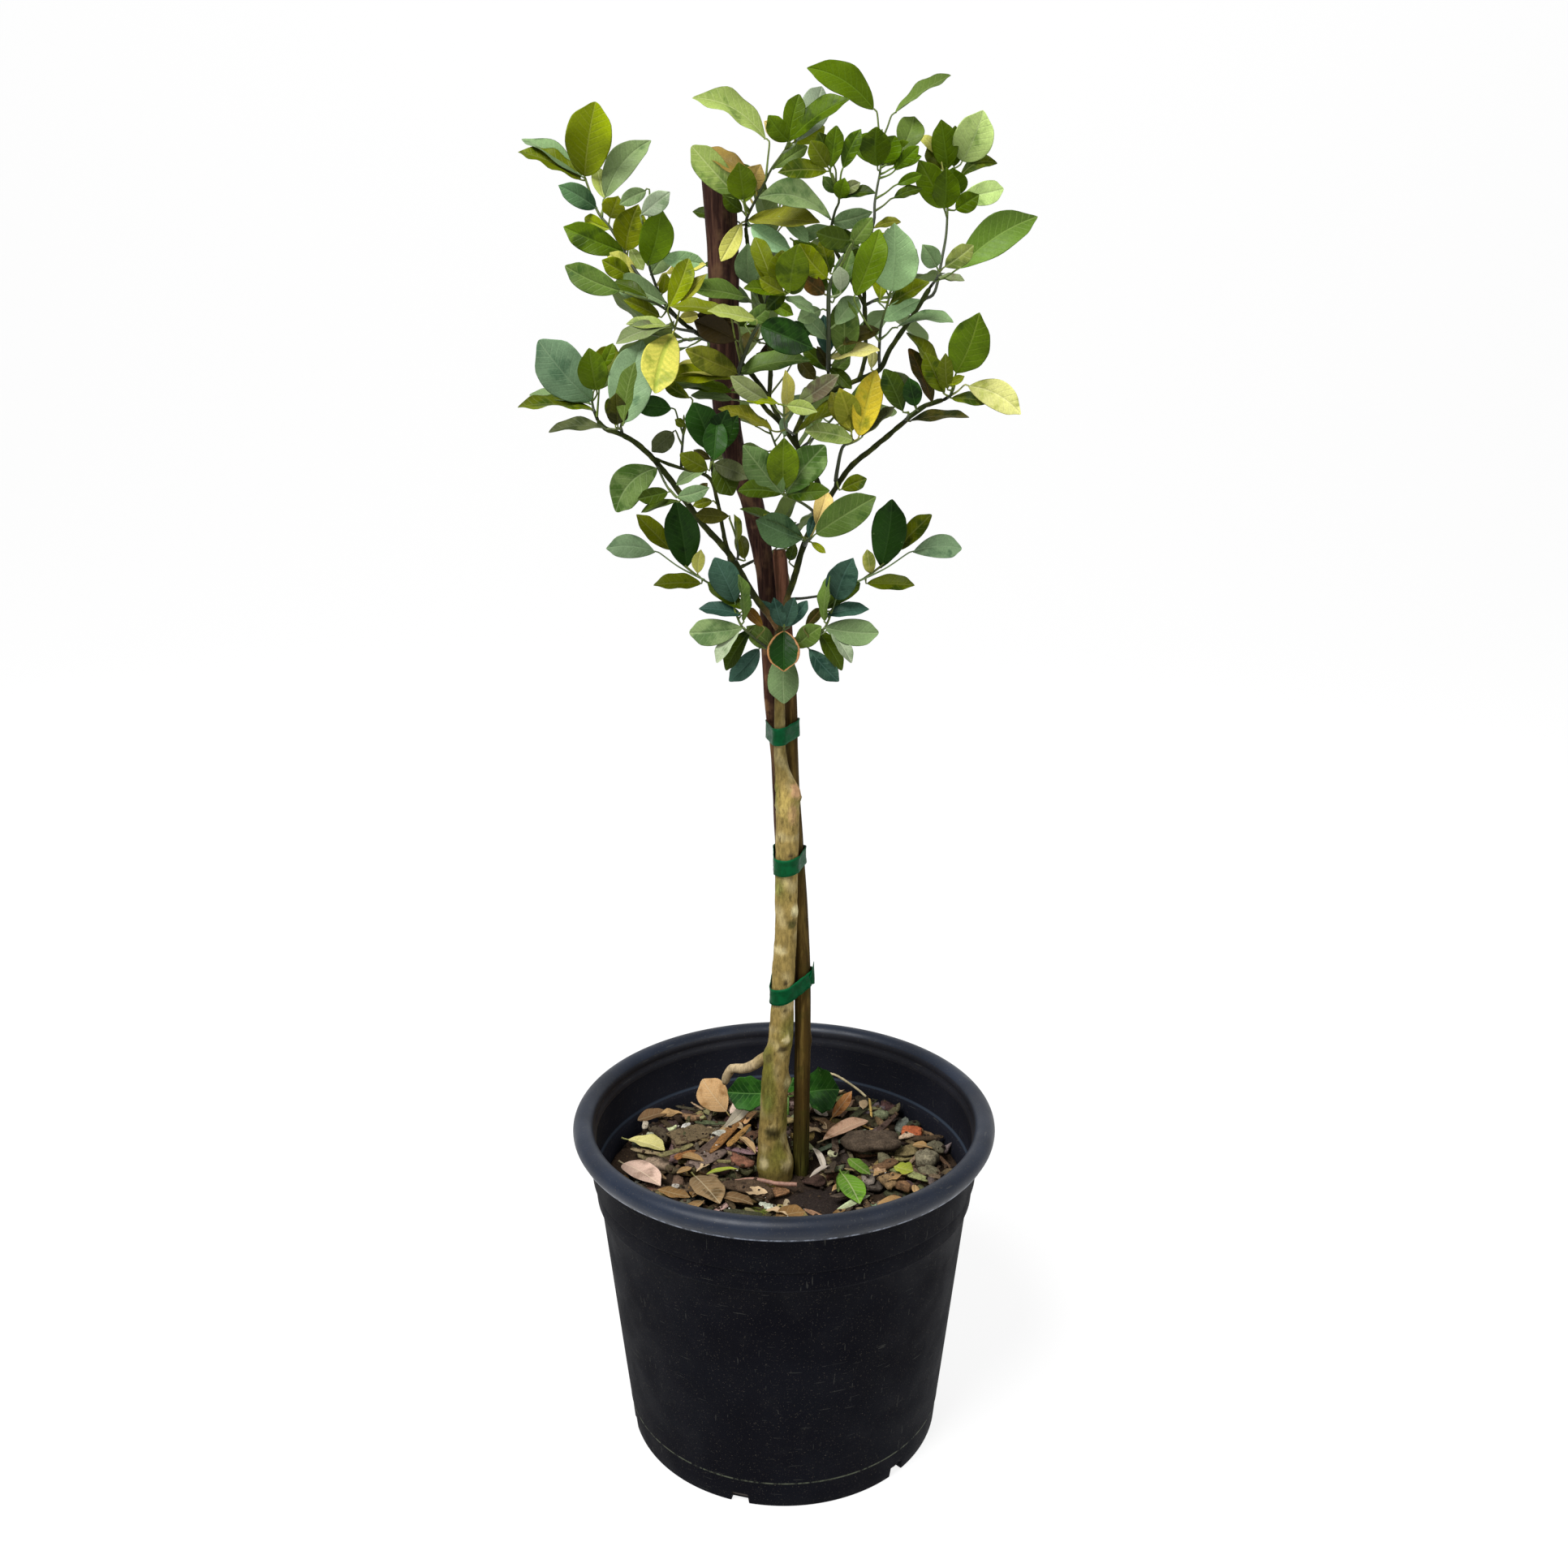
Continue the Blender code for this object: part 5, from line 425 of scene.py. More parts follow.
class Nodes:
    """A material, built node by node."""

    def __init__(self, name):
        self.mat = bpy.data.materials.new(name)
        self.mat.use_nodes = True
        self.tree = self.mat.node_tree
        self.shader = self.tree.nodes["Principled BSDF"]

    def add(self, kind, **settings):
        """A new node with its settings."""
        node = self.tree.nodes.new("ShaderNode" + kind)
        for key, value in settings.items():
            setattr(node, key, value)
        return node

    def plug(self, value, socket):
        """Links a socket to another, or sets it to a number or a colour."""
        if isinstance(value, bpy.types.NodeSocket):
            self.tree.links.new(value, socket)
        elif isinstance(value, tuple) and len(value) == 3 and socket.type == "RGBA":
            socket.default_value = (*value, 1.0)
        else:
            socket.default_value = value

    def math(self, operation, *values):
        node = self.add("Math", operation=operation)
        for socket, value in zip(node.inputs, values):
            self.plug(value, socket)
        return node.outputs[0]

    def times(self, a, b):
        return self.math("MULTIPLY", a, b)

    def plus(self, a, b):
        return self.math("ADD", a, b)

    def minus(self, a, b):
        return self.math("SUBTRACT", a, b)

    def axes(self, vector):
        """The three coordinates of a vector."""
        split = self.add("SeparateXYZ")
        self.plug(vector, split.inputs[0])
        return split.outputs

    def mix(self, share, a, b, way="MIX"):
        node = self.add("Mix", data_type="RGBA", blend_type=way)
        for k, value in ((0, share), (6, a), (7, b)):
            self.plug(value, node.inputs[k])
        return node.outputs[2]

    def shade(self, colour, grey):
        """The colour, darkened or lightened by a grey."""
        node = self.add("CombineColor")
        for socket in node.inputs:
            self.plug(grey, socket)
        return self.mix(1.0, colour, node.outputs[0], "MULTIPLY")

    def ramp(self, value, low, high, start=0.0, end=1.0):
        """A smooth step from start at low to end at high."""
        node = self.add("MapRange", interpolation_type="SMOOTHSTEP")
        for socket, number in zip(node.inputs, (value, low, high, start, end)):
            self.plug(number, socket)
        return node.outputs[0]

    def place(self, stretch=(1.0, 1.0, 1.0)):
        """The point in the object's frame, stretched."""
        node = self.add("Mapping")
        self.plug(self.add("TexCoord").outputs["Object"], node.inputs["Vector"])
        node.inputs["Scale"].default_value = stretch
        return node.outputs[0]

    def noise(self, scale, detail=3.0, vector=None, w=None, rough=0.55, warp=0.0):
        node = self.add("TexNoise", noise_dimensions="3D" if w is None else "4D")
        if w is not None:
            self.plug(w, node.inputs["W"])
        self.plug(vector or self.place(), node.inputs["Vector"])
        for key, value in (("Scale", scale), ("Detail", detail), ("Roughness", rough), ("Distortion", warp)):
            node.inputs[key].default_value = value
        return node.outputs[0]

    def cells(self, scale, output="Distance"):
        node = self.add("TexVoronoi")
        self.plug(self.place(), node.inputs["Vector"])
        node.inputs["Scale"].default_value = scale
        return node.outputs[output]

    def value(self, name, output="Color"):
        return self.add("Attribute", attribute_name=name).outputs[output]

    def bump(self, height, distance, strength=1.0, under=None):
        node = self.add("Bump")
        self.plug(height, node.inputs["Height"])
        node.inputs["Distance"].default_value = distance
        node.inputs["Strength"].default_value = strength
        if under is not None:
            self.plug(under, node.inputs["Normal"])
        return node.outputs[0]

    def finish(self, colour, roughness, normal=None, specular=0.5):
        self.plug(colour, self.shader.inputs["Base Color"])
        self.plug(roughness, self.shader.inputs["Roughness"])
        self.shader.inputs["Specular IOR Level"].default_value = specular
        if normal is not None:
            self.plug(normal, self.shader.inputs["Normal"])
        return self.mat


COLOURS = ("tint", "accent", "rib")
NUMBERS = ("rim", "spread")


class Skin:
    """Vertices and faces of one piece, with what its materials read."""

    def __init__(self):
        self.verts = []
        self.faces = []
        self.mats = []
        self.under = []
        self.uvs = []
        self.look = {name: [] for name in COLOURS + NUMBERS}

    def vert(self, place, tint=(0.5, 0.5, 0.5, 0.0), accent=(0.0,) * 4, rib=(0.0,) * 4, rim=0.0, spread=0.0):
        self.verts.append(tuple(place))
        tint = tint if len(tint) == 4 else (*tint, 0.0)
        for name, value in zip(COLOURS + NUMBERS, (tint, accent, rib, rim, spread)):
            self.look[name].append(value)
        return len(self.verts) - 1

    def face(self, corners, mat=0, under=0.0, uvs=None):
        self.faces.append(tuple(corners))
        self.mats.append(mat)
        self.under.append(under)
        self.uvs.extend(uvs or [(0.0, 0.0)] * len(corners))

    def piece(self, name, mats, slot, *nodes):
        """The finished piece, which rides on the one body and stands for its nodes."""
        obj = plain_object(name, self.verts, self.faces)
        mesh = obj.data
        for mat in mats:
            mesh.materials.append(mat)
        mesh.polygons.foreach_set("material_index", self.mats)
        for key, values in self.look.items():
            kind, field = ("FLOAT_COLOR", "color") if key in COLOURS else ("FLOAT", "value")
            flat = [x for value in values for x in value] if key in COLOURS else values
            mesh.attributes.new(key, kind, "POINT").data.foreach_set(field, flat)
        mesh.attributes.new("under", "FLOAT", "FACE").data.foreach_set("value", self.under)
        layer = mesh.uv_layers.new(name="leaf")
        layer.data.foreach_set("uv", [x for uv in self.uvs for x in uv])
        mesh.shade_smooth()
        declare(obj, slot, *nodes)


def declare(obj, slot, *nodes):
    """Puts the piece on the one body and hides the nodes that it stands for. The slot is not used."""
    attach(obj, "root")
    if nodes:
        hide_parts(*nodes)


def curve_through(points, radii, step):
    """Places and radii every step or so along a smooth curve through the points."""
    places, sizes = [], []
    for k in range(len(points) - 1):
        a, b, c, d = (points[min(max(k + j, 0), len(points) - 1)] for j in (-1, 0, 1, 2))
        count = max(1, round((c - b).length / step))
        for j in range(count):
            t = j / count
            places.append(0.5 * (2 * b + (c - a) * t + (2 * a - 5 * b + 4 * c - d) * t ** 2
                                 + (3 * b - 3 * c + d - a) * t ** 3))
            sizes.append(radii[k] + (radii[k + 1] - radii[k]) * t)
    return places + [points[-1]], sizes + [radii[-1]]


def sweep(skin, places, sizes, sides, mat, paint, lump=None):
    """A round closed stem; paint(share, point) gives the tint, and lump(point) adds to the radius."""
    last = len(places) - 1
    side = (places[1] - places[0]).normalized().orthogonal().normalized()
    rings = []
    for k, place in enumerate(places):
        ahead = (places[min(k + 1, last)] - places[max(k - 1, 0)]).normalized()
        side = (side - ahead * side.dot(ahead)).normalized()
        over = ahead.cross(side)
        ring = []
        for j in range(sides):
            angle = math.tau * j / sides
            way = side * math.cos(angle) + over * math.sin(angle)
            reach = sizes[k] + (lump(place + way * sizes[k]) if lump else 0.0)
            point = place + way * reach
            ring.append(skin.vert(point, paint(k / last, point)))
        rings.append(ring)
    close_rings(skin, rings, mat)


def band(skin, low, high, mat=0):
    """Faces between two closed rings."""
    for j in range(len(low)):
        after = (j + 1) % len(low)
        skin.face((low[j], low[after], high[after], high[j]), mat)


def close_rings(skin, rings, mat=0):
    """Faces along a stem of rings and over its two ends."""
    skin.face(rings[0][::-1], mat)
    skin.face(rings[-1], mat)
    for low, high in zip(rings, rings[1:]):
        band(skin, low, high, mat)


# Looks of each kind of leaf: upper colour, patches and their share, veins and their strength
# Some kinds are painted light: sage and pale are partly the leaves' own paler green and partly painted sheen
# of the sky on glossy blades, sheen is painted sheen on darker green blades, and shadow is a leaf in painted
# shade
LOOKS = {
    "lime": ("768204", "566404", 0.40, "a0a452", 0.28),
    "fresh": ("4a6202", "344a02", 0.45, "68842a", 0.25),
    "gold": ("76781e", "565c12", 0.50, "a09a50", 0.25),
    "bronze": ("3c3e06", "2c2e04", 0.45, "5c5e2c", 0.24),
    "soot": ("2a200a", "18160a", 0.45, "3a3622", 0.20),
    "silver": ("909c7c", "768862", 0.40, "b4bca0", 0.25),
    "jade": ("728e6a", "5c7c5a", 0.40, "94ac86", 0.28),
    "moss": ("4f6404", "3c5004", 0.40, "76863a", 0.25),
    "dark": ("344404", "1c3204", 0.50, "5f7438", 0.26),
    "sage": ("6d8355", "506c3e", 0.40, "92a276", 0.28),
    "mint": ("84a674", "6c925c", 0.40, "a8c890", 0.28),
    "pale": ("86944a", "6a7e38", 0.40, "bcc48a", 0.30),
    "yellow": ("bcb858", "949c40", 0.40, "ccca88", 0.30),
    "olive": ("566006", "384a06", 0.50, "868c4a", 0.26),
    "teal": ("2f4a3c", "1c382c", 0.45, "56766a", 0.22),
    "green": ("52682a", "3a561e", 0.45, "8a9c5c", 0.28),
    "deep": ("1c3a0a", "102806", 0.45, "40602c", 0.25),
    "brown": ("38340e", "242a0c", 0.50, "5c5832", 0.22),
    "umber": ("50380c", "34300a", 0.50, "7a5c36", 0.22),
    "rust": ("8a7438", "605420", 0.50, "94845a", 0.25),
    "peach": ("c8b068", "a89450", 0.45, "d8bc88", 0.28),
    "cream": ("c2be72", "a6a850", 0.40, "dcd8a4", 0.28),
    "bright": ("aa9a28", "848822", 0.75, "a09c3c", 0.35),
    "veined": ("c2bc54", "a2a844", 0.40, "7c9434", 0.55),
    "veined_green": ("526a22", "3e5818", 0.40, "80984e", 0.40),
    "lime_veined": ("506604", "3e5404", 0.40, "80903a", 0.35),
    "round": ("aec272", "90aa58", 0.40, "bccc92", 0.35),
    "heart": ("0e2c04", "a8764a", 0.02, "2c4c1c", 0.28),
    "tulip": ("566c3a", "3c5820", 0.50, "8c9c6c", 0.28),
    "dusk": ("707a4c", "685e48", 0.45, "a0a484", 0.25),
    "shadow": ("4c5232", "3a4224", 0.50, "70765a", 0.22),
    "sheen": ("48643e", "2e4c2c", 0.50, "6e8a66", 0.28),
}
# Kinds that are rimmed with their patch colour, and kinds whose veins are wider
RIMMED = ("heart",)
WIDE_VEINS = {"bright": 0.3, "veined": 0.8}
STALK_TINT = rgb("5c6c20")
TWIG_TINT = rgb("2e3a12")
SPUR_TINT = rgb("20260e")

# The blade: cross lines on each half, thickness, and how long a blade has how many sections, in metres
ACROSS = (0.0, 0.09, 0.28, 0.52, 0.76, 0.93, 1.0)
BLADE = 0.00034
SECTIONS = ((0.030, 22), (0.016, 16), (0.0, 11))
# The stalk's radii, in metres, and its rings
STALK_RADII = (0.00090, 0.00062, 0.00058, 0.00050)
STALK_STEP = 0.0022
STALK_SIDES = 6
# What each blade draws for itself: bend and curl as shares of its length, twist, number and height of waves,
# how it widens and narrows, fold, and painted shade along and across: each blade is painted lighter towards
# one end, partly its own colour and partly shade, and lighter towards one side as light falls on it
BEND = 0.045
CURL = 0.10
TWIST = 0.30
WAVES = (1.2, 2.8)
WAVE_HEIGHT = (0.05, 0.17)
WIDENING = (0.62, 0.88)
NARROWING = (0.50, 0.72)
FOLDING = (0.6, 1.25)
PAINTED_SHADE_ALONG = 0.34
PAINTED_SHADE_ACROSS = 0.28

# How a leaf of the tables is placed, and how near a solid's corner has to be to be the same
STATIONS = ((0.056, (0.18, 0.50, 0.80)), (0.027, (0.28, 0.70)), (0.0, (0.46,)))
ROUTE_STEPS = 60
ROUTE_END = 0.0012
BROAD_EASE = 0.5
FORWARD = 0.15
STALK_FREE = 0.4
STALK_SLANT = 1.6
MATCH = 0.00006
MATCH_ENOUGH = 0.7


class Leaf:
    """A blade from base to tip, with its stalk from root to base."""

    def __init__(self, root, base, tip, normal, width):
        self.root, self.base, self.tip = root, base, tip
        self.normal, self.width = normal, width
        self.bow = 0.0

    def edges(self):
        """Edge points of the plain solid's middle sections, by which it is known again."""
        along = self.tip - self.base
        heading = along.normalized()
        side = heading.cross(self.normal).normalized()
        up = side.cross(heading)
        spots = []
        for u in next(shares for least, shares in STATIONS if along.length > least):
            half = self.width / 2.0 * max(math.sin(math.pi * u ** 0.85), 0.0) ** 0.7
            centre = self.base + along * u + self.normal * 4.0 * u * (1.0 - u) * ARCH * along.length
            spots += [centre + up * half * FOLD - side * half, centre + up * half * FOLD + side * half]
        return spots

    def raised(self, rise):
        """The same leaf, moved."""
        return Leaf(self.root + rise, self.base + rise, self.tip + rise, self.normal, self.width)


def facing_camera(base, tip):
    """The way across a blade from base to tip that looks most at the camera."""
    along = (tip - base).normalized()
    look = (EYE - base).normalized()
    return (look - along * look.dot(along)).normalized()


def length_of(points):
    """The length of a route."""
    return sum((b - a).length for a, b in zip(points, points[1:]))


def cut_route(points, distance):
    """Splits a route at a distance from its start."""
    for k in range(len(points) - 1):
        step = (points[k + 1] - points[k]).length
        if distance < step:
            at = points[k].lerp(points[k + 1], distance / step)
            return points[:k + 1] + [at], [at] + points[k + 1:]
        distance -= step
    return points, points[-1:]


def point_on(points, distance):
    """The place at a distance along a route."""
    return cut_route(points, distance)[0][-1]


def nearest_on(points, place, back=0.0):
    """The point of a twig nearest to a place in the front view, or one so far back, clear of its two ends."""
    length = length_of(points) - ROUTE_END - ROOT_START
    best = (math.inf, None, 0.0)
    for k in range(ROUTE_STEPS + 1):
        distance = ROOT_START + length * k / ROUTE_STEPS
        point = point_on(points, distance)
        off = math.hypot(point.x - place.x, point.z - place.z)
        if off < best[0]:
            best = (off, point, distance)
    return point_on(points, max(best[2] - back, ROOT_START)) if back else best[1]


def placed_leaf(row, twig, shift, roll_turn, lean_add, shrink):
    """The leaf of one table row on a twig, with the turns that keep it clear of its neighbours."""
    base_x, base_z, tip_x, tip_z, width = row[1:6]
    span = math.hypot(tip_x - base_x, tip_z - base_z)
    length = max(span, width / (BROAD + BROAD_EASE * max(width / span - BROAD, 0.0)))
    lean = row[6] if len(row) > 6 else -math.sqrt(max(length ** 2 - span ** 2, 0.0))
    whole_width = max(width, SLIM * span)
    flat = seen(base_x, base_z)
    depth = 0.0
    for _ in range(3):
        root = nearest_on(twig, seen(base_x, base_z, depth))
        depth = root.y / CM
    away = math.hypot(flat.x - root.x, flat.z - root.z) / CM
    depth += shift - FORWARD * away
    base = seen(base_x, base_z, depth)
    tip = seen(tip_x, tip_z, depth + lean + lean_add)
    along = (tip - base).normalized()
    roll = math.acos(min(width / whole_width, 1.0))
    facing = facing_camera(base, tip)
    turns = [Matrix.Rotation(sign * roll + roll_turn, 3, along) @ facing for sign in (1, -1)]
    normal = max(turns, key=lambda turn: turn.z)
    root = nearest_on(twig, base, max(away - STALK_FREE, 0.0) * STALK_SLANT * CM)
    return Leaf(root, base, tip, normal, whole_width * shrink * CM * size_at(depth))


# Turns that a leaf may have taken to stay clear of others, each one way and the other: depth of base, roll,
# depth of tip, size
TRIES = [(0.0, 0.0, 0.0, 1.0)] + [
    (way * shift, way * roll, way * lean, size)
    for shift, roll, lean, size in (
        (0.3, 0.0, 0.3, 1.0), (0.0, -0.25, 0.0, 1.0), (0.0, 0.0, 0.7, 1.0), (0.6, 0.0, 0.8, 1.0),
        (0.0, -0.2, 1.2, 1.0), (1.0, 0.0, 1.2, 1.0), (0.0, 0.0, 1.8, 1.0), (1.4, 0.0, 1.6, 0.9),
        (0.0, -0.4, 0.8, 0.8), (1.8, 0.0, 2.2, 0.8), (-0.4, -0.3, -2.6, 0.75))
    for way in (-1.0, 1.0)]


def corners_of(node):
    """A search tree over the corners of a CAD node."""
    verts = frame["nodes"][node].data.vertices
    tree = KDTree(len(verts))
    for vert in verts:
        tree.insert(vert.co, vert.index)
    tree.balance()
    return tree


def match(leaf, corners):
    """The share of the leaf's edge points that the solid has, or 0 if it hasn't its tip."""
    if corners.find(leaf.tip)[2] > MATCH:
        return 0.0
    spots = leaf.edges()
    return 0.1 + sum(corners.find(spot)[2] < MATCH for spot in spots) / len(spots)


def front_leaves(name, rows, twig):
    """The leaves of a shoot's table, each turned as its solid has it, or left out where it has none."""
    corners = corners_of(name)
    leaves = []
    for row in rows:
        best = (0.0, None)
        for turns in TRIES:
            leaf = placed_leaf(row, twig, *turns)
            found = match(leaf, corners)
            if found > best[0]:
                best = (found, leaf)
            if found > MATCH_ENOUGH:
                break
        if best[1]:
            best[1].bow = ARCHED.get((row[1], row[2]), 0.0)
            leaves.append((row[0], best[1]))
    return leaves


def back_leaves(name, count, twig, draw):
    """Leaves set spirally along a twig, where the solid has them."""
    corners = corners_of(name)
    leaves = []
    total = length_of(twig)
    for k in range(count):
        distance = ROOT_START + BACK_CLEAR + (total - 2.0 * BACK_CLEAR - ROOT_START) * (k + 0.5) / count
        root = point_on(twig, distance)
        ahead = (point_on(twig, min(distance + BACK_CLEAR, total - BACK_CLEAR / 2.0)) - root).normalized()
        for _ in range(BACK_TRIES):
            turn = GOLDEN_ANGLE * k + draw.uniform(-1.2, 1.2)
            out = Matrix.Rotation(turn, 3, ahead) @ ahead.orthogonal().normalized()
            way = (out + ahead * draw.uniform(0.2, 1.0) + UP * draw.uniform(-0.4, 0.3)).normalized()
            length = draw.uniform(*BACK_LEAF) * CM
            base = root + way * draw.uniform(0.006, 0.014)
            up = Vector((draw.uniform(-0.4, 0.4), draw.uniform(-0.2, 0.8), 1.0))
            normal = (up - way * up.dot(way)).normalized()
            leaf = Leaf(root, base, base + way * length, normal, length * BROAD)
            if match(leaf, corners) > 0.0:
                leaves.append((draw.choice(BACK_KINDS), leaf))
                break
    return leaves


def leaf_colours(kind, draw):
    """A leaf's own shades of its kind, with a draw of its own for the patches."""
    upper, patch, share, veins, strength = LOOKS[kind]
    shade = draw.uniform(0.86, 1.14)
    warm = draw.uniform(-0.06, 0.06)
    tint, accent = (tuple(c * shade * k for c, k in zip(rgb(c), (1.0 + warm, 1.0, 1.0 - warm)))
                    for c in (upper, patch))
    accent = tuple(c * 0.82 for c in accent)
    share *= draw.uniform(0.6, 1.4)
    return dict(tint=(*tint, draw.uniform(0.0, 9.0)), accent=(*accent, share), rib=(*rgb(veins), strength),
                rim=float(kind in RIMMED), spread=WIDE_VEINS.get(kind, 0.0))


def blade_width(u, rise, fall):
    """Half the width along the blade, as a share of the widest."""
    top = (rise / (rise + fall)) ** rise * (fall / (rise + fall)) ** fall
    return u ** rise * (1.0 - u) ** fall / top * (1.0 - 0.34 * smoothstep(0.80, 0.97, u))


def add_blade(skin, leaf, colours, draw, mat=0, limp=1.0, lobes=0.0):
    """A closed blade: an upper and a lower side that meet at the margin, folded, arched, bent and waved."""
    along = leaf.tip - leaf.base
    length = along.length
    heading = along / length
    level = heading.cross(leaf.normal).normalized()
    count = next(number for least, number in SECTIONS if length > least)
    bend = (leaf.bow or draw.uniform(-BEND, BEND)) * length * limp
    curl = draw.uniform(0.0, CURL) * length * limp
    twist = draw.uniform(-TWIST, TWIST) * limp
    waves, wave = draw.uniform(*WAVES), draw.uniform(*WAVE_HEIGHT) * min(limp, 1.0)
    phases = (draw.uniform(0.0, math.tau), draw.uniform(0.0, math.tau))
    rise, fall = draw.uniform(*WIDENING), draw.uniform(*NARROWING)
    fold = FOLD * draw.uniform(*FOLDING)
    fade, painted_side_shade = draw.uniform(-PAINTED_SHADE_ALONG, PAINTED_SHADE_ALONG), draw.uniform(-PAINTED_SHADE_ACROSS, PAINTED_SHADE_ACROSS)
    across = [-v for v in reversed(ACROSS[1:])] + list(ACROSS)
    last = len(across) - 1
    rows, spots = [], []
    for k in range(count + 1):
        u = 0.5 - 0.5 * math.cos(math.pi * (0.06 + 0.94 * k / count)) if k else 0.0
        half = max(leaf.width / 2.0 * blade_width(u, rise, fall), 0.0004)
        half *= 1.0 - lobes * (0.5 + 0.5 * math.cos(math.tau * 3.2 * u)) * smoothstep(0.05, 0.3, u)
        hump = 4.0 * u * (1.0 - u)
        centre = (leaf.base + along * u + level * bend * hump
                  + leaf.normal * (ARCH * length * hump - curl * max(u - 0.45, 0.0) ** 2))
        side = Matrix.Rotation(twist * (u - 0.5), 3, heading) @ level
        lift = side.cross(heading)
        upper, lower, uvs = [], [], []
        for j, v in enumerate(across):
            # Painted shade: lighter towards one end of the blade, partly its own colour, and lighter towards
            # one side
            shade = 1.0 + fade * (2.0 * u - 1.0) + painted_side_shade * v
            look = dict(colours, tint=(*(c * shade for c in colours["tint"][:3]), colours["tint"][3]))
            look["rim"] = half / MM if colours.get("rim") else 0.0
            ripple = wave * half * v * v * math.sin(math.tau * waves * u + phases[v > 0])
            height = fold * half * abs(v) ** 1.25 + ripple
            depth = BLADE / 2.0 * math.sqrt(max(1.0 - v * v, 0.0))
            groove = 0.0003 * math.exp(-(v / 0.10) ** 2) * min(half / 0.006, 1.0)
            middle = centre + side * (v * half) + lift * (height - groove)
            upper.append(skin.vert(middle + lift * depth, **look))
            if 0 < j < last:
                lower.append(skin.vert(middle - lift * (depth + groove * 1.6), **look))
            uvs.append((u * length / MM, v * half / MM))
        rows.append((upper, [upper[0]] + lower + [upper[-1]]))
        spots.append(uvs)
    for side in (0, 1):
        for k in range(count):
            for j in range(last):
                quad = [(k, j), (k, j + 1), (k + 1, j + 1), (k + 1, j)]
                if side:
                    quad.reverse()
                corners = [rows[r][side][c] for r, c in quad]
                skin.face(corners, mat, float(side), [spots[r][c] for r, c in quad])
    for k in (0, count):
        rim = rows[k][0] + rows[k][1][-2:0:-1]
        skin.face(rim if k else rim[::-1], mat)


def add_stalk(skin, leaf, colours):
    """The leaf's stalk, from inside the twig to under the blade, a little flared at its foot."""
    heading = (leaf.tip - leaf.base).normalized()
    reach = (leaf.base - leaf.root).length
    ease = leaf.base - heading * min(reach * 0.22, 0.0025)
    middle = leaf.root.lerp(ease, 0.55) - UP * reach * 0.04
    route = [leaf.root, middle, ease, leaf.base + heading * 0.0012 - leaf.normal * 0.0003]
    places, sizes = curve_through(route, STALK_RADII, STALK_STEP)
    tint = blend(STALK_TINT, colours["tint"][:3], 0.5)
    sweep(skin, places, sizes, STALK_SIDES, 1, lambda share, point: tint)


def add_leaf(skin, leaf, kind, seed):
    """A blade and its stalk, with the draws of their own seed."""
    draw = random.Random(seed)
    colours = leaf_colours(kind, draw)
    add_blade(skin, leaf, colours, draw)
    add_stalk(skin, leaf, colours)


def make_leaf_material(name, pale_under, gloss):
    """Leaf skin: patches, rim, midrib and side veins, drawn along and across each blade."""
    n = Nodes(name)
    tint, seed = n.value("tint"), n.value("tint", "Alpha")
    accent, share = n.value("accent"), n.value("accent", "Alpha")
    rib, strength = n.value("rib"), n.value("rib", "Alpha")
    rim, spread = n.value("rim", "Fac"), n.value("spread", "Fac")
    under = n.value("under", "Fac")
    along, side, _ = n.axes(n.add("UVMap", uv_map="leaf").outputs[0])
    off = n.math("ABSOLUTE", side)
    # Patches of the second colour, larger where their share is larger
    drift = n.noise(70.0, 3.0, w=seed)
    edge = n.minus(0.72, n.times(share, 0.42))
    patch = n.ramp(n.times(n.minus(drift, edge), 7.0), 0.0, 1.0)
    colour = n.mix(patch, tint, accent)
    # The rim, ragged on its inner side
    ragged = n.plus(off, n.times(n.minus(n.noise(260.0), 0.5), 3.0))
    margin = n.times(n.ramp(n.minus(ragged, rim), -1.9, -0.9), n.math("GREATER_THAN", rim, 0.1))
    colour = n.mix(margin, colour, accent)
    # Fine mottling
    grain = n.ramp(n.noise(900.0, 2.0), 0.3, 0.7, 0.88, 1.10)
    colour = n.shade(colour, grain)
    # Midrib and side veins
    wide = n.plus(1.0, n.times(spread, 2.2))
    midrib = n.ramp(n.math("DIVIDE", off, wide), 0.22, 0.80, 1.0, 0.0)
    lean = n.minus(along, n.times(off, 0.85))
    jitter = n.times(n.minus(n.noise(120.0, 1.0, w=seed), 0.5), 2.4)
    turn = n.math("FRACT", n.math("DIVIDE", n.plus(n.plus(lean, jitter), seed), 4.6))
    near = n.math("DIVIDE", n.math("ABSOLUTE", n.minus(turn, 0.5)), wide)
    side_veins = n.times(n.ramp(near, 0.03, 0.13, 1.0, 0.0), 0.5)
    fade = n.ramp(off, 3.0, 11.0, 1.0, 0.35)
    veins = n.math("MAXIMUM", midrib, n.times(side_veins, fade))
    colour = n.mix(n.times(veins, strength), colour, rib)
    # The underside is paler and duller
    pale = n.mix(0.32, colour, rgb(pale_under))
    colour = n.mix(under, colour, pale)
    shine = n.ramp(n.noise(300.0), 0.3, 0.7, gloss, gloss + 0.12)
    rough = n.plus(shine, n.times(under, 0.2))
    relief = n.bump(n.times(veins, n.minus(n.times(under, 2.0), 1.0)), 0.0005, 0.5)
    relief = n.bump(n.noise(1500.0, 2.0), 0.0001, 0.25, relief)
    return n.finish(colour, rough, relief, 0.08)


def make_twig_material():
    """Smooth young bark with fine streaks."""
    n = Nodes("twig")
    streak = n.ramp(n.noise(500.0, 3.0, n.place((1.0, 1.0, 0.25))), 0.3, 0.7, 0.75, 1.25)
    colour = n.shade(n.value("tint"), streak)
    return n.finish(colour, 0.6, n.bump(n.noise(900.0, 3.0), 0.0003, 0.6))


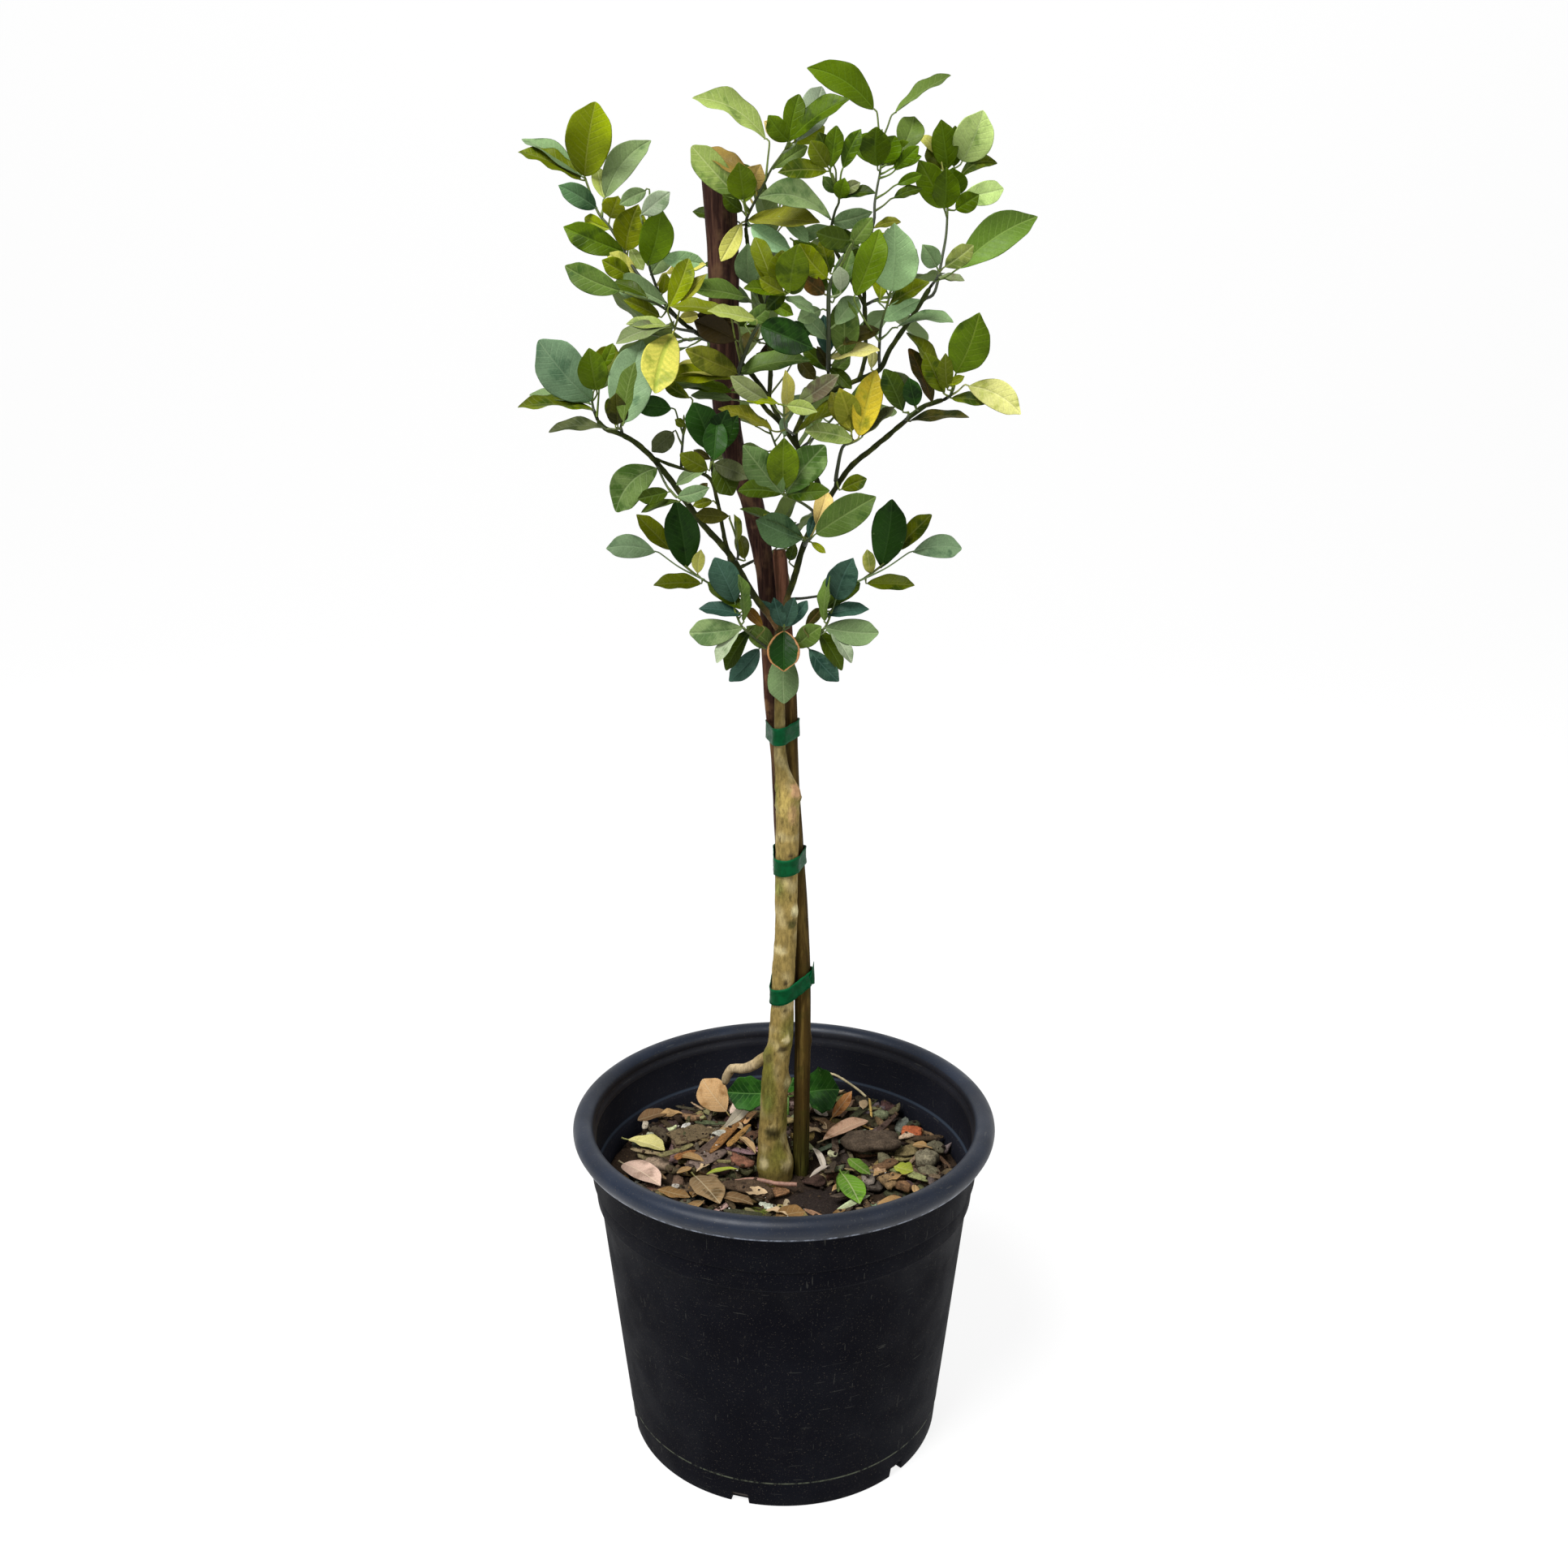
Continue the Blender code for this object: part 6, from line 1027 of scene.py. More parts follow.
# Leaves, by their base, that bow sideways, as a share of their length
ARCHED = {
    (-1.17, 94.6): 0.13, (5.68, 96.35): 0.09, (7.05, 96.15): 0.05, (-11.5, 91.15): -0.09,
    (12.3, 79.35): -0.10, (8.85, 68.35): -0.08, (-8.85, 68.35): 0.08, (-8.6, 74.0): 0.15,
    (7.4, 83.1): -0.13, (11.3, 92.3): -0.18, (3.05, 89.8): 0.14, (2.25, 85.8): 0.05,
    (11.4, 86.8): -0.05, (-11.9, 76.6): 0.06,
}
# Leaves whose tips bend further back, or forward, than in the solid, in cm
BENT = {("shoot_left_elbow", "jade"): 3.2, ("shoot_hub", "veined"): -2.4}
# Shoots whose twigs are old wood
WOODY = ("shoot_right_fork", "shoot_right_inner", "shoot_centre_left", "shoot_right_stem")
# Twigs are drawn stouter than in the solids, and woody ones most; they taper and end bluntly
WOODY_SWELL = 1.7
GREEN_SWELL = 1.15
TWIG_TAPER = 0.4
TWIG_TIP = 0.55
TWIG_STEP = 0.0030
TWIG_SIDES = 8


def twig_shade(share, woody):
    """A twig's colour along its length: dark bark, then green towards the tip, unless it is woody."""
    if woody:
        return blend(SPUR_TINT, TWIG_TINT, share)
    green = blend(SPUR_TINT, TWIG_TINT, smoothstep(0.0, 0.5, share))
    return blend(green, STALK_TINT, smoothstep(0.5, 1.0, share))


def grow_shoots():
    """A twig with its leaves for each leafy shoot; returns the stubs that the twigs stand on."""
    spurs = []
    back_draw = random.Random(BACK_SEED)
    for name, (radius, route, content) in {**SHOOTS, **BACK_SHOOTS}.items():
        spur, twig = cut_route([seen(*place) for place in route], SPUR)
        spurs.append((spur, radius))
        twig[0] = twig[0] + (twig[1] - twig[0]).normalized() * GAP
        if name in SHOOTS:
            leaves = front_leaves(name, content, twig)
        else:
            leaves = back_leaves(name, content, twig, back_draw)
        skin = Skin()
        woody = name in WOODY
        stout = WOODY_SWELL if woody else GREEN_SWELL
        last = len(twig) - 1
        sizes = [radius * CM * stout * (1.0 - TWIG_TAPER * k / last) for k in range(last + 1)]
        places, sizes = curve_through(twig, sizes, TWIG_STEP)
        sizes[-1] *= TWIG_TIP
        sweep(skin, places, sizes, TWIG_SIDES, 1, lambda share, point: twig_shade(share, woody))
        for k, (kind, leaf) in enumerate(leaves):
            leaf.tip = EYE + (leaf.tip - EYE) * size_at(BENT.get((name, kind), 0.0))
            add_leaf(skin, leaf, kind, f"{name} {k}")
        skin.piece("leafy_" + name.removeprefix("shoot_"), [LEAF_MAT, TWIG_MAT], "foliage", name)
    return spurs


# Leaves between those of the shoots: (look, base across, base up, tip across, tip up, width seen, depth of
# base from that of its twig[, its twig, if that isn't the nearest one]), in cm
BETWEEN = {
    "left": [
        ("sage", -8.9, 91.5, -10.6, 90.7, 1.0, 0.3), ("pale", -10.0, 88.1, -9.2, 86.7, 0.9, 0.3),
        ("yellow", -5.6, 83.9, -6.9, 83.7, 0.8, 0.3), ("olive", -4.9, 71.8, -6.2, 71.5, 0.7, 0.2),
        ("lime", -8.0, 85.2, -7.7, 86.5, 0.8, 0.2), ("yellow", -9.6, 86.3, -11.5, 87.7, 1.2, 0.4),
        ("mint", -7.9, 87.4, -5.1, 87.0, 1.2, 0.0), ("sage", -2.2, 84.7, -6.1, 86.0, 1.3, 0.6),
        ("soot", -3.3, 83.4, -5.7, 83.9, 1.2, 0.6), ("peach", -2.3, 91.6, -1.5, 93.1, 1.5, 0.6),
        ("dark", -3.2, 89.7, -5.9, 90.3, 0.9, 3.5), ("moss", -2.6, 91.0, -2.9, 93.2, 1.9, -1.2),
        ("moss", -12.5, 79.1, -12.9, 81.8, 2.0, -1.8), ("moss", -12.1, 80.5, -11.3, 82.1, 0.8, -1.6),
        ("green", -10.75, 77.1, -9.9, 80.9, 1.2, -1.4), ("yellow", -3.7, 80.0, -7.6, 80.35, 0.9, 0.2),
        ("green", -4.0, 79.1, -8.0, 79.6, 0.9, 0.5), ("moss", -3.5, 79.0, -6.4, 79.3, 0.8, -0.2),
        ("sage", -3.4, 78.5, -6.2, 78.8, 0.8, -0.5), ("deep", -4.9, 75.3, -3.8, 77.8, 1.7, -0.6),
        ("deep", -4.5, 77.2, -4.75, 74.6, 1.7, -1.0), ("sage", -5.3, 73.9, -7.3, 72.9, 0.8, 0.0),
        ("brown", -5.9, 72.2, -5.2, 73.0, 0.6, -2.4), ("brown", -4.95, 74.6, -6.1, 75.2, 0.6, 0.3),
        ("bronze", -11.15, 76.9, -11.2, 78.9, 1.5, -1.0)],
    "top": [
        ("green", -0.6, 92.9, 1.5, 94.2, 1.0, 0.6), ("fresh", 0.3, 94.5, -1.0, 96.0, 1.3, -0.4),
        ("fresh", 6.0, 93.0, 5.9, 95.3, 2.0, -1.0), ("fresh", 6.2, 93.1, 8.3, 94.3, 1.2, 0.4),
        ("fresh", 7.0, 92.9, 8.8, 93.6, 0.8, 0.0), ("green", 3.4, 91.4, 2.5, 92.4, 0.8, 0.3),
        ("dusk", 3.6, 91.4, 4.9, 92.0, 0.8, 0.0), ("dark", 4.3, 88.5, 2.1, 89.0, 1.5, -1.5),
        ("green", 4.4, 88.3, 5.7, 89.9, 1.2, -1.0), ("fresh", 10.4, 90.5, 10.4, 92.9, 1.8, -0.8),
        ("dark", 3.2, 93.0, 2.2, 95.0, 1.2, 0.4), ("moss", 10.9, 93.0, 10.9, 95.4, 1.3, 0.4)],
    "middle": [
        ("moss", 4.7, 85.1, 6.2, 89.2, 2.0, -2.4, "shoot_right_mid"),
        ("olive", -0.2, 85.4, -1.8, 87.9, 1.5, 0.5), ("moss", 0.4, 85.4, 0.9, 88.2, 2.2, -0.4),
        ("olive", 0.0, 85.3, -1.6, 86.2, 1.0, -0.5), ("dark", 0.3, 85.3, 1.3, 86.6, 1.2, -0.3),
        ("dark", 2.9, 85.4, 1.5, 87.3, 1.1, 0.6), ("olive", 3.0, 86.6, 2.4, 88.6, 1.2, 0.6),
        ("green", 3.3, 84.9, 4.4, 87.9, 1.3, 1.0), ("deep", -0.9, 82.6, 2.0, 83.0, 1.2, 0.5),
        ("brown", 1.0, 81.1, 2.1, 79.8, 1.0, 0.5), ("teal", 2.9, 81.4, 2.6, 83.9, 1.3, 0.4),
        ("dark", 5.6, 88.0, 3.6, 87.2, 1.0, 0.5), ("green", -2.4, 83.4, -0.9, 84.5, 1.1, 0.9),
        ("sage", 2.4, 84.2, 0.9, 83.6, 1.1, 0.8), ("dark", 0.1, 85.3, -1.2, 84.2, 1.0, 0.5),
        ("mint", -0.1, 89.8, 1.6, 88.4, 0.9, 0.3), ("moss", 0.6, 88.5, 3.1, 86.6, 1.6, 0.8),
        # The first leaf below is painted shade: a near-black leaf put into the dark gap behind the leaves
        # here
        ("soot", -1.6, 81.5, 1.0, 82.3, 0.9, 0.8), ("dark", 2.8, 80.4, 1.2, 81.9, 1.0, 0.6),
        ("green", 3.2, 80.2, 4.4, 81.3, 1.0, 0.8), ("moss", -0.9, 84.6, 0.6, 83.9, 0.9, 0.2)],
    "right": [
        ("umber", 9.9, 78.3, 8.3, 81.8, 1.1, 0.4), ("cream", 5.8, 80.5, 5.9, 81.7, 0.7, 0.0),
        ("dark", 0.4, 67.8, 0.8, 68.9, 0.8, 0.3), ("lime", 11.0, 79.5, 12.0, 80.0, 0.6, 0.0),
        ("jade", 0.0, 76.2, 0.0, 77.4, 0.6, -0.6), ("olive", 1.3, 69.4, -1.4, 70.9, 0.8, -0.8),
        ("sage", 7.2, 85.2, 8.6, 88.0, 1.3, 0.8), ("shadow", 8.6, 78.3, 7.3, 80.3, 1.3, -1.2),
        ("bright", 4.5, 76.4, 3.7, 79.2, 1.8, 0.6)],
    "foot": [row for left in (
        ("dark", -2.2, 63.1, -4.1, 60.1, 1.2, 0.5), ("teal", -3.0, 64.0, -5.9, 64.45, 1.0, 0.0),
        ("teal", -0.4, 63.2, -1.6, 65.0, 0.9, 0.3), ("dark", -0.3, 61.9, -2.2, 62.6, 1.0, -0.8),
    ) for row in (left, *mirrored([left]))],
}


def routes():
    """Every twig and limb that carries leaves, as its table has it."""
    limbs = [route for name, (_, _, route) in LIMBS.items() if name != "dead_stub"]
    return limbs + [route for _, route, _ in SHOOTS.values()]


def off_route(route, across, up):
    """How far a place in the front view is from a route, in cm."""
    place = Vector((across, up))
    best = math.inf
    for a, b in zip(route, route[1:]):
        start, end = Vector(a[:2]), Vector(b[:2])
        step = end - start
        share = min(max((place - start).dot(step) / max(step.length_squared, 0.0001), 0.0), 1.0)
        best = min(best, (place - start - step * share).length)
    return best


def grow_between():
    """The leaves between, each on the nearest twig or limb."""
    every = routes()
    for part, rows in BETWEEN.items():
        skin = Skin()
        for k, row in enumerate(rows):
            look, across, up = row[:3]
            if len(row) > 7:
                route = SHOOTS[row[7]][1]
            else:
                route = min(every, key=lambda r: off_route(r, across, up))
            leaf = placed_leaf(row[:6], [seen(*place) for place in route], row[6], 0.0, 0.0, 1.0)
            add_leaf(skin, leaf, look, f"{part} {k}")
        skin.piece("leaves_between_" + part, [LEAF_MAT, TWIG_MAT], "foliage")


# Bark colours along the tree
BARK_TAN = rgb("8c7844")
BARK_CREAM = rgb("b8a878")
BARK_GREEN = rgb("666626")
BARK_DARK = rgb("33280f")
BARK_FOOT = rgb("6a5a2c")
SCION_DARK_AND_SHADE = rgb("4c4420")
LIMB_GREEN = rgb("262c0e")
DEAD_WOOD = rgb("b39f7c")
KNUCKLE = rgb("a97f55")

# Marks on the trunk: height in cm, bearing in degrees from the front, height and width of the mark in cm,
# colour and strength
# Some are painted light: the cream marks on the knots are partly painted highlights, and the dark marks just
# under some knots are painted shade
BARK_MARKS_AND_KNOT_LIGHT = [
    (49.8, 25, 0.8, 0.4, "ab8a60", 0.8), (50.6, -20, 1.1, 0.6, "b39c58", 0.7),
    (49.0, -10, 0.14, 0.9, "2e2615", 0.9), (51.4, 50, 0.5, 0.5, "b98d6c", 0.7),
    (46.65, 18, 0.22, 0.25, "33291a", 0.9), (36.7, 12, 0.22, 0.22, "33291a", 0.9),
    (34.5, 12, 0.20, 0.20, "3b2f1c", 0.8), (42.35, 48, 0.45, 0.35, "c9bf92", 0.9),
    (41.3, 32, 0.35, 0.4, "3a3d1a", 0.8), (39.3, -35, 0.35, 0.7, "bfb184", 0.7),
    (32.15, 26, 0.30, 0.30, "c9bb8b", 0.9), (31.4, 14, 0.25, 0.4, "33291a", 0.8),
    (24.5, -2, 0.60, 0.50, "4c4420", 0.9), (24.5, -2, 0.25, 0.22, "2c2612", 0.8),
    (21.9, -40, 0.5, 0.3, "bcae82", 0.8), (21.7, 42, 0.5, 0.3, "b7a777", 0.8),
    (44.0, -50, 0.5, 0.5, "8a8d4a", 0.6), (28.4, 60, 0.6, 0.3, "b3a778", 0.7),
    (30.6, -40, 0.5, 0.3, "4a4022", 0.7), (27.0, -30, 0.7, 0.4, "6f7538", 0.6),
    (37.8, 120, 0.5, 0.4, "4a4022", 0.8), (43.5, 160, 0.6, 0.4, "c0b283", 0.8),
    (33.0, 200, 0.6, 0.4, "4a4022", 0.8), (26.5, 170, 0.5, 0.5, "4c4420", 0.9),
    (48.0, 210, 0.5, 0.6, "b98d6c", 0.7), (22.5, 190, 0.8, 0.6, "bcae82", 0.7),
]

# The trunk's radius, in cm, on which knots and marks are laid
TRUNK_GIRTH = 0.9
MARK_GIRTH = 0.85
# Limbs are drawn stouter than in the solids
LIMB_SWELL = 1.2
LIMB_TIP = 0.6
SPUR_SWELL = 1.12
# Rings along trunk, limbs and stubs: corners of each and metres between them
TRUNK_RINGS = (44, 0.0022)
LIMB_RINGS = (12, 0.0028)
SPUR_RINGS = (10, 0.0025)


def turn_from(facing, bearing):
    """How far a bearing is turned from another, from -180 to 180 degrees."""
    return (bearing - facing + 180.0) % 360.0 - 180.0


def knot_rise(up, bearing):
    """How far the knots and scars lift the bark at this height (cm) and bearing (degrees), in metres."""
    total = 0.0
    for height, facing, rise, spread in KNOTS:
        off = math.hypot(up - height, math.radians(turn_from(facing, bearing)) * TRUNK_GIRTH) / spread
        total += rise * math.exp(-off * off)
    return total * CM


def bark_tint(up, bearing, point):
    """The trunk's colour at a height (cm) and bearing (degrees)."""
    patch = noise.noise(point * 95.0 + Vector((3.0, 0.0, 0.0)))
    moss = noise.noise(Vector((point.x * 60.0, point.y * 60.0, point.z * 28.0)) + Vector((9.0, 4.0, 1.0)))
    moss = smoothstep(-0.05, 0.45, moss + 0.35 - 0.5 * smoothstep(24.0, 36.0, up))
    tint = blend(BARK_TAN, BARK_CREAM, smoothstep(-0.05, 0.55, patch) * 0.75)
    tint = blend(tint, BARK_GREEN, moss * 0.8)
    tint = blend(tint, BARK_FOOT, 1.0 - smoothstep(19.5, 23.5, up))
    # Darker above the graft: partly the scion's own darker bark and partly painted shade where it stands
    # between the stakes
    tint = blend(tint, SCION_DARK_AND_SHADE, smoothstep(51.6, 53.2, up) * 0.55)
    tint = blend(tint, LIMB_GREEN, smoothstep(57.5, 62.5, up) * 0.8)
    ragged = 1.0 + 0.5 * noise.noise(point * 420.0)
    # Marks, among them painted highlights and painted shade at the knots
    for height, facing, tall, wide, colour, strength in BARK_MARKS_AND_KNOT_LIGHT:
        across = math.radians(turn_from(facing, bearing)) * MARK_GIRTH / wide
        off = math.hypot((up - height) / tall, across) * ragged
        tint = blend(tint, rgb(colour), strength * (1.0 - smoothstep(0.55, 1.25, off)))
    return tint


def stem(rings):
    """The places and radii of an upright stem's table, in metres."""
    return [seen(*ring[:3]) for ring in rings], [ring[3] * CM * size_at(ring[2]) for ring in rings]


def level_rings(skin, rings, sides, step, rise, tint):
    """An upright stem of level rings; rise and tint take the height (cm), bearing (degrees) and point."""
    points, radii = stem(rings)
    made = []
    for place, size in zip(*curve_through(points, radii, step)):
        up = up_of(place, rings, points)
        ring = []
        for j in range(sides):
            angle = math.tau * j / sides
            way = Vector(around(1.0, angle))
            bearing = math.degrees(angle)
            point = place + way * (size + rise(up, bearing, place + way * size))
            ring.append(skin.vert(point, tint(up, bearing, point)))
        made.append(ring)
    close_rings(skin, made)


def up_of(place, rings, points):
    """The table height, in cm, of a place on a stem."""
    for low, high, below, above in zip(rings, rings[1:], points, points[1:]):
        if place.z <= above.z:
            share = max(place.z - below.z, 0.0) / (above.z - below.z)
            return low[1] + (high[1] - low[1]) * share
    return rings[-1][1]


def make_bark_material():
    """Streaked and cracked bark."""
    n = Nodes("bark")
    tall = n.place((1.0, 1.0, 0.35))
    streak = n.ramp(n.noise(420.0, 4.0, tall), 0.32, 0.68, 0.72, 1.22)
    speck = n.ramp(n.noise(1500.0, 2.0), 0.60, 0.72, 1.0, 0.55)
    colour = n.shade(n.value("tint"), n.times(streak, speck))
    crack = n.ramp(n.noise(240.0, 5.0, tall, rough=0.7), 0.56, 0.66, 0.0, 0.55)
    colour = n.mix(crack, colour, BARK_DARK)
    relief = n.bump(n.noise(650.0, 5.0, tall), 0.0007, 0.8)
    relief = n.bump(n.noise(2200.0, 2.0), 0.0002, 0.5, relief)
    return n.finish(colour, 0.78, relief, 0.12)


def bark_rise(up, bearing, point):
    """How far the bark stands off the trunk, with its knots, its grain and the scar of the graft."""
    fine = noise.noise(point * 260.0) * 0.00022 + noise.noise(point * 90.0) * 0.0004
    scar = 0.0011 * noise.noise(point * 330.0) * math.exp(-((up - 50.6) / 1.3) ** 2)
    return knot_rise(up, bearing) + fine * smoothstep(64.0, 50.0, up) + scar


def make_wood(spurs):
    """The grown tree: trunk, limbs, and the stubs that the leafy twigs stand on."""
    skin = Skin()
    level_rings(skin, TRUNK, *TRUNK_RINGS, bark_rise, bark_tint)
    sides, step = LIMB_RINGS
    for name, (start, end, route) in LIMBS.items():
        last = len(route) - 1
        stout = 1.0 if name == "dead_stub" else LIMB_SWELL
        radii = [(start + (end - start) * k / last) * stout * CM for k in range(last + 1)]
        places, sizes = curve_through([seen(*place) for place in route], radii, step)
        sizes[-1] *= LIMB_TIP
        sweep(skin, places, sizes, sides, 0, limb_paint(name), lambda p: 0.00045 * noise.noise(p * 240.0))
    sides, step = SPUR_RINGS
    for spur, radius in spurs:
        places, sizes = curve_through(spur, [radius * CM * SPUR_SWELL] * len(spur), step)
        sweep(skin, places, sizes, sides, 0, lambda share, point: SPUR_TINT)
    skin.piece("grown_wood", [make_bark_material()], "bark", "trunk")


def limb_paint(name):
    """The paint of a limb; the two main ones are tan where they leave the trunk."""
    if name == "dead_stub":
        return lambda share, point: blend(BARK_TAN, DEAD_WOOD, smoothstep(0.0, 0.4, share))

    def paint(share, point):
        mottle = smoothstep(0.1, 0.6, noise.noise(point * 160.0))
        near = 1.0 - smoothstep(0.0, 0.16, share)
        tint = blend(LIMB_GREEN, blend(TWIG_TINT, BARK_GREEN, 0.35), mottle)
        tint = blend(tint, TWIG_TINT, smoothstep(0.6, 1.0, share) * 0.6)
        return blend(tint, KNUCKLE, near * (0.75 if name in ("left", "right") else 0.0))

    return paint


# Stakes: rings, and colours of base, streak and blotches
SHORT_RINGS = (30, 0.004)
TALL_RINGS = (36, 0.004)
STAKE_OLIVE = (rgb("3c2d10"), rgb("5c4a22"), rgb("36320e"))
STAKE_DARK = (rgb("301c17"), rgb("553a2e"), rgb("6a5038"))


def make_stake_material(name, shades, stripes, grooves):
    """Wood with its grain along the stake: base, streak and blotch colours."""
    n = Nodes(name)
    tall = n.place((1.0, 1.0, 0.06))
    grain = n.noise(stripes, 4.0, tall, rough=0.65, warp=0.4)
    colour = n.mix(n.ramp(grain, 0.46, 0.66), shades[0], shades[1])
    colour = n.mix(n.times(n.ramp(n.noise(60.0, 3.0), 0.50, 0.68), 0.6), colour, shades[2])
    dark = n.ramp(n.noise(grooves, 5.0, tall, rough=0.7), 0.30, 0.46, 0.35, 1.0)
    colour = n.shade(colour, dark)
    colour = n.mix(1.0, colour, n.value("tint"), "MULTIPLY")
    relief = n.bump(n.noise(grooves, 5.0, tall, rough=0.7), 0.0009, 0.9)
    relief = n.bump(n.noise(1600.0, 3.0), 0.0002, 0.5, relief)
    return n.finish(colour, 0.8, relief, 0.1)


def short_rise(up, bearing, point):
    """A small knot on a nearly smooth stake."""
    bump = 0.0011 * math.exp(-((up - 31.8) / 0.5) ** 2 - (((bearing - 80.0) / 40.0) ** 2))
    return bump + 0.00030 * noise.noise(Vector((point.x * 330.0, point.y * 330.0, point.z * 25.0)))


def short_tint(up, bearing, point):
    """Pale along its front, mossy at its foot and redder towards its top."""
    stripe = math.exp(-((turn_from(0.0, bearing) - 8.0) / 26.0) ** 2) * smoothstep(23.0, 27.0, up)
    moss = 1.0 - smoothstep(22.0, 27.0, up)
    red = smoothstep(56.0, 63.0, up)
    warm = (1.0 - 0.15 * moss + 0.5 * red, 1.0 + 0.20 * moss, 1.0 - 0.1 * moss + 1.5 * red)
    return tuple((0.90 + 0.45 * stripe) * share for share in warm)


def tall_rise(up, bearing, point):
    """Long ridges, fine grooves and a broken end."""
    way = math.radians(bearing)
    ridge = noise.noise(Vector((math.sin(way) * 3.2, math.cos(way) * 3.2, point.z * 9.0)))
    rough = noise.noise(Vector((point.x * 420.0, point.y * 420.0, point.z * 40.0)))
    end = smoothstep(92.2, 93.5, up) * 0.0012 * noise.noise(point * 500.0)
    return 0.0010 * ridge + 0.0005 * rough + end


def tall_tint(up, bearing, point):
    """Dark, with a worn patch on its left."""
    left = math.exp(-((turn_from(0.0, bearing) + 55.0) / 30.0) ** 2) * smoothstep(53.0, 56.0, up)
    left *= 1.0 - smoothstep(61.0, 63.0, up)
    level = 0.8 + 0.25 * noise.noise(Vector((point.x * 200.0, point.y * 200.0, point.z * 14.0)))
    return tuple(level * (1.0 + k * left) for k in (2.2, 2.2, 1.6))


def make_stakes():
    """A smooth olive-brown stake beside the trunk and a rough dark one behind it."""
    skin = Skin()
    level_rings(skin, SHORT_STAKE, *SHORT_RINGS, short_rise, short_tint)
    mat = make_stake_material("stake_olive", STAKE_OLIVE, 300.0, 500.0)
    skin.piece("stake_beside", [mat], "stake_olive", "stake_short")
    skin = Skin()
    level_rings(skin, TALL_STAKE, *TALL_RINGS, tall_rise, tall_tint)
    mat = make_stake_material("stake_dark", STAKE_DARK, 260.0, 420.0)
    skin.piece("stake_behind", [mat], "stake_dark", "stake_tall")


# Tape, in metres: its width, how far it lies off the wood, and between its two sides
TAPE_WIDTH = 0.0125
TAPE_OFF = 0.0008
TAPE_LAYER = 0.00045
TAPE_STEP = 0.0012
TAPE_SPOTS = 72
LANES = 7
TAIL_LANES = 5
TAIL_ROWS = 12
TAIL_SIDE = Vector((0.70, 0.71, 0.0))
TAIL_OUT = Vector((0.71, -0.70, 0.0))


def at_height(rings, height):
    """Where a stem is at a height, and its radius."""
    places = list(zip(*stem(rings)))
    for (low, low_radius), (high, high_radius) in zip(places, places[1:]):
        if low.z <= height <= high.z:
            share = (height - low.z) / (high.z - low.z)
            return low.lerp(high, share), low_radius + (high_radius - low_radius) * share
    return places[-1]


def turns_right(a, b, c):
    """Whether the way over three places turns right, or not at all, seen from above."""
    return (b.x - a.x) * (c.y - a.y) - (b.y - a.y) * (c.x - a.x) <= 1e-12


def tape_line(height):
    """The closed line, on the stems, that the tape follows round the trunk and the stakes."""
    spots = []
    for rings in (TRUNK, SHORT_STAKE, TALL_STAKE):
        centre, radius = at_height(rings, height)
        ways = [Vector(around(1.0, math.tau * k / TAPE_SPOTS)) for k in range(TAPE_SPOTS)]
        spots += [centre + way * (radius + TAPE_OFF) for way in ways]
    spots.sort(key=lambda spot: (spot.x, spot.y))
    line = []
    for row in (spots, spots[::-1]):
        hull = []
        for spot in row:
            while len(hull) > 1 and turns_right(hull[-2], hull[-1], spot):
                hull.pop()
            hull.append(spot)
        line += hull[:-1]
    line.append(line[0])
    total = length_of(line)
    count = int(total / TAPE_STEP)
    return [point_on(line, total * k / count) for k in range(count)]


def make_tape_material():
    """Hazy green tape, scuffed, and paler at its edges with a painted highlight."""
    n = Nodes("tape")
    haze = n.ramp(n.noise(180.0, 3.0), 0.35, 0.65)
    colour = n.mix(haze, rgb("003c1c"), rgb("004a26"))
    scuff = n.ramp(n.noise(900.0, 3.0, n.place((1.0, 1.0, 0.2))), 0.62, 0.72)
    colour = n.mix(n.times(scuff, 0.10), colour, rgb("1e6a46"))
    # Painted highlight: paler towards the tape's edges
    colour = n.mix(n.value("rim", "Fac"), colour, rgb("045c34"))
    relief = n.bump(n.noise(380.0, 3.0, n.place((1.0, 1.0, 3.0))), 0.0005, 0.6)
    return n.finish(colour, n.ramp(n.noise(260.0), 0.3, 0.7, 0.36, 0.52), relief, 0.08)


def tape_spots(lanes):
    """The points of a cross section: each layer's distance, and the place across from -1 to 1."""
    return [(layer, 2.0 * j / (lanes - 1) - 1.0) for layer in (0.0, TAPE_LAYER) for j in range(lanes)]


def tape_faces(skin, low, high, turned=False):
    """Faces between two cross sections of tape: both layers and both edges."""
    lanes = len(low) // 2
    for j in range(lanes - 1):
        a, b = (j, j + 1) if turned else (j + 1, j)
        skin.face((low[a], low[b], high[b], high[a]))
        skin.face((low[lanes + b], low[lanes + a], high[lanes + a], high[lanes + b]))
    for inner, outer in ((0, lanes), (-1, lanes - 1)):
        a, b = (outer, inner) if turned else (inner, outer)
        skin.face((low[a], low[b], high[b], high[a]))


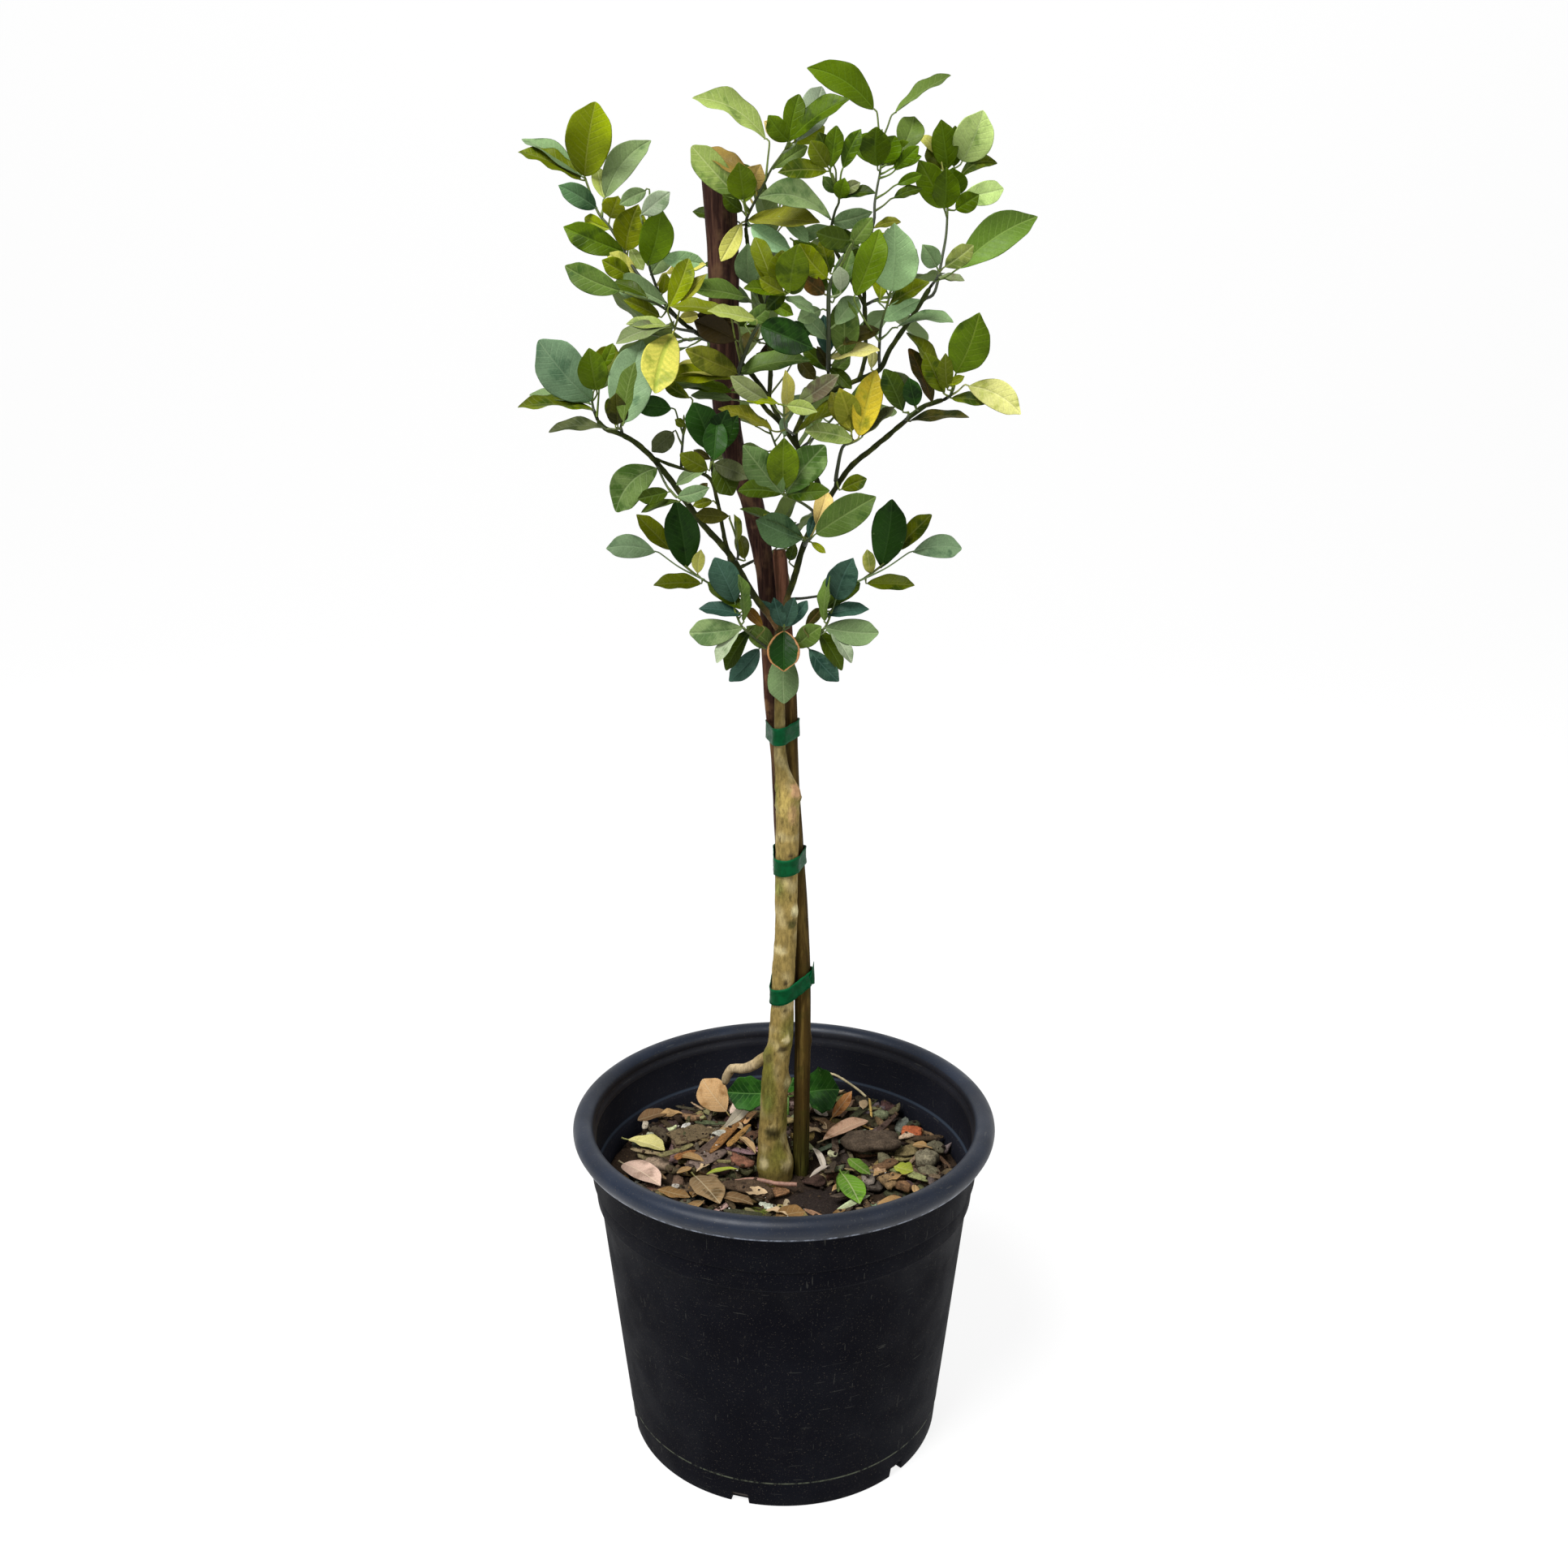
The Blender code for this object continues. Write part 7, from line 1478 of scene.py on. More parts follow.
def make_ties():
    """Flat green tape, wound once and pulled tight, with a folded end."""
    mat = make_tape_material()
    for name, (up, rise) in TIES.items():
        height = seen(0.0, up, 0.5).z
        line = tape_line(height)
        left = min(p.x for p in line)
        span = max(p.x for p in line) - left
        skin = Skin()
        rows = []
        for k, place in enumerate(line):
            ahead = (line[(k + 1) % len(line)] - line[k - 1]).normalized()
            out = Vector((ahead.y, -ahead.x, 0.0))
            share = (place.x - left) / span
            lift = share ** 1.6 * rise * CM
            row = []
            for layer, v in tape_spots(LANES):
                spot = place + UP * (height - place.z + lift + v * TAPE_WIDTH / 2.0)
                cup = 0.00035 * v * v + 0.00030 * noise.noise(spot * 330.0 + Vector((up, 0.0, 0.0)))
                cup += 0.00025 * math.sin(900.0 * (spot.x + 0.4 * spot.z)) * smoothstep(0.35, 0.8, share)
                edge = 0.0005 * noise.noise(spot * 140.0) * abs(v)
                point = spot + out * (layer + max(cup, 0.0)) + UP * edge
                # The rim value paints a highlight towards the tape's edges
                row.append(skin.vert(point, rim=0.5 * smoothstep(0.75, 1.0, abs(v))))
            rows.append(row)
        for low, high in zip(rows, rows[1:] + rows[:1]):
            tape_faces(skin, low, high)
        if name == "tie_low":
            add_tail(skin, line, height + rise * CM)
        skin.piece("tape_" + name.removeprefix("tie_"), [mat], "tape", name)


def add_tail(skin, line, height):
    """The tape's loose end, folded up beside the stake."""
    end = max(line, key=lambda p: p.x - 0.3 * p.y)
    rows = []
    for k in range(TAIL_ROWS + 1):
        share = k / TAIL_ROWS
        middle = Vector((end.x - 0.0006 + 0.0016 * share, end.y - 0.001, height - 0.006 + 0.0150 * share))
        half = 0.0034 * (1.0 - 0.45 * share)
        row = []
        for layer, v in tape_spots(TAIL_LANES):
            curl = 0.0007 * math.sin(3.0 * share + 1.5 * v)
            spot = middle + TAIL_SIDE * (half * v) + TAIL_OUT * (layer + curl) + UP * (0.0030 * v * share)
            # The rim value paints a highlight towards the tail's edges
            row.append(skin.vert(spot, rim=0.6 * abs(v) ** 3))
        rows.append(row)
    for low, high in zip(rows, rows[1:]):
        tape_faces(skin, low, high, True)
    for row, step in ((rows[0], 1), (rows[-1], -1)):
        ring = row[:TAIL_LANES] + row[:TAIL_LANES - 1:-1]
        skin.face(ring[::step])


# Pot, in metres
RIM_RADIUS = 0.160
RIM_ROLL = 0.0077
POT_HEIGHT = 0.2605
COLLAR_RADIUS = 0.1470
COLLAR_FOOT = 0.2140
LEDGE_RADIUS = 0.1437
STEP_HEIGHT = 0.196
STEP_RADIUS = 0.1411
FOOT_RADIUS = 0.1206
FOOT_BAND = 0.022
WALL = 0.0022
FLOOR = 0.004
POT_SIDES = 176
NOTCH_COUNT = 6
NOTCH_FIRST = math.radians(-15.6)
NOTCH_SIZE = (0.016, 0.012, 0.009)
NOTCH_TOP = 0.75
SHARP_EDGE = math.radians(50)
SOIL_TOP = 0.1945


def taper_radius(height):
    """Outer radius of the pot's plain taper."""
    return FOOT_RADIUS + (STEP_RADIUS - FOOT_RADIUS) * height / STEP_HEIGHT


def wall_inside(height):
    """Inner radius of the pot under its ledge."""
    return taper_radius(height) - WALL


def arc(centre, radius, start, end, count):
    """Points of a profile's arc, angles in degrees from straight out."""
    turns = [math.radians(start + (end - start) * k / (count - 1)) for k in range(count)]
    return [(centre[0] + radius * math.cos(t), centre[1] + radius * math.sin(t)) for t in turns]


def pot_profile():
    """The section of the pot, as (radius, height), from the axis under it round to the axis on its floor."""
    foot = taper_radius(FOOT_BAND)
    roll = (RIM_RADIUS - RIM_ROLL, POT_HEIGHT - RIM_ROLL)
    rim_foot = POT_HEIGHT - 2.1 * RIM_ROLL
    bead = (RIM_RADIUS - 0.0042, POT_HEIGHT - 1.82 * RIM_ROLL)
    outside = [(0.0, 0.0), (FOOT_RADIUS - 0.0016, 0.0), (FOOT_RADIUS - 0.0004, 0.0005), (FOOT_RADIUS, 0.0016),
               (taper_radius(0.010) - 0.0002, 0.010), (foot - 0.0010, FOOT_BAND - 0.0022),
               (foot - 0.0009, FOOT_BAND - 0.0012), (foot, FOOT_BAND - 0.0002), (foot, FOOT_BAND + 0.0012)]
    outside += [(taper_radius(h), h) for h in (0.05, 0.08, 0.11, 0.14, 0.17)]
    outside += [(STEP_RADIUS, STEP_HEIGHT - 0.0004), (STEP_RADIUS + 0.0008, STEP_HEIGHT + 0.0006),
                (LEDGE_RADIUS - 0.0004, STEP_HEIGHT + 0.0016), (LEDGE_RADIUS, STEP_HEIGHT + 0.0028),
                (LEDGE_RADIUS + 0.0011, COLLAR_FOOT - 0.0024), (LEDGE_RADIUS + 0.0011, COLLAR_FOOT - 0.0012),
                (COLLAR_RADIUS - 0.0012, COLLAR_FOOT - 0.0004),
                (COLLAR_RADIUS - 0.0006, COLLAR_FOOT + 0.0008),
                (COLLAR_RADIUS - 0.0001, rim_foot - 0.0012), (COLLAR_RADIUS + 0.0008, rim_foot + 0.0002)]
    outside += arc(bead, 0.0016, -120, -10, 7)
    rolled = arc(roll, RIM_ROLL, -36, 196, 30)
    inside = [(COLLAR_RADIUS - WALL - 0.0014, rim_foot + 0.004), (COLLAR_RADIUS - WALL - 0.0018, rim_foot),
              (LEDGE_RADIUS + 0.0002, COLLAR_FOOT + 0.0014), (LEDGE_RADIUS - 0.0008, COLLAR_FOOT + 0.0002),
              (wall_inside(STEP_HEIGHT) + 0.0020, COLLAR_FOOT - 0.0010),
              (wall_inside(STEP_HEIGHT) + 0.0008, COLLAR_FOOT - 0.0024),
              (wall_inside(STEP_HEIGHT), STEP_HEIGHT), (wall_inside(0.10), 0.10), (wall_inside(FLOOR), FLOOR),
              (0.0, FLOOR)]
    return outside + rolled + inside


def lathe(profile, sides):
    """A turned solid; the profile runs from the axis round to the axis as (radius, height)."""
    verts = [(0.0, 0.0, profile[0][1])]
    for radius, height in profile[1:-1]:
        for k in range(sides):
            verts.append(around(radius, math.tau * k / sides, height))
    verts.append((0.0, 0.0, profile[-1][1]))
    last = len(verts) - 1
    faces = []
    for k in range(sides):
        after = (k + 1) % sides
        faces.append((0, 1 + after, 1 + k))
        for ring in range(len(profile) - 3):
            low = 1 + ring * sides
            faces.append((low + k, low + after, low + sides + after, low + sides + k))
        faces.append((last - sides + k, last - sides + after, last))
    return verts, faces


def block(length, width, height, top):
    """A block about the origin, whose upper face is a share of the lower one's length."""
    verts = [Vector((sx * length / 2 * share, sy * width / 2, sz * height / 2))
             for sz, share in ((-1, 1.0), (1, top)) for sx, sy in ((-1, -1), (1, -1), (1, 1), (-1, 1))]
    faces = [(3, 2, 1, 0), (4, 5, 6, 7), (0, 1, 5, 4), (1, 2, 6, 5), (2, 3, 7, 6), (3, 0, 4, 7)]
    return verts, faces


def make_pot_material(name, dull, gloss):
    """Black plastic: bluish and dusty on the rim, near black below, with pale specks and scratches, painted
    light on the inner wall and a painted highlight on its ledge, and under the rim's bead a line that is
    partly scuff and partly painted highlight.
    """
    n = Nodes(name)
    across, depth, height = n.axes(n.add("TexCoord").outputs["Object"])
    out = n.math("POWER", n.plus(n.math("POWER", across, 2.0), n.math("POWER", depth, 2.0)), 0.5)
    rim = n.ramp(height, POT_HEIGHT - 0.019, POT_HEIGHT - 0.013)
    cloud = n.ramp(n.noise(14.0, 4.0), 0.35, 0.65)
    body = n.mix(cloud, rgb("06060d"), rgb("0a0b12"))
    lip = n.mix(cloud, rgb("151b27"), rgb("1b2434"))
    colour = n.mix(rim, body, lip)
    # Painted light on the inner wall above the soil, a lighter bluish grey, then dust in patches all over,
    # the rim's top too
    limit = n.plus(0.1425, n.times(n.math("GREATER_THAN", height, COLLAR_FOOT - 0.0008), 0.0030))
    inside = n.times(n.math("LESS_THAN", out, limit), n.math("GREATER_THAN", height, STEP_HEIGHT))
    colour = n.mix(inside, colour, n.mix(cloud, rgb("17181f"), rgb("1e1f26")))
    dust = n.times(n.ramp(n.noise(60.0, 4.0, rough=0.7), 0.52, 0.75), 0.10)
    colour = n.mix(dust, colour, rgb("2a2a2a"))
    # Pale specks, few and small
    spot = n.ramp(n.cells(330.0), 0.06, 0.11, 1.0, 0.0)
    some = n.ramp(n.noise(900.0, 1.0), 0.66, 0.70)
    specks = n.times(spot, n.ramp(n.cells(330.0, "Color"), 0.80, 0.82))
    grit = n.math("MAXIMUM", specks, n.times(some, 0.25))
    colour = n.mix(n.times(grit, 0.45), colour, rgb("7c7464"))
    # Short thin scratches, level and slanting
    for stretch, scale in (((0.25, 0.25, 4.0), 200.0), ((3.0, 3.0, 0.3), 160.0)):
        line = n.ramp(n.noise(scale, 1.0, n.place(stretch)), 0.740, 0.755)
        colour = n.mix(n.times(line, 0.16), colour, rgb("66665e"))
    # A scuffed line at the foot band, and under the rim's bead a pale line that is partly scuff and partly
    # painted highlight
    bead = (POT_HEIGHT - 0.0140, 0.0009, 0.150, "8c94a4")
    for level, half, least, shade in ((FOOT_BAND, 0.0011, 0.1, "5c6150"), bead):
        off = n.math("ABSOLUTE", n.minus(height, level))
        line = n.times(n.ramp(off, half * 0.4, half, 1.0, 0.0), n.math("GREATER_THAN", out, least))
        worn = n.ramp(n.noise(120.0, 4.0, n.place((1.0, 1.0, 0.2)), rough=0.7), 0.40, 0.58)
        colour = n.mix(n.times(n.times(line, worn), 0.75), colour, rgb(shade))
    # Painted highlight along the edge of the ledge inside
    off = n.math("ABSOLUTE", n.minus(height, COLLAR_FOOT + 0.0008))
    line = n.times(n.ramp(off, 0.0004, 0.0012, 1.0, 0.0), n.ramp(out, 0.1446, 0.1450, 1.0, 0.0))
    colour = n.mix(n.times(line, 0.6), colour, rgb("38424f"))
    rough = n.ramp(n.noise(40.0, 3.0), 0.3, 0.7, dull, dull + 0.12)
    relief = n.bump(n.noise(1100.0, 3.0), 0.00015, 0.5)
    relief = n.bump(n.noise(28.0, 2.0), 0.0008, 0.25, relief)
    return n.finish(colour, rough, relief, gloss)


def cut_notches(pot):
    """Cuts the drainage notches out of the pot's bottom edge."""
    cutters = bpy.data.collections.new("notches")
    for k in range(NOTCH_COUNT):
        bearing = NOTCH_FIRST + math.tau * k / NOTCH_COUNT
        verts, faces = block(NOTCH_SIZE[0], NOTCH_SIZE[1], 2 * NOTCH_SIZE[2], NOTCH_TOP)
        place = Matrix.Rotation(bearing, 4, "Z") @ Matrix.Translation((0.0, -FOOT_RADIUS, 0.0))
        cutter = plain_object("notch", [place @ v for v in verts], faces)
        bpy.context.scene.collection.objects.unlink(cutter)
        cutters.objects.link(cutter)
    cut = pot.modifiers.new("notches", "BOOLEAN")
    cut.operation, cut.operand_type, cut.collection = "DIFFERENCE", "COLLECTION", cutters
    mesh = bpy.data.meshes.new_from_object(pot.evaluated_get(bpy.context.evaluated_depsgraph_get()))
    pot.modifiers.clear()
    pot.data = mesh
    for cutter in list(cutters.objects):
        bpy.data.objects.remove(cutter)
    bpy.data.collections.remove(cutters)


def make_pot():
    """The turned pot with its notches, its rim glossier than its wall."""
    pot = plain_object("nursery_pot", *lathe(pot_profile(), POT_SIDES))
    cut_notches(pot)
    mesh = pot.data
    mesh.materials.clear()
    mesh.materials.append(make_pot_material("pot_plastic", 0.60, 0.04))
    mesh.materials.append(make_pot_material("pot_rim", 0.40, 0.30))
    for face in mesh.polygons:
        face.material_index = 1 if face.center.z > POT_HEIGHT - 2.0 * RIM_ROLL else 0
    mesh.shade_smooth()
    mesh.set_sharp_from_angle(angle=SHARP_EDGE)
    declare(pot, "pot_plastic", "pot")


# Mulch, in metres: its levels, the grid that its height is kept in, and the room kept under what lies on it,
# along the wall and round the stems
MULCH_TOP = 0.2035
LITTER_LEVEL = MULCH_TOP + 0.006
BED_SINK = 0.0035
HEAP = 0.0135
BED_RINGS = 64
BED_SIDES = 128
CELL = 0.0015
BED_HALF = 0.1425
ROOF_GAP = 0.0010
ROOF_LEAST = MULCH_TOP - 0.003
WALL_GAP = 0.0006
STEM_GAP = 0.0004
# How a chip lies: the share of its points that stand free, how much lower each try is, and how much lower the
# bed is beside it
STANDING_FREE = 0.8
LOWER = 0.0008
SLUMP = 0.0004
# Chips of each kind, and crumbs: how many, how far from the middle, and tries for each
CHIP_KINDS = (("slab", 120), ("lump", 84), ("strip", 76), ("flake", 44), ("pale", 22))
CHIP_REACH = 0.136
CHIP_TRIES = 8
CHIP_TILT = 0.20
PIECE_TILT = 0.10
CRUMBS = 1100
CRUMB_REACH = 0.137
CRUMB_SIZE = (0.0010, 0.0042)
WHITE_CRUMBS = 0.035
WHITE_ON_BARE = 0.16
CHIP_SEED = 23
LITTER_SEED = 5
CHIP_COLOURS = ("453b30", "554a3b", "665943", "5a5246", "73654a", "86724e",
                "4a423a", "604e36", "7e7564", "4a3f2f", "92805e")
PALE_COLOURS = ("aaa08a", "bab39f", "9c8f74", "ae9670")
DRY_COLOURS = ("8b6d46", "a5855a", "6d543a", "b39a78", "7a5c36")
CRUMB_COLOURS = ("2b211a", "3a2d22", "4a3a2c", "241c17", "5d4a38")
SOIL, DARK_SOIL, WET_SOIL = rgb("3a2d22"), rgb("2a211a"), rgb("2b2320")
MOSS_DARK, MOSS_PALE = rgb("5d6a26"), rgb("7d8436")
# Bare soil and moss: middle as (across, up) in cm, half across and half deep in cm
BARE_SOIL = ((2.6, 18.5), 2.7, 3.3)
MOSS = ((-1.9, 17.5), 2.6, 1.3)

# Pieces on top of the bed, as seen from the front: kind, both ends as across and up, width, all in cm, colour
BED_PIECES = [
    ("slab", 10.8, 24.7, 13.0, 20.8, 1.4, "64533e"), ("lump", 6.8, 26.2, 9.2, 26.2, 1.4, "6b6052"),
    ("lump", 2.1, 24.6, 3.8, 23.4, 1.2, "4a3a2e"), ("slab", -6.2, 25.2, -4.2, 24.6, 1.7, "5d4d3c"),
    ("slab", -8.7, 22.8, -5.7, 24.0, 2.2, "6b5c44"), ("strip", -7.1, 20.4, -4.6, 22.2, 1.4, "75645a"),
    ("lump", -9.6, 19.6, -6.6, 21.6, 1.9, "54402e"), ("strip", -8.5, 21.2, -6.4, 22.0, 0.7, "8a5c34"),
    ("strip", -4.3, 22.2, -2.6, 24.2, 0.6, "9a7440"), ("flake", -4.1, 25.0, -2.5, 26.2, 1.4, "b9a596"),
    ("flake", -3.0, 24.2, -2.1, 25.4, 1.0, "c79a6c"), ("slab", -4.3, 24.1, -3.5, 24.6, 0.5, "cdc8c0"),
    ("slab", -7.9, 23.8, -7.2, 24.2, 0.5, "d0ccc4"), ("slab", -8.9, 23.6, -8.2, 23.9, 0.4, "c2c79a"),
    ("lump", -5.7, 23.2, -4.1, 23.6, 1.0, "b5b3a6"), ("slab", -7.8, 24.8, -6.2, 25.0, 0.9, "8b6d50"),
    ("flake", -11.2, 24.4, -8.9, 25.2, 1.4, "6d543a"), ("flake", -12.6, 23.8, -11.2, 24.0, 1.0, "6b6434"),
    ("flake", -11.2, 23.6, -8.5, 22.6, 1.3, "aaa68f"), ("stick", -7.1, 26.1, -6.1, 25.5, 0.2, "b59a7a"),
    ("lump", 4.3, 25.2, 5.9, 25.1, 0.7, "aaa49c"), ("stick", 6.5, 26.4, 6.7, 24.7, 0.2, "c9a860"),
    ("stick", 5.9, 24.6, 7.4, 24.0, 0.3, "c9a35c"), ("slab", 4.1, 28.4, 4.9, 27.4, 1.1, "5a4438"),
    ("flake", 5.7, 26.2, 6.6, 27.6, 0.8, "777460"), ("flake", 2.2, 22.3, 3.1, 20.4, 0.6, "b7ac9e"),
    ("flake", 2.0, 19.6, 3.5, 20.7, 0.5, "a69b90"), ("lump", 3.5, 22.0, 4.9, 21.0, 1.4, "5a543c"),
    ("flake", 4.0, 17.2, 6.7, 18.8, 0.6, "b4c096"), ("flake", 8.5, 20.4, 10.0, 20.0, 1.4, "8a9232"),
    ("lump", 7.5, 19.8, 8.6, 18.8, 1.1, "8c7250"), ("lump", 8.6, 19.0, 10.0, 18.8, 0.9, "7a5c40"),
    ("stick", 4.7, 20.6, 7.0, 20.1, 0.2, "8b7a55"), ("lump", -4.8, 19.2, -1.2, 18.6, 1.7, "4f3f30"),
    ("slab", -1.0, 19.0, 0.2, 19.6, 1.0, "8f6a4a"), ("flake", -6.0, 19.9, -3.5, 20.4, 0.6, "86902f"),
    ("stick", -5.4, 17.1, -4.1, 18.1, 0.5, "c9a69a"), ("flake", -9.8, 18.6, -7.3, 17.9, 1.0, "7a5c36"),
    ("lump", -4.1, 21.4, -2.3, 20.8, 1.1, "7a5240"), ("slab", -3.3, 22.8, -1.9, 23.6, 1.0, "5a4030"),
    ("lump", 0.2, 23.0, 1.8, 21.6, 0.6, "75655f"), ("slab", 8.1, 23.8, 9.7, 24.4, 1.2, "5f5138"),
    ("slab", 9.0, 22.4, 10.7, 21.2, 1.7, "5c4a3a"), ("slab", 7.0, 20.4, 8.8, 21.0, 1.0, "6b5038"),
    ("flake", -9.8, 28.0, -9.5, 26.2, 0.9, "46532e"), ("slab", -10.8, 27.0, -8.2, 27.3, 1.2, "4b3a2c"),
    ("strip", -2.6, 26.6, -1.9, 27.2, 0.6, "a98256"), ("slab", 7.2, 25.0, 8.4, 23.2, 0.7, "6e5a40"),
    ("lump", -11.4, 21.3, -8.2, 20.4, 1.1, "66573f"), ("slab", -2.3, 20.4, -1.6, 21.2, 0.7, "8a7a68"),
    ("slab", 2.1, 26.2, 3.1, 25.0, 0.8, "8d8478"), ("lump", 10.7, 20.6, 11.7, 19.8, 1.3, "6e6852"),
    ("lump", 11.2, 22.8, 12.2, 22.0, 1.2, "625d4a"), ("flake", -4.7, 23.7, -2.7, 26.1, 1.0, "aca28e"),
    ("strip", -5.7, 21.5, -3.0, 25.2, 0.8, "8a6238"), ("strip", -7.5, 20.5, -4.4, 23.5, 0.9, "5c4c42"),
    ("strip", -6.9, 20.0, -3.9, 22.7, 0.8, "6b5c52"), ("strip", -6.0, 22.4, -3.4, 25.0, 0.5, "a58a60"),
    ("flake", 5.0, 21.2, 6.7, 19.8, 1.0, "4f6e22"), ("flake", 4.2, 19.0, 5.0, 20.9, 0.8, "3f5c1c"),
    ("flake", -5.2, 18.2, -2.4, 17.6, 1.2, "6a5236"), ("lump", 6.1, 23.4, 8.4, 22.6, 1.4, "57503f"),
    ("lump", -8.6, 18.4, -6.8, 19.0, 1.2, "5e4d3a"), ("flake", -3.4, 23.0, -2.2, 21.6, 0.8, "a88a62"),
    ("flake", 9.2, 25.2, 10.6, 24.2, 1.2, "8d6a48"),
]


def on_bed(across, up, level=LITTER_LEVEL):
    """The place on the mulch, at this height, that is seen at (across, up)."""
    place = Vector((across * CM, 0.0, up * CM))
    return EYE + (place - EYE) * ((EYE.z - level) / (EYE.z - place.z))


def within(spot, point):
    """How deep inside an oval patch a point is: 1 in its middle, 0 at its edge and beyond."""
    (across, up), half_x, half_y = spot
    middle = on_bed(across, up)
    off = math.hypot((point.x - middle.x) / (half_x * CM), (point.y - middle.y) / (half_y * CM))
    return 1.0 - smoothstep(0.6, 1.1, off * (1.0 + 0.3 * noise.noise(point * 120.0)))


def bed_level(x, y):
    """The bed under the chips."""
    wave = math.sin(83 * x + 1.3) * math.cos(71 * y) + 0.6 * math.sin(151 * x - 97 * y)
    wave += 0.4 * math.cos(211 * y)
    coarse = noise.noise(Vector((x, y, 0.0)) * 260.0)
    fine = noise.noise(Vector((x, y, 0.3)) * 700.0)
    return MULCH_TOP - BED_SINK + 0.0011 * wave + (0.0011 * coarse + 0.0006 * fine)


class Bed:
    """How high the mulch stands so far, and how high it may stand under what lies on it."""

    def __init__(self, litter):
        self.count = int(2 * BED_HALF / CELL) + 1
        self.high = [[bed_level(*self.spot(i, j)) for j in range(self.count)] for i in range(self.count)]
        self.roof = [[MULCH_TOP + HEAP] * self.count for _ in range(self.count)]
        for node in litter:
            self.shelter(node)
        self.stems = [at_height(rings, MULCH_TOP + 0.002) for rings in (TRUNK, SHORT_STAKE, TALL_STAKE)]

    def spot(self, i, j):
        """Where a cell's middle is."""
        return i * CELL - BED_HALF, j * CELL - BED_HALF

    def cell(self, point):
        """The cell that a point is over."""
        return tuple(min(max(round((value + BED_HALF) / CELL), 0), self.count - 1) for value in point.xy)

    def level(self, point):
        """How high the mulch stands so far under a point."""
        i, j = self.cell(point)
        return self.high[i][j]

    def shelter(self, node):
        """Keeps the room under a fallen piece free."""
        mesh = frame["nodes"][node].data
        faces = [tuple(face.vertices) for face in mesh.polygons]
        solid = BVHTree.FromPolygons([vert.co for vert in mesh.vertices], faces)
        low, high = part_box(node)
        first, last = self.cell(low), self.cell(high)
        for i in range(first[0], last[0] + 1):
            for j in range(first[1], last[1] + 1):
                hit = solid.ray_cast(Vector((*self.spot(i, j), 0.1)), UP)[0]
                if hit:
                    self.roof[i][j] = min(self.roof[i][j], max(hit.z - ROOF_GAP, ROOF_LEAST))

    def lift(self, points):
        """How far the points rise to lie on the bed, the deepest fifth of them sunk in."""
        rooms = sorted(self.level(p) - p.z for p in points)
        return rooms[int(len(rooms) * STANDING_FREE)]

    def fits(self, points):
        """Whether the points are under the roof, inside the pot and clear of the stems."""
        for p in points:
            i, j = self.cell(p)
            if p.z > self.roof[i][j] or p.xy.length > wall_inside(p.z) - WALL_GAP:
                return False
        return all((p.xy - c.xy).length > radius + STEM_GAP for p in points[::2] for c, radius in self.stems)

    def add(self, points):
        """Raises the bed to the points, a little less beside them."""
        for p in points:
            i, j = self.cell(p)
            for ii in (max(i - 1, 0), i, min(i + 1, self.count - 1)):
                for jj in (max(j - 1, 0), j, min(j + 1, self.count - 1)):
                    self.high[ii][jj] = max(self.high[ii][jj], p.z - SLUMP * ((ii != i) + (jj != j)))

    def settle(self, points, rise, tries):
        """The rise at which the points fit, a little lower at each try, or nothing."""
        for _ in range(tries):
            lifted = [p + rise for p in points]
            if self.fits(lifted):
                self.add(lifted)
                return rise
            rise -= UP * LOWER
        return None


def power(value, exponent):
    """A power that keeps the sign."""
    return math.copysign(abs(value) ** exponent, value)


def rounded(draw, size, shape, rough, bend=0.0, ridges=0.0, sides=14, rows=8):
    """Rows of points of a rounded slab about the origin: its rings, and last its two ends on Z."""
    length, width, thick = size
    seed = Vector([draw.uniform(0.0, 90.0) for _ in range(3)])
    taper = draw.uniform(-0.35, 0.35)
    rings = []
    for i in range(1, rows):
        lat = math.pi * (i / rows - 0.5)
        wide, up = power(math.cos(lat), shape[0]), power(math.sin(lat), shape[0])
        ring = []
        for j in range(sides):
            lon = math.tau * j / sides
            x, y = power(math.cos(lon), shape[1]), power(math.sin(lon), shape[1])
            swell = 1.0 + rough * 2.0 * noise.noise(seed + Vector((x * 1.4, y * 1.4, 0.25 * up)))
            px, py = x * wide * swell, y * wide * swell * (1.0 + taper * x)
            groove = ridges * math.sin(py * 11.0 + 3.0 * noise.noise(seed + Vector((px * 2.0, py, 5.0))))
            pz = up * (1.0 + groove) * (1.0 + 0.5 * rough * noise.noise(seed + Vector((px * 4, py * 4, 9.0))))
            ring.append(Vector((px * length / 2, py * width / 2, pz * thick / 2 + bend * px * px * thick)))
        rings.append(ring)
    return rings + [[sum(ring, Vector()) / sides for ring in (rings[0], rings[-1])]]


def changed(form, change):
    """The rows of a form with each point changed."""
    return [[change(p) for p in row] for row in form]


def add_rounded(skin, form, paint):
    """A rounded form as a closed part of the piece."""
    *rows, (low, high) = changed(form, lambda p: skin.vert(p, paint(p)))
    sides = len(rows[0])
    for j in range(sides):
        after = (j + 1) % sides
        skin.face((low, rows[0][after], rows[0][j]))
        skin.face((high, rows[-1][j], rows[-1][after]))
        for below, above in zip(rows, rows[1:]):
            skin.face((below[j], below[after], above[after], above[j]))


def shaded(colour, seed, contrast=0.22):
    """A paint of this colour with soft blotches."""
    def paint(point):
        shade = 1.0 + contrast * 2.0 * noise.noise(point * 170.0 + seed) + 0.12 * noise.noise(point * 900.0)
        return tuple(max(c * shade, 0.0) for c in colour)
    return paint


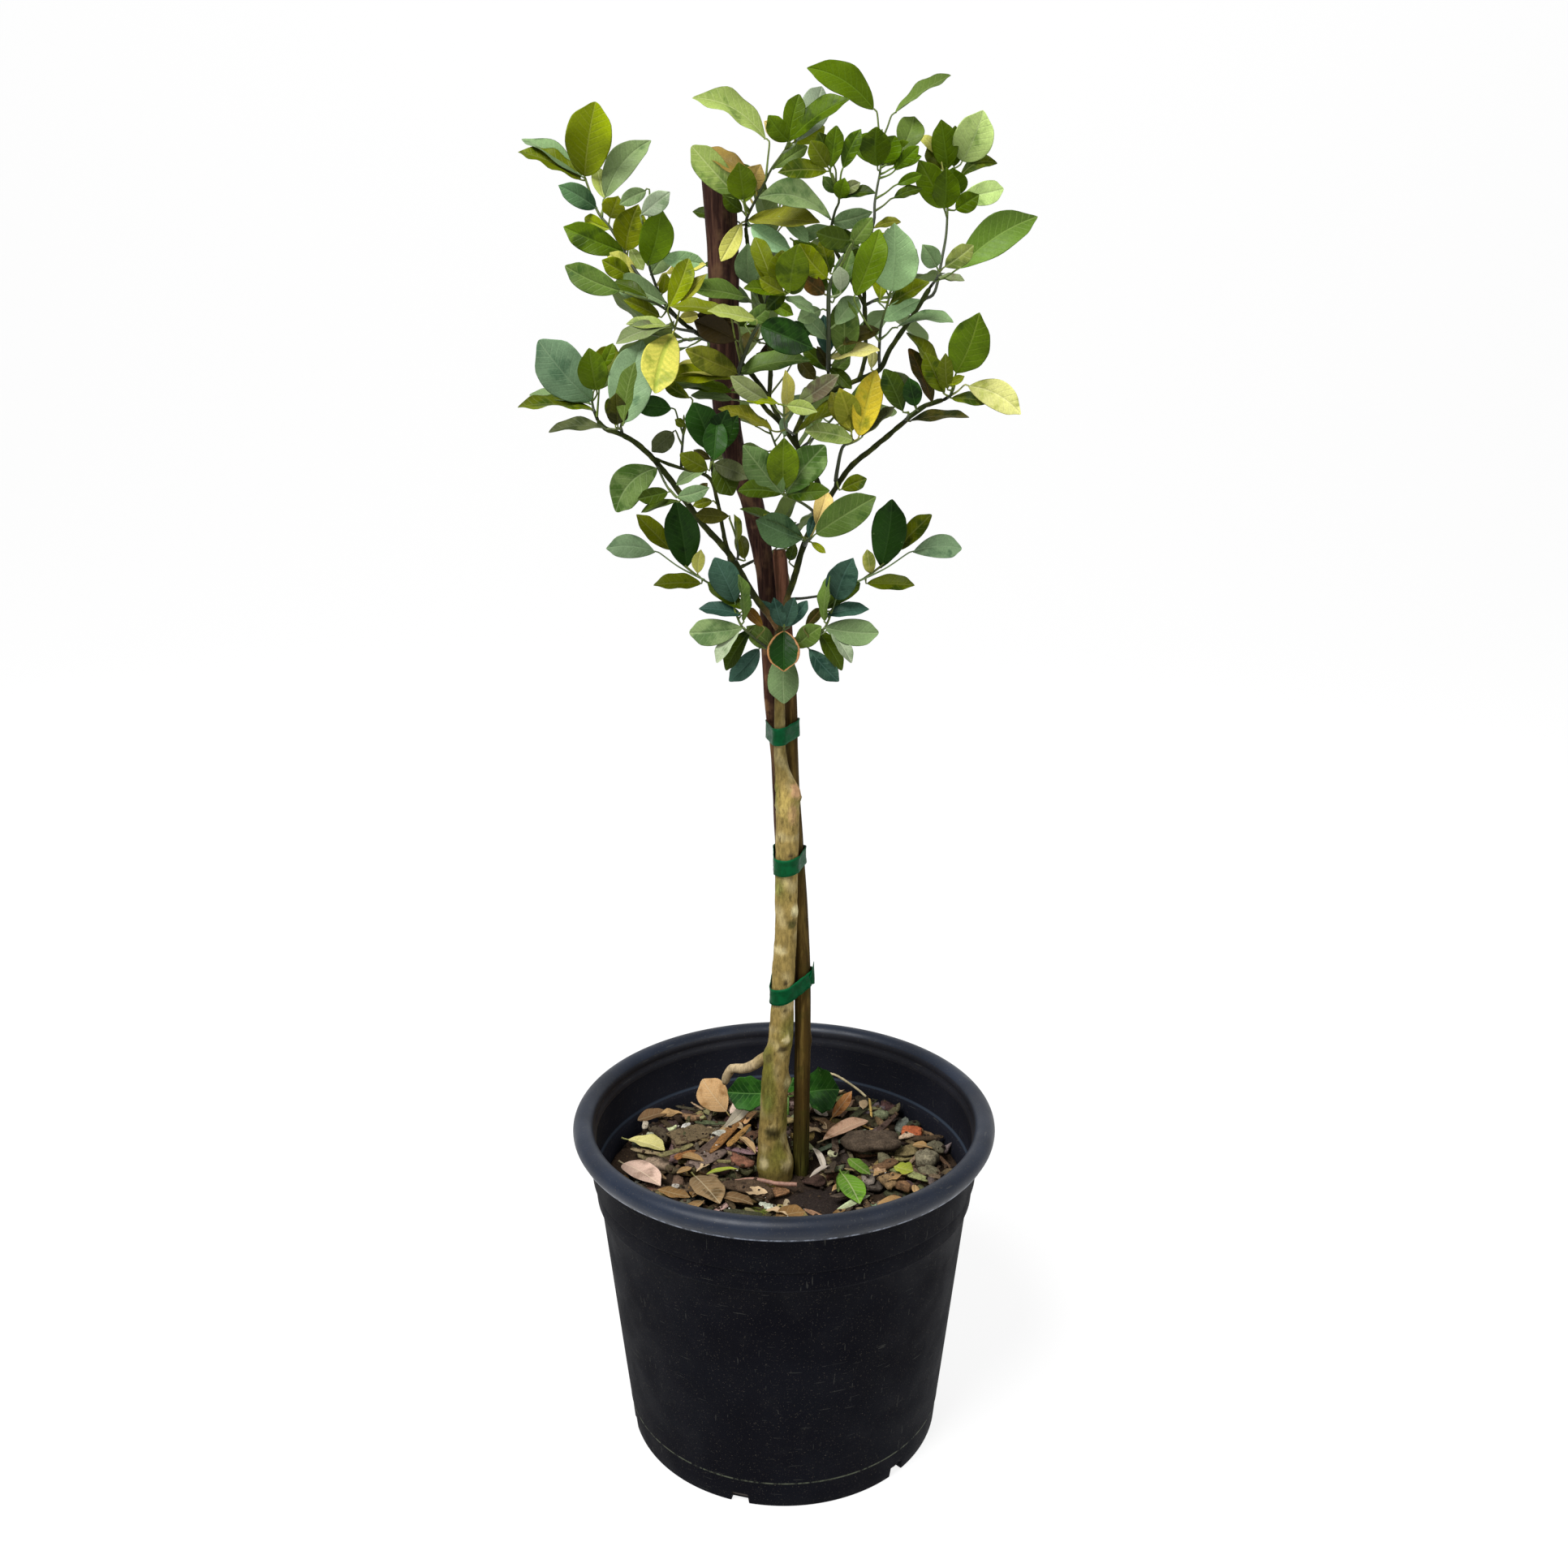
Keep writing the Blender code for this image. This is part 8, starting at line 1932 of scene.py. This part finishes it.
# Size in mm (length, width and thickness, each from and to), section and outline roundness, roughness, ridges
CHIP_FORMS = {
    "slab": ((14, 36), (7, 17), (2.0, 4.4), (0.45, 0.70), 0.22, 0.10),
    "lump": ((10, 25), (7, 14), (3.5, 7.5), (0.70, 0.85), 0.25, 0.08),
    "strip": ((22, 50), (3, 7), (1.2, 2.8), (0.60, 0.55), 0.14, 0.22),
    "pale": ((6, 15), (4, 8), (0.9, 2.0), (0.45, 0.70), 0.24, 0.05),
    "stick": ((20, 40), (1.2, 2), (1.2, 2.0), (1.00, 0.40), 0.10, 0.0),
}


def lay_chip(skin, bed, draw, kind, centre, heading, size, colour, tilt, tries=1):
    """Lays one chip on the bed if it fits, and says whether it did."""
    _, _, _, shape, rough, ridges = CHIP_FORMS[kind]
    fine = (18, 10) if size[0] > 0.02 else (13, 7)
    form = rounded(draw, size, shape, rough, draw.uniform(-0.5, 0.9), ridges, *fine)
    turn = Matrix.Rotation(heading, 3, "Z") @ Matrix.Rotation(draw.uniform(-tilt, tilt), 3, "Y")
    turn = turn @ Matrix.Rotation(draw.uniform(-tilt, tilt) * 1.3, 3, "X")
    form = changed(form, lambda p: turn @ p + centre)
    rings = form[:-1]
    under = [p for ring in rings[:len(rings) // 2] for p in ring]
    rise = bed.settle([p for ring in rings for p in ring], UP * bed.lift(under), tries)
    if rise is None:
        return False
    seed = Vector((draw.uniform(0, 50), 0.0, 0.0))
    add_rounded(skin, changed(form, lambda p: p + rise), shaded(colour, seed))
    return True


def lay_flake(skin, bed, draw, base, tip, width, colour, tries=1):
    """Lays a scrap of dry leaf on the bed if it fits, and says whether it did."""
    along = (tip - base).normalized()
    side = along.cross(UP)
    normal = (UP + side * draw.uniform(-0.3, 0.3) + along * draw.uniform(-0.2, 0.2)).normalized()
    level = normal.cross(along).normalized()
    spots = [base.lerp(tip, u) + level * (v * width / 2) for u in (0.1, 0.5, 0.9) for v in (-0.8, 0.0, 0.8)]
    rise = bed.settle(spots, UP * (bed.lift(spots) + 0.0012), tries)
    if rise is None:
        return False
    stain = blend(colour, rgb("4a3520"), 0.5)
    look = dict(tint=(*colour, draw.uniform(0, 9)), accent=(*stain, draw.uniform(0.2, 0.6)),
                rib=(*blend(colour, rgb("d8c9a0"), 0.4), 0.35))
    add_blade(skin, Leaf(base, base + rise, tip + rise, normal, width), look, draw, 1, 1.8)
    return True


def make_mulch_material():
    """Fibrous bark with dirt and pale grit."""
    n = Nodes("mulch")
    fibre = n.ramp(n.noise(700.0, 4.0, rough=0.65), 0.32, 0.68, 0.66, 1.30)
    colour = n.shade(n.value("tint"), fibre)
    dirt = n.ramp(n.noise(230.0, 5.0, rough=0.7), 0.50, 0.66, 0.0, 0.6)
    colour = n.mix(dirt, colour, rgb("2a211a"))
    pale = n.ramp(n.noise(2600.0, 1.0), 0.70, 0.74, 0.0, 0.5)
    colour = n.mix(pale, colour, rgb("a89c84"))
    relief = n.bump(n.noise(600.0, 6.0, rough=0.7), 0.0011, 0.9)
    return n.finish(colour, 0.85, relief, 0.12)


def make_bed():
    """The bed itself: a closed layer with dark gritty soil, moss and a bare patch."""
    skin = Skin()
    edge = wall_inside(SOIL_TOP) - 0.0008
    angles = [math.tau * k / BED_SIDES for k in range(BED_SIDES)]
    rings = [[skin.vert(around(edge, angle, SOIL_TOP + GAP), DARK_SOIL) for angle in angles]]
    for r in range(BED_RINGS):
        ring = []
        for angle in angles:
            x, y, _ = around(edge * (1.0 - r / BED_RINGS), angle)
            point = Vector((x, y, bed_level(x, y)))
            moss, bare = within(MOSS, point), within(BARE_SOIL, point)
            point.z += 0.0030 * moss + 0.0012 * bare + 0.0010 * moss * noise.noise(point * 900.0)
            green = blend(MOSS_DARK, MOSS_PALE, smoothstep(-0.3, 0.5, noise.noise(point * 700)))
            cover = moss * smoothstep(-0.35, 0.15, noise.noise(point * 330.0))
            ring.append(skin.vert(point, blend(blend(SOIL, WET_SOIL, bare), green, cover)))
        rings.append(ring)
    middle = skin.vert((0.0, 0.0, bed_level(0.0, 0.0)), SOIL)
    skin.face(rings[0])
    for low, high in zip(rings, rings[1:]):
        band(skin, low, high)
    for k in range(BED_SIDES):
        skin.face((rings[-1][k], rings[-1][(k + 1) % BED_SIDES], middle))
    skin.piece("mulch_bed", [MULCH_MAT], "mulch", "mulch")


def any_place(draw, reach):
    """A place drawn within this radius of the pot's axis."""
    turn, radius = draw.uniform(0.0, math.tau), reach * math.sqrt(draw.uniform(0.0, 1.0))
    return Vector(around(radius, turn))


def scatter_chips(chips, bed, draw):
    """The loose bark, with less of it on the bare soil and the moss."""
    for kind, count in CHIP_KINDS:
        laid = 0
        for _ in range(count * CHIP_TRIES):
            if laid == count:
                break
            centre = any_place(draw, CHIP_REACH)
            heading = draw.uniform(0.0, math.tau)
            if draw.random() < max(within(BARE_SOIL, centre), within(MOSS, centre) * 0.8):
                continue
            if kind == "flake":
                ahead = Vector((math.cos(heading), math.sin(heading), 0.0)) * draw.uniform(0.006, 0.015)
                colour = rgb(draw.choice(DRY_COLOURS))
                width = ahead.length * draw.uniform(0.8, 1.3)
                laid += lay_flake(chips, bed, draw, centre - ahead, centre + ahead, width, colour)
                continue
            size = [draw.uniform(*span) * MM for span in CHIP_FORMS[kind][:3]]
            colour = rgb(draw.choice(PALE_COLOURS if kind == "pale" else CHIP_COLOURS))
            colour = tuple(c * draw.uniform(0.75, 1.2) for c in colour)
            laid += lay_chip(chips, bed, draw, kind, centre, heading, size, colour, CHIP_TILT)


def lay_bed_pieces(chips, bed, draw):
    """The larger chips, one by one."""
    for kind, ax, ay, bx, by, wide, colour in BED_PIECES:
        one, two = on_bed(ax, ay), on_bed(bx, by)
        one.z = two.z = 0.0
        span = two - one
        if kind == "flake":
            lay_flake(chips, bed, draw, one, two, wide * CM, rgb(colour), CHIP_TRIES)
            continue
        thick = sum(CHIP_FORMS[kind][2]) / 2.0 * MM
        size = (span.length, wide * CM, min(thick, 0.6 * wide * CM))
        middle, heading = (one + two) / 2.0, math.atan2(span.y, span.x)
        lay_chip(chips, bed, draw, kind, middle, heading, size, rgb(colour), PIECE_TILT, CHIP_TRIES)


def scatter_crumbs(crumbs, bed, draw):
    """Small crumbs between the chips; some are white, and more of those lie on the bare soil."""
    for _ in range(CRUMBS):
        centre = any_place(draw, CRUMB_REACH)
        span = draw.uniform(*CRUMB_SIZE)
        size = (span, span * draw.uniform(0.5, 0.9), span * draw.uniform(0.4, 0.7))
        white = draw.random() < (WHITE_ON_BARE if within(BARE_SOIL, centre) > 0.3 else WHITE_CRUMBS)
        colour = rgb("cfcabd") if white else rgb(draw.choice(CRUMB_COLOURS))
        if white:
            size = tuple(s * 0.55 for s in size)
        form = rounded(draw, size, (0.8, 0.9), 0.3, sides=7, rows=5)
        turned = Matrix.Rotation(draw.uniform(0, math.tau), 3, "Z")
        place = centre + UP * (bed.level(centre) + size[2] * 0.25)
        form = changed(form, lambda p: turned @ p + place)
        if bed.fits([p for ring in form[:-1] for p in ring]):
            add_rounded(crumbs, form, shaded(colour, place, 0.15))


def make_mulch():
    """The bed, the loose bark over it and the crumbs between."""
    bed = Bed([*FALLEN, *LUMPS, "leaf_tan", "leaf_orange", "twig_fallen", "weed"])
    make_bed()
    draw = random.Random(CHIP_SEED)
    chips = Skin()
    scatter_chips(chips, bed, draw)
    lay_bed_pieces(chips, bed, draw)
    chips.piece("bark_chips", [MULCH_MAT, DRY_MAT], "mulch")
    crumbs = Skin()
    scatter_crumbs(crumbs, bed, draw)
    crumbs.piece("crumbs", [MULCH_MAT], "mulch")


# What lies or stands on the mulch, in cm: colour, stain, both ends, width, slot
FALLEN = {
    "leaf_yellow": ("c0b878", "a8a05c", (-12.0, 23.2), (-9.2, 22.3), 1.9, "leaf_dry_yellow"),
    "leaf_pink": ("c2a594", "9c8272", (-12.4, 21.3), (-9.6, 19.4), 2.3, "leaf_dry_pink"),
    "leaf_brown": ("80694a", "5c4a30", (-6.9, 19.8), (-5.0, 17.4), 2.4, "leaf_dry_brown"),
    "leaf_rose": ("c7a084", "8a6448", (3.0, 22.9), (6.4, 24.6), 1.7, "leaf_dry_pink"),
    "leaf_green": ("5c8424", "42661c", (4.5, 20.2), (5.9, 17.6), 2.0, "leaf_fresh"),
}
STANDING = {
    "leaf_tan": ("d0a877", "a98052", (-4.4, 25.7, 8.6), (-6.2, 28.4, 9.3), 2.4, "leaf_dry_tan"),
    "leaf_orange": ("c78a52", "9a6236", (3.7, 25.2, 7.6), (5.15, 27.4, 8.4), 0.9, "leaf_dry_orange"),
}
# The weed's crown, and its leaves with base, tip and width
WEED_CROWN = (0.3, 27.0, 7.8)
WEED_LEAVES = [((-1.2, 27.3, 7.4), (-4.3, 27.4, 6.8), 2.9), ((1.8, 27.4, 7.2), (4.2, 27.6, 6.6), 3.8),
               ((0.2, 27.4, 7.6), (0.7, 28.6, 7.6), 1.1)]
# Radii and routes of the fallen twig and the straw
TWIG = (0.17, [(-4.0, 20.2), (-2.4, 20.45), (-0.6, 20.1), (1.0, 20.0)])
STRAW = (0.10, [(3.0, 31.0, 11.6), (4.0, 30.75, 11.7), (5.6, 29.6, 11.6), (6.8, 28.4, 11.0)])
# Lumps: colour, section and outline roundness, roughness, ridges, slot
LUMPS = {
    "bark_plate": ("4e4236", (0.75, 0.80), 0.26, 0.26, "bark_chunk"),
    "chip_terracotta": ("b2603c", (0.50, 0.60), 0.10, 0.02, "terracotta"),
    "stone_grey": ("7a735e", (0.85, 0.90), 0.30, 0.02, "stone"),
}
# How far fallen leaves lie above their solids, in metres, so that the loose chips don't cover them
SETTLED_OFF = 0.0032


def settled(node, leaf):
    """The leaf moved to the height that its solid settled at."""
    verts = frame["nodes"][node].data.vertices
    near = min(verts, key=lambda vert: (vert.co.xy - leaf.tip.xy).length)
    return leaf.raised(UP * (near.co.z - leaf.tip.z + SETTLED_OFF))


def make_litter():
    """The fallen and the standing leaves, the weed, the lumps, the twig and the straw."""
    draw = random.Random(LITTER_SEED)
    for name, (colour, stain, start, end, width, slot) in FALLEN.items():
        base, tip = on_bed(*start), on_bed(*end)
        leaf = Leaf(base - (tip - base).normalized() * 0.006, base, tip, UP, width * CM)
        litter_leaf(name, leaf, colour, stain, slot, draw)
    for name, (colour, stain, start, end, width, slot) in STANDING.items():
        base, tip = seen(*start), seen(*end)
        root = base - (tip - base).normalized() * 0.005
        leaf = Leaf(root, base, tip, facing_camera(base, tip), width * CM * size_at(start[2]))
        litter_leaf(name, leaf, colour, stain, slot, draw)
    make_weed(draw)
    for name, look in LUMPS.items():
        make_lump(name, draw, *look)
    twig = [on_bed(*spot, MULCH_TOP + 0.012) for spot in TWIG[1]]
    make_straw("twig_fallen", TWIG[0], twig, "8a6656", "twig_dry")
    make_straw("straw", STRAW[0], [seen(*spot) for spot in STRAW[1]], "c9bb93", "straw_dry")


def litter_leaf(name, leaf, colour, stain, slot, draw):
    """One leaf on the mulch."""
    skin = Skin()
    leaf = settled(name, leaf)
    colours = dict(tint=(*rgb(colour), draw.uniform(0.0, 9.0)), accent=(*rgb(stain), 0.5),
                   rib=(*blend(rgb(colour), rgb("e8dcb8"), 0.5), 0.45))
    add_blade(skin, leaf, colours, draw, 0, 0.5)
    add_stalk(skin, leaf, colours)
    skin.piece(name + "_curled", [DRY_MAT if "dry" in slot else LEAF_MAT, TWIG_MAT], slot, name)


def make_weed(draw):
    """A low weed with broad leaves behind the trunk."""
    skin = Skin()
    crown = seen(*WEED_CROWN)
    stem_tint = blend(STALK_TINT, rgb("5a8a3a"), 0.6)
    foot = Vector((crown.x, crown.y, MULCH_TOP - 0.001))
    sweep(skin, [foot, foot.lerp(crown, 0.5), crown], [0.001] * 3, 8, 1, lambda share, point: stem_tint)
    colours = dict(tint=(*rgb("2f5c1e"), 1.0), accent=(*rgb("1c4016"), 0.7), rib=(*rgb("6d9a52"), 0.4))
    for base, tip, width in WEED_LEAVES:
        base, tip = seen(*base), seen(*tip)
        leaf = Leaf(crown, base, tip, facing_camera(base, tip), width * CM)
        add_blade(skin, leaf, colours, draw, 0, 1.2, lobes=0.10)
        add_stalk(skin, leaf, colours)
    skin.piece("weed_leaves", [LEAF_MAT, TWIG_MAT], "leaf_fresh", "weed")


def make_lump(name, draw, colour, shape, rough, ridges, slot):
    """A rounded lump that fills the box of its solid."""
    low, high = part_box(name)
    middle = (low + high) / 2.0
    form = rounded(draw, high - low, shape, rough, 0.0, ridges, 34, 20)
    form = changed(form, lambda p: clamped(p * 0.96 + middle, low, high))
    skin = Skin()
    add_rounded(skin, form, shaded(rgb(colour), middle, 0.25))
    skin.piece(name + "_rough", [MULCH_MAT], slot, name)


def make_straw(name, radius, points, colour, slot):
    """A thin round stem along the points, lowered to the foot of its solid."""
    places, sizes = curve_through(points, [radius * CM] * len(points), 0.002)
    drop = UP * (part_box(name)[0].z + radius * CM - min(p.z for p in places))
    sizes = [s * (1.0 + 0.15 * noise.noise(p * 300.0)) for p, s in zip(places, sizes)]
    tint = rgb(colour)

    def paint(share, point):
        return tuple(c * (1.0 + 0.3 * noise.noise(point * 200.0)) for c in tint)

    skin = Skin()
    sweep(skin, [p + drop for p in places], sizes, 10, 0, paint)
    skin.piece(name + "_round", [TWIG_MAT], slot, name)


def clamped(point, low, high):
    """The point, or the nearest one inside the box."""
    return Vector(tuple(min(max(p, a), b) for p, a, b in zip(point, low, high)))


# Studio, in metres
WHITE = (1.0, 1.0, 1.0, 1.0)
WORLD_LIGHT = 0.34
PAPER_GLOW = 0.84
PAPER_WIDTH = 14.0
PAPER_NEAR = -6.0
PAPER_FAR = 5.0
PAPER_HEIGHT = 7.0
PAPER_BEND = 2.0
BEND_STEPS = 12
# Lights: name, place, what it points at, size and power
LIGHTS = [("key", (-1.2, -1.6, 3.2), (0.0, 0.0, 0.5), 1.6, 144.0),
          ("fill", (2.2, -1.8, 2.0), (0.0, 0.0, 0.4), 2.4, 26.0)]


def make_studio():
    """A pale floor that curves up behind the pot, soft light from above, and the camera."""
    n = Nodes("studio")
    paper = n.finish(rgb("7c7c7c"), 0.9, None, 0.0)
    n.shader.inputs["Emission Color"].default_value = WHITE
    n.shader.inputs["Emission Strength"].default_value = PAPER_GLOW
    profile = [(PAPER_NEAR, 0.0), (PAPER_FAR - PAPER_BEND, 0.0)]
    for k in range(1, BEND_STEPS + 1):
        angle = math.pi / 2.0 * k / BEND_STEPS
        rise = PAPER_BEND - PAPER_BEND * math.cos(angle)
        profile.append((PAPER_FAR - PAPER_BEND + PAPER_BEND * math.sin(angle), rise))
    profile.append((PAPER_FAR, PAPER_HEIGHT))
    verts = [(side * PAPER_WIDTH / 2.0, y, z) for y, z in profile for side in (-1, 1)]
    faces = [(2 * k, 2 * k + 1, 2 * k + 3, 2 * k + 2) for k in range(len(profile) - 1)]
    floor = plain_object("floor", verts, faces)
    floor.data.materials.append(paper)
    floor.data.shade_smooth()
    world = bpy.data.worlds.new("studio")
    world.use_nodes = True
    sky = world.node_tree.nodes["Background"]
    sky.inputs["Color"].default_value = WHITE
    sky.inputs["Strength"].default_value = WORLD_LIGHT
    bpy.context.scene.world = world
    bpy.context.scene.view_settings.view_transform = "Standard"
    for name, place, target, size, power in LIGHTS:
        lamp = bpy.data.lights.new(name, "AREA")
        lamp.shape, lamp.size, lamp.energy = "DISK", size, power
        obj = in_scene(name, lamp)
        obj.location = place
        obj.rotation_euler = (Vector(target) - Vector(place)).to_track_quat("-Z", "Y").to_euler()
    view = bpy.data.cameras.new("camera")
    view.lens, view.sensor_width = LENS, SENSOR
    camera = in_scene("camera", view)
    camera.location = EYE
    camera.rotation_euler = (math.pi / 2.0 - PITCH_DOWN, 0.0, 0.0)
    bpy.context.scene.camera = camera


LEAF_MAT = make_leaf_material("leaf", "8a9c66", 0.36)
DRY_MAT = make_leaf_material("dry_leaf", "b09a70", 0.55)
TWIG_MAT = make_twig_material()
MULCH_MAT = make_mulch_material()

make_studio()
spurs = grow_shoots()
grow_between()
make_wood(spurs)
make_stakes()
make_ties()
make_pot()
make_mulch()
make_litter()
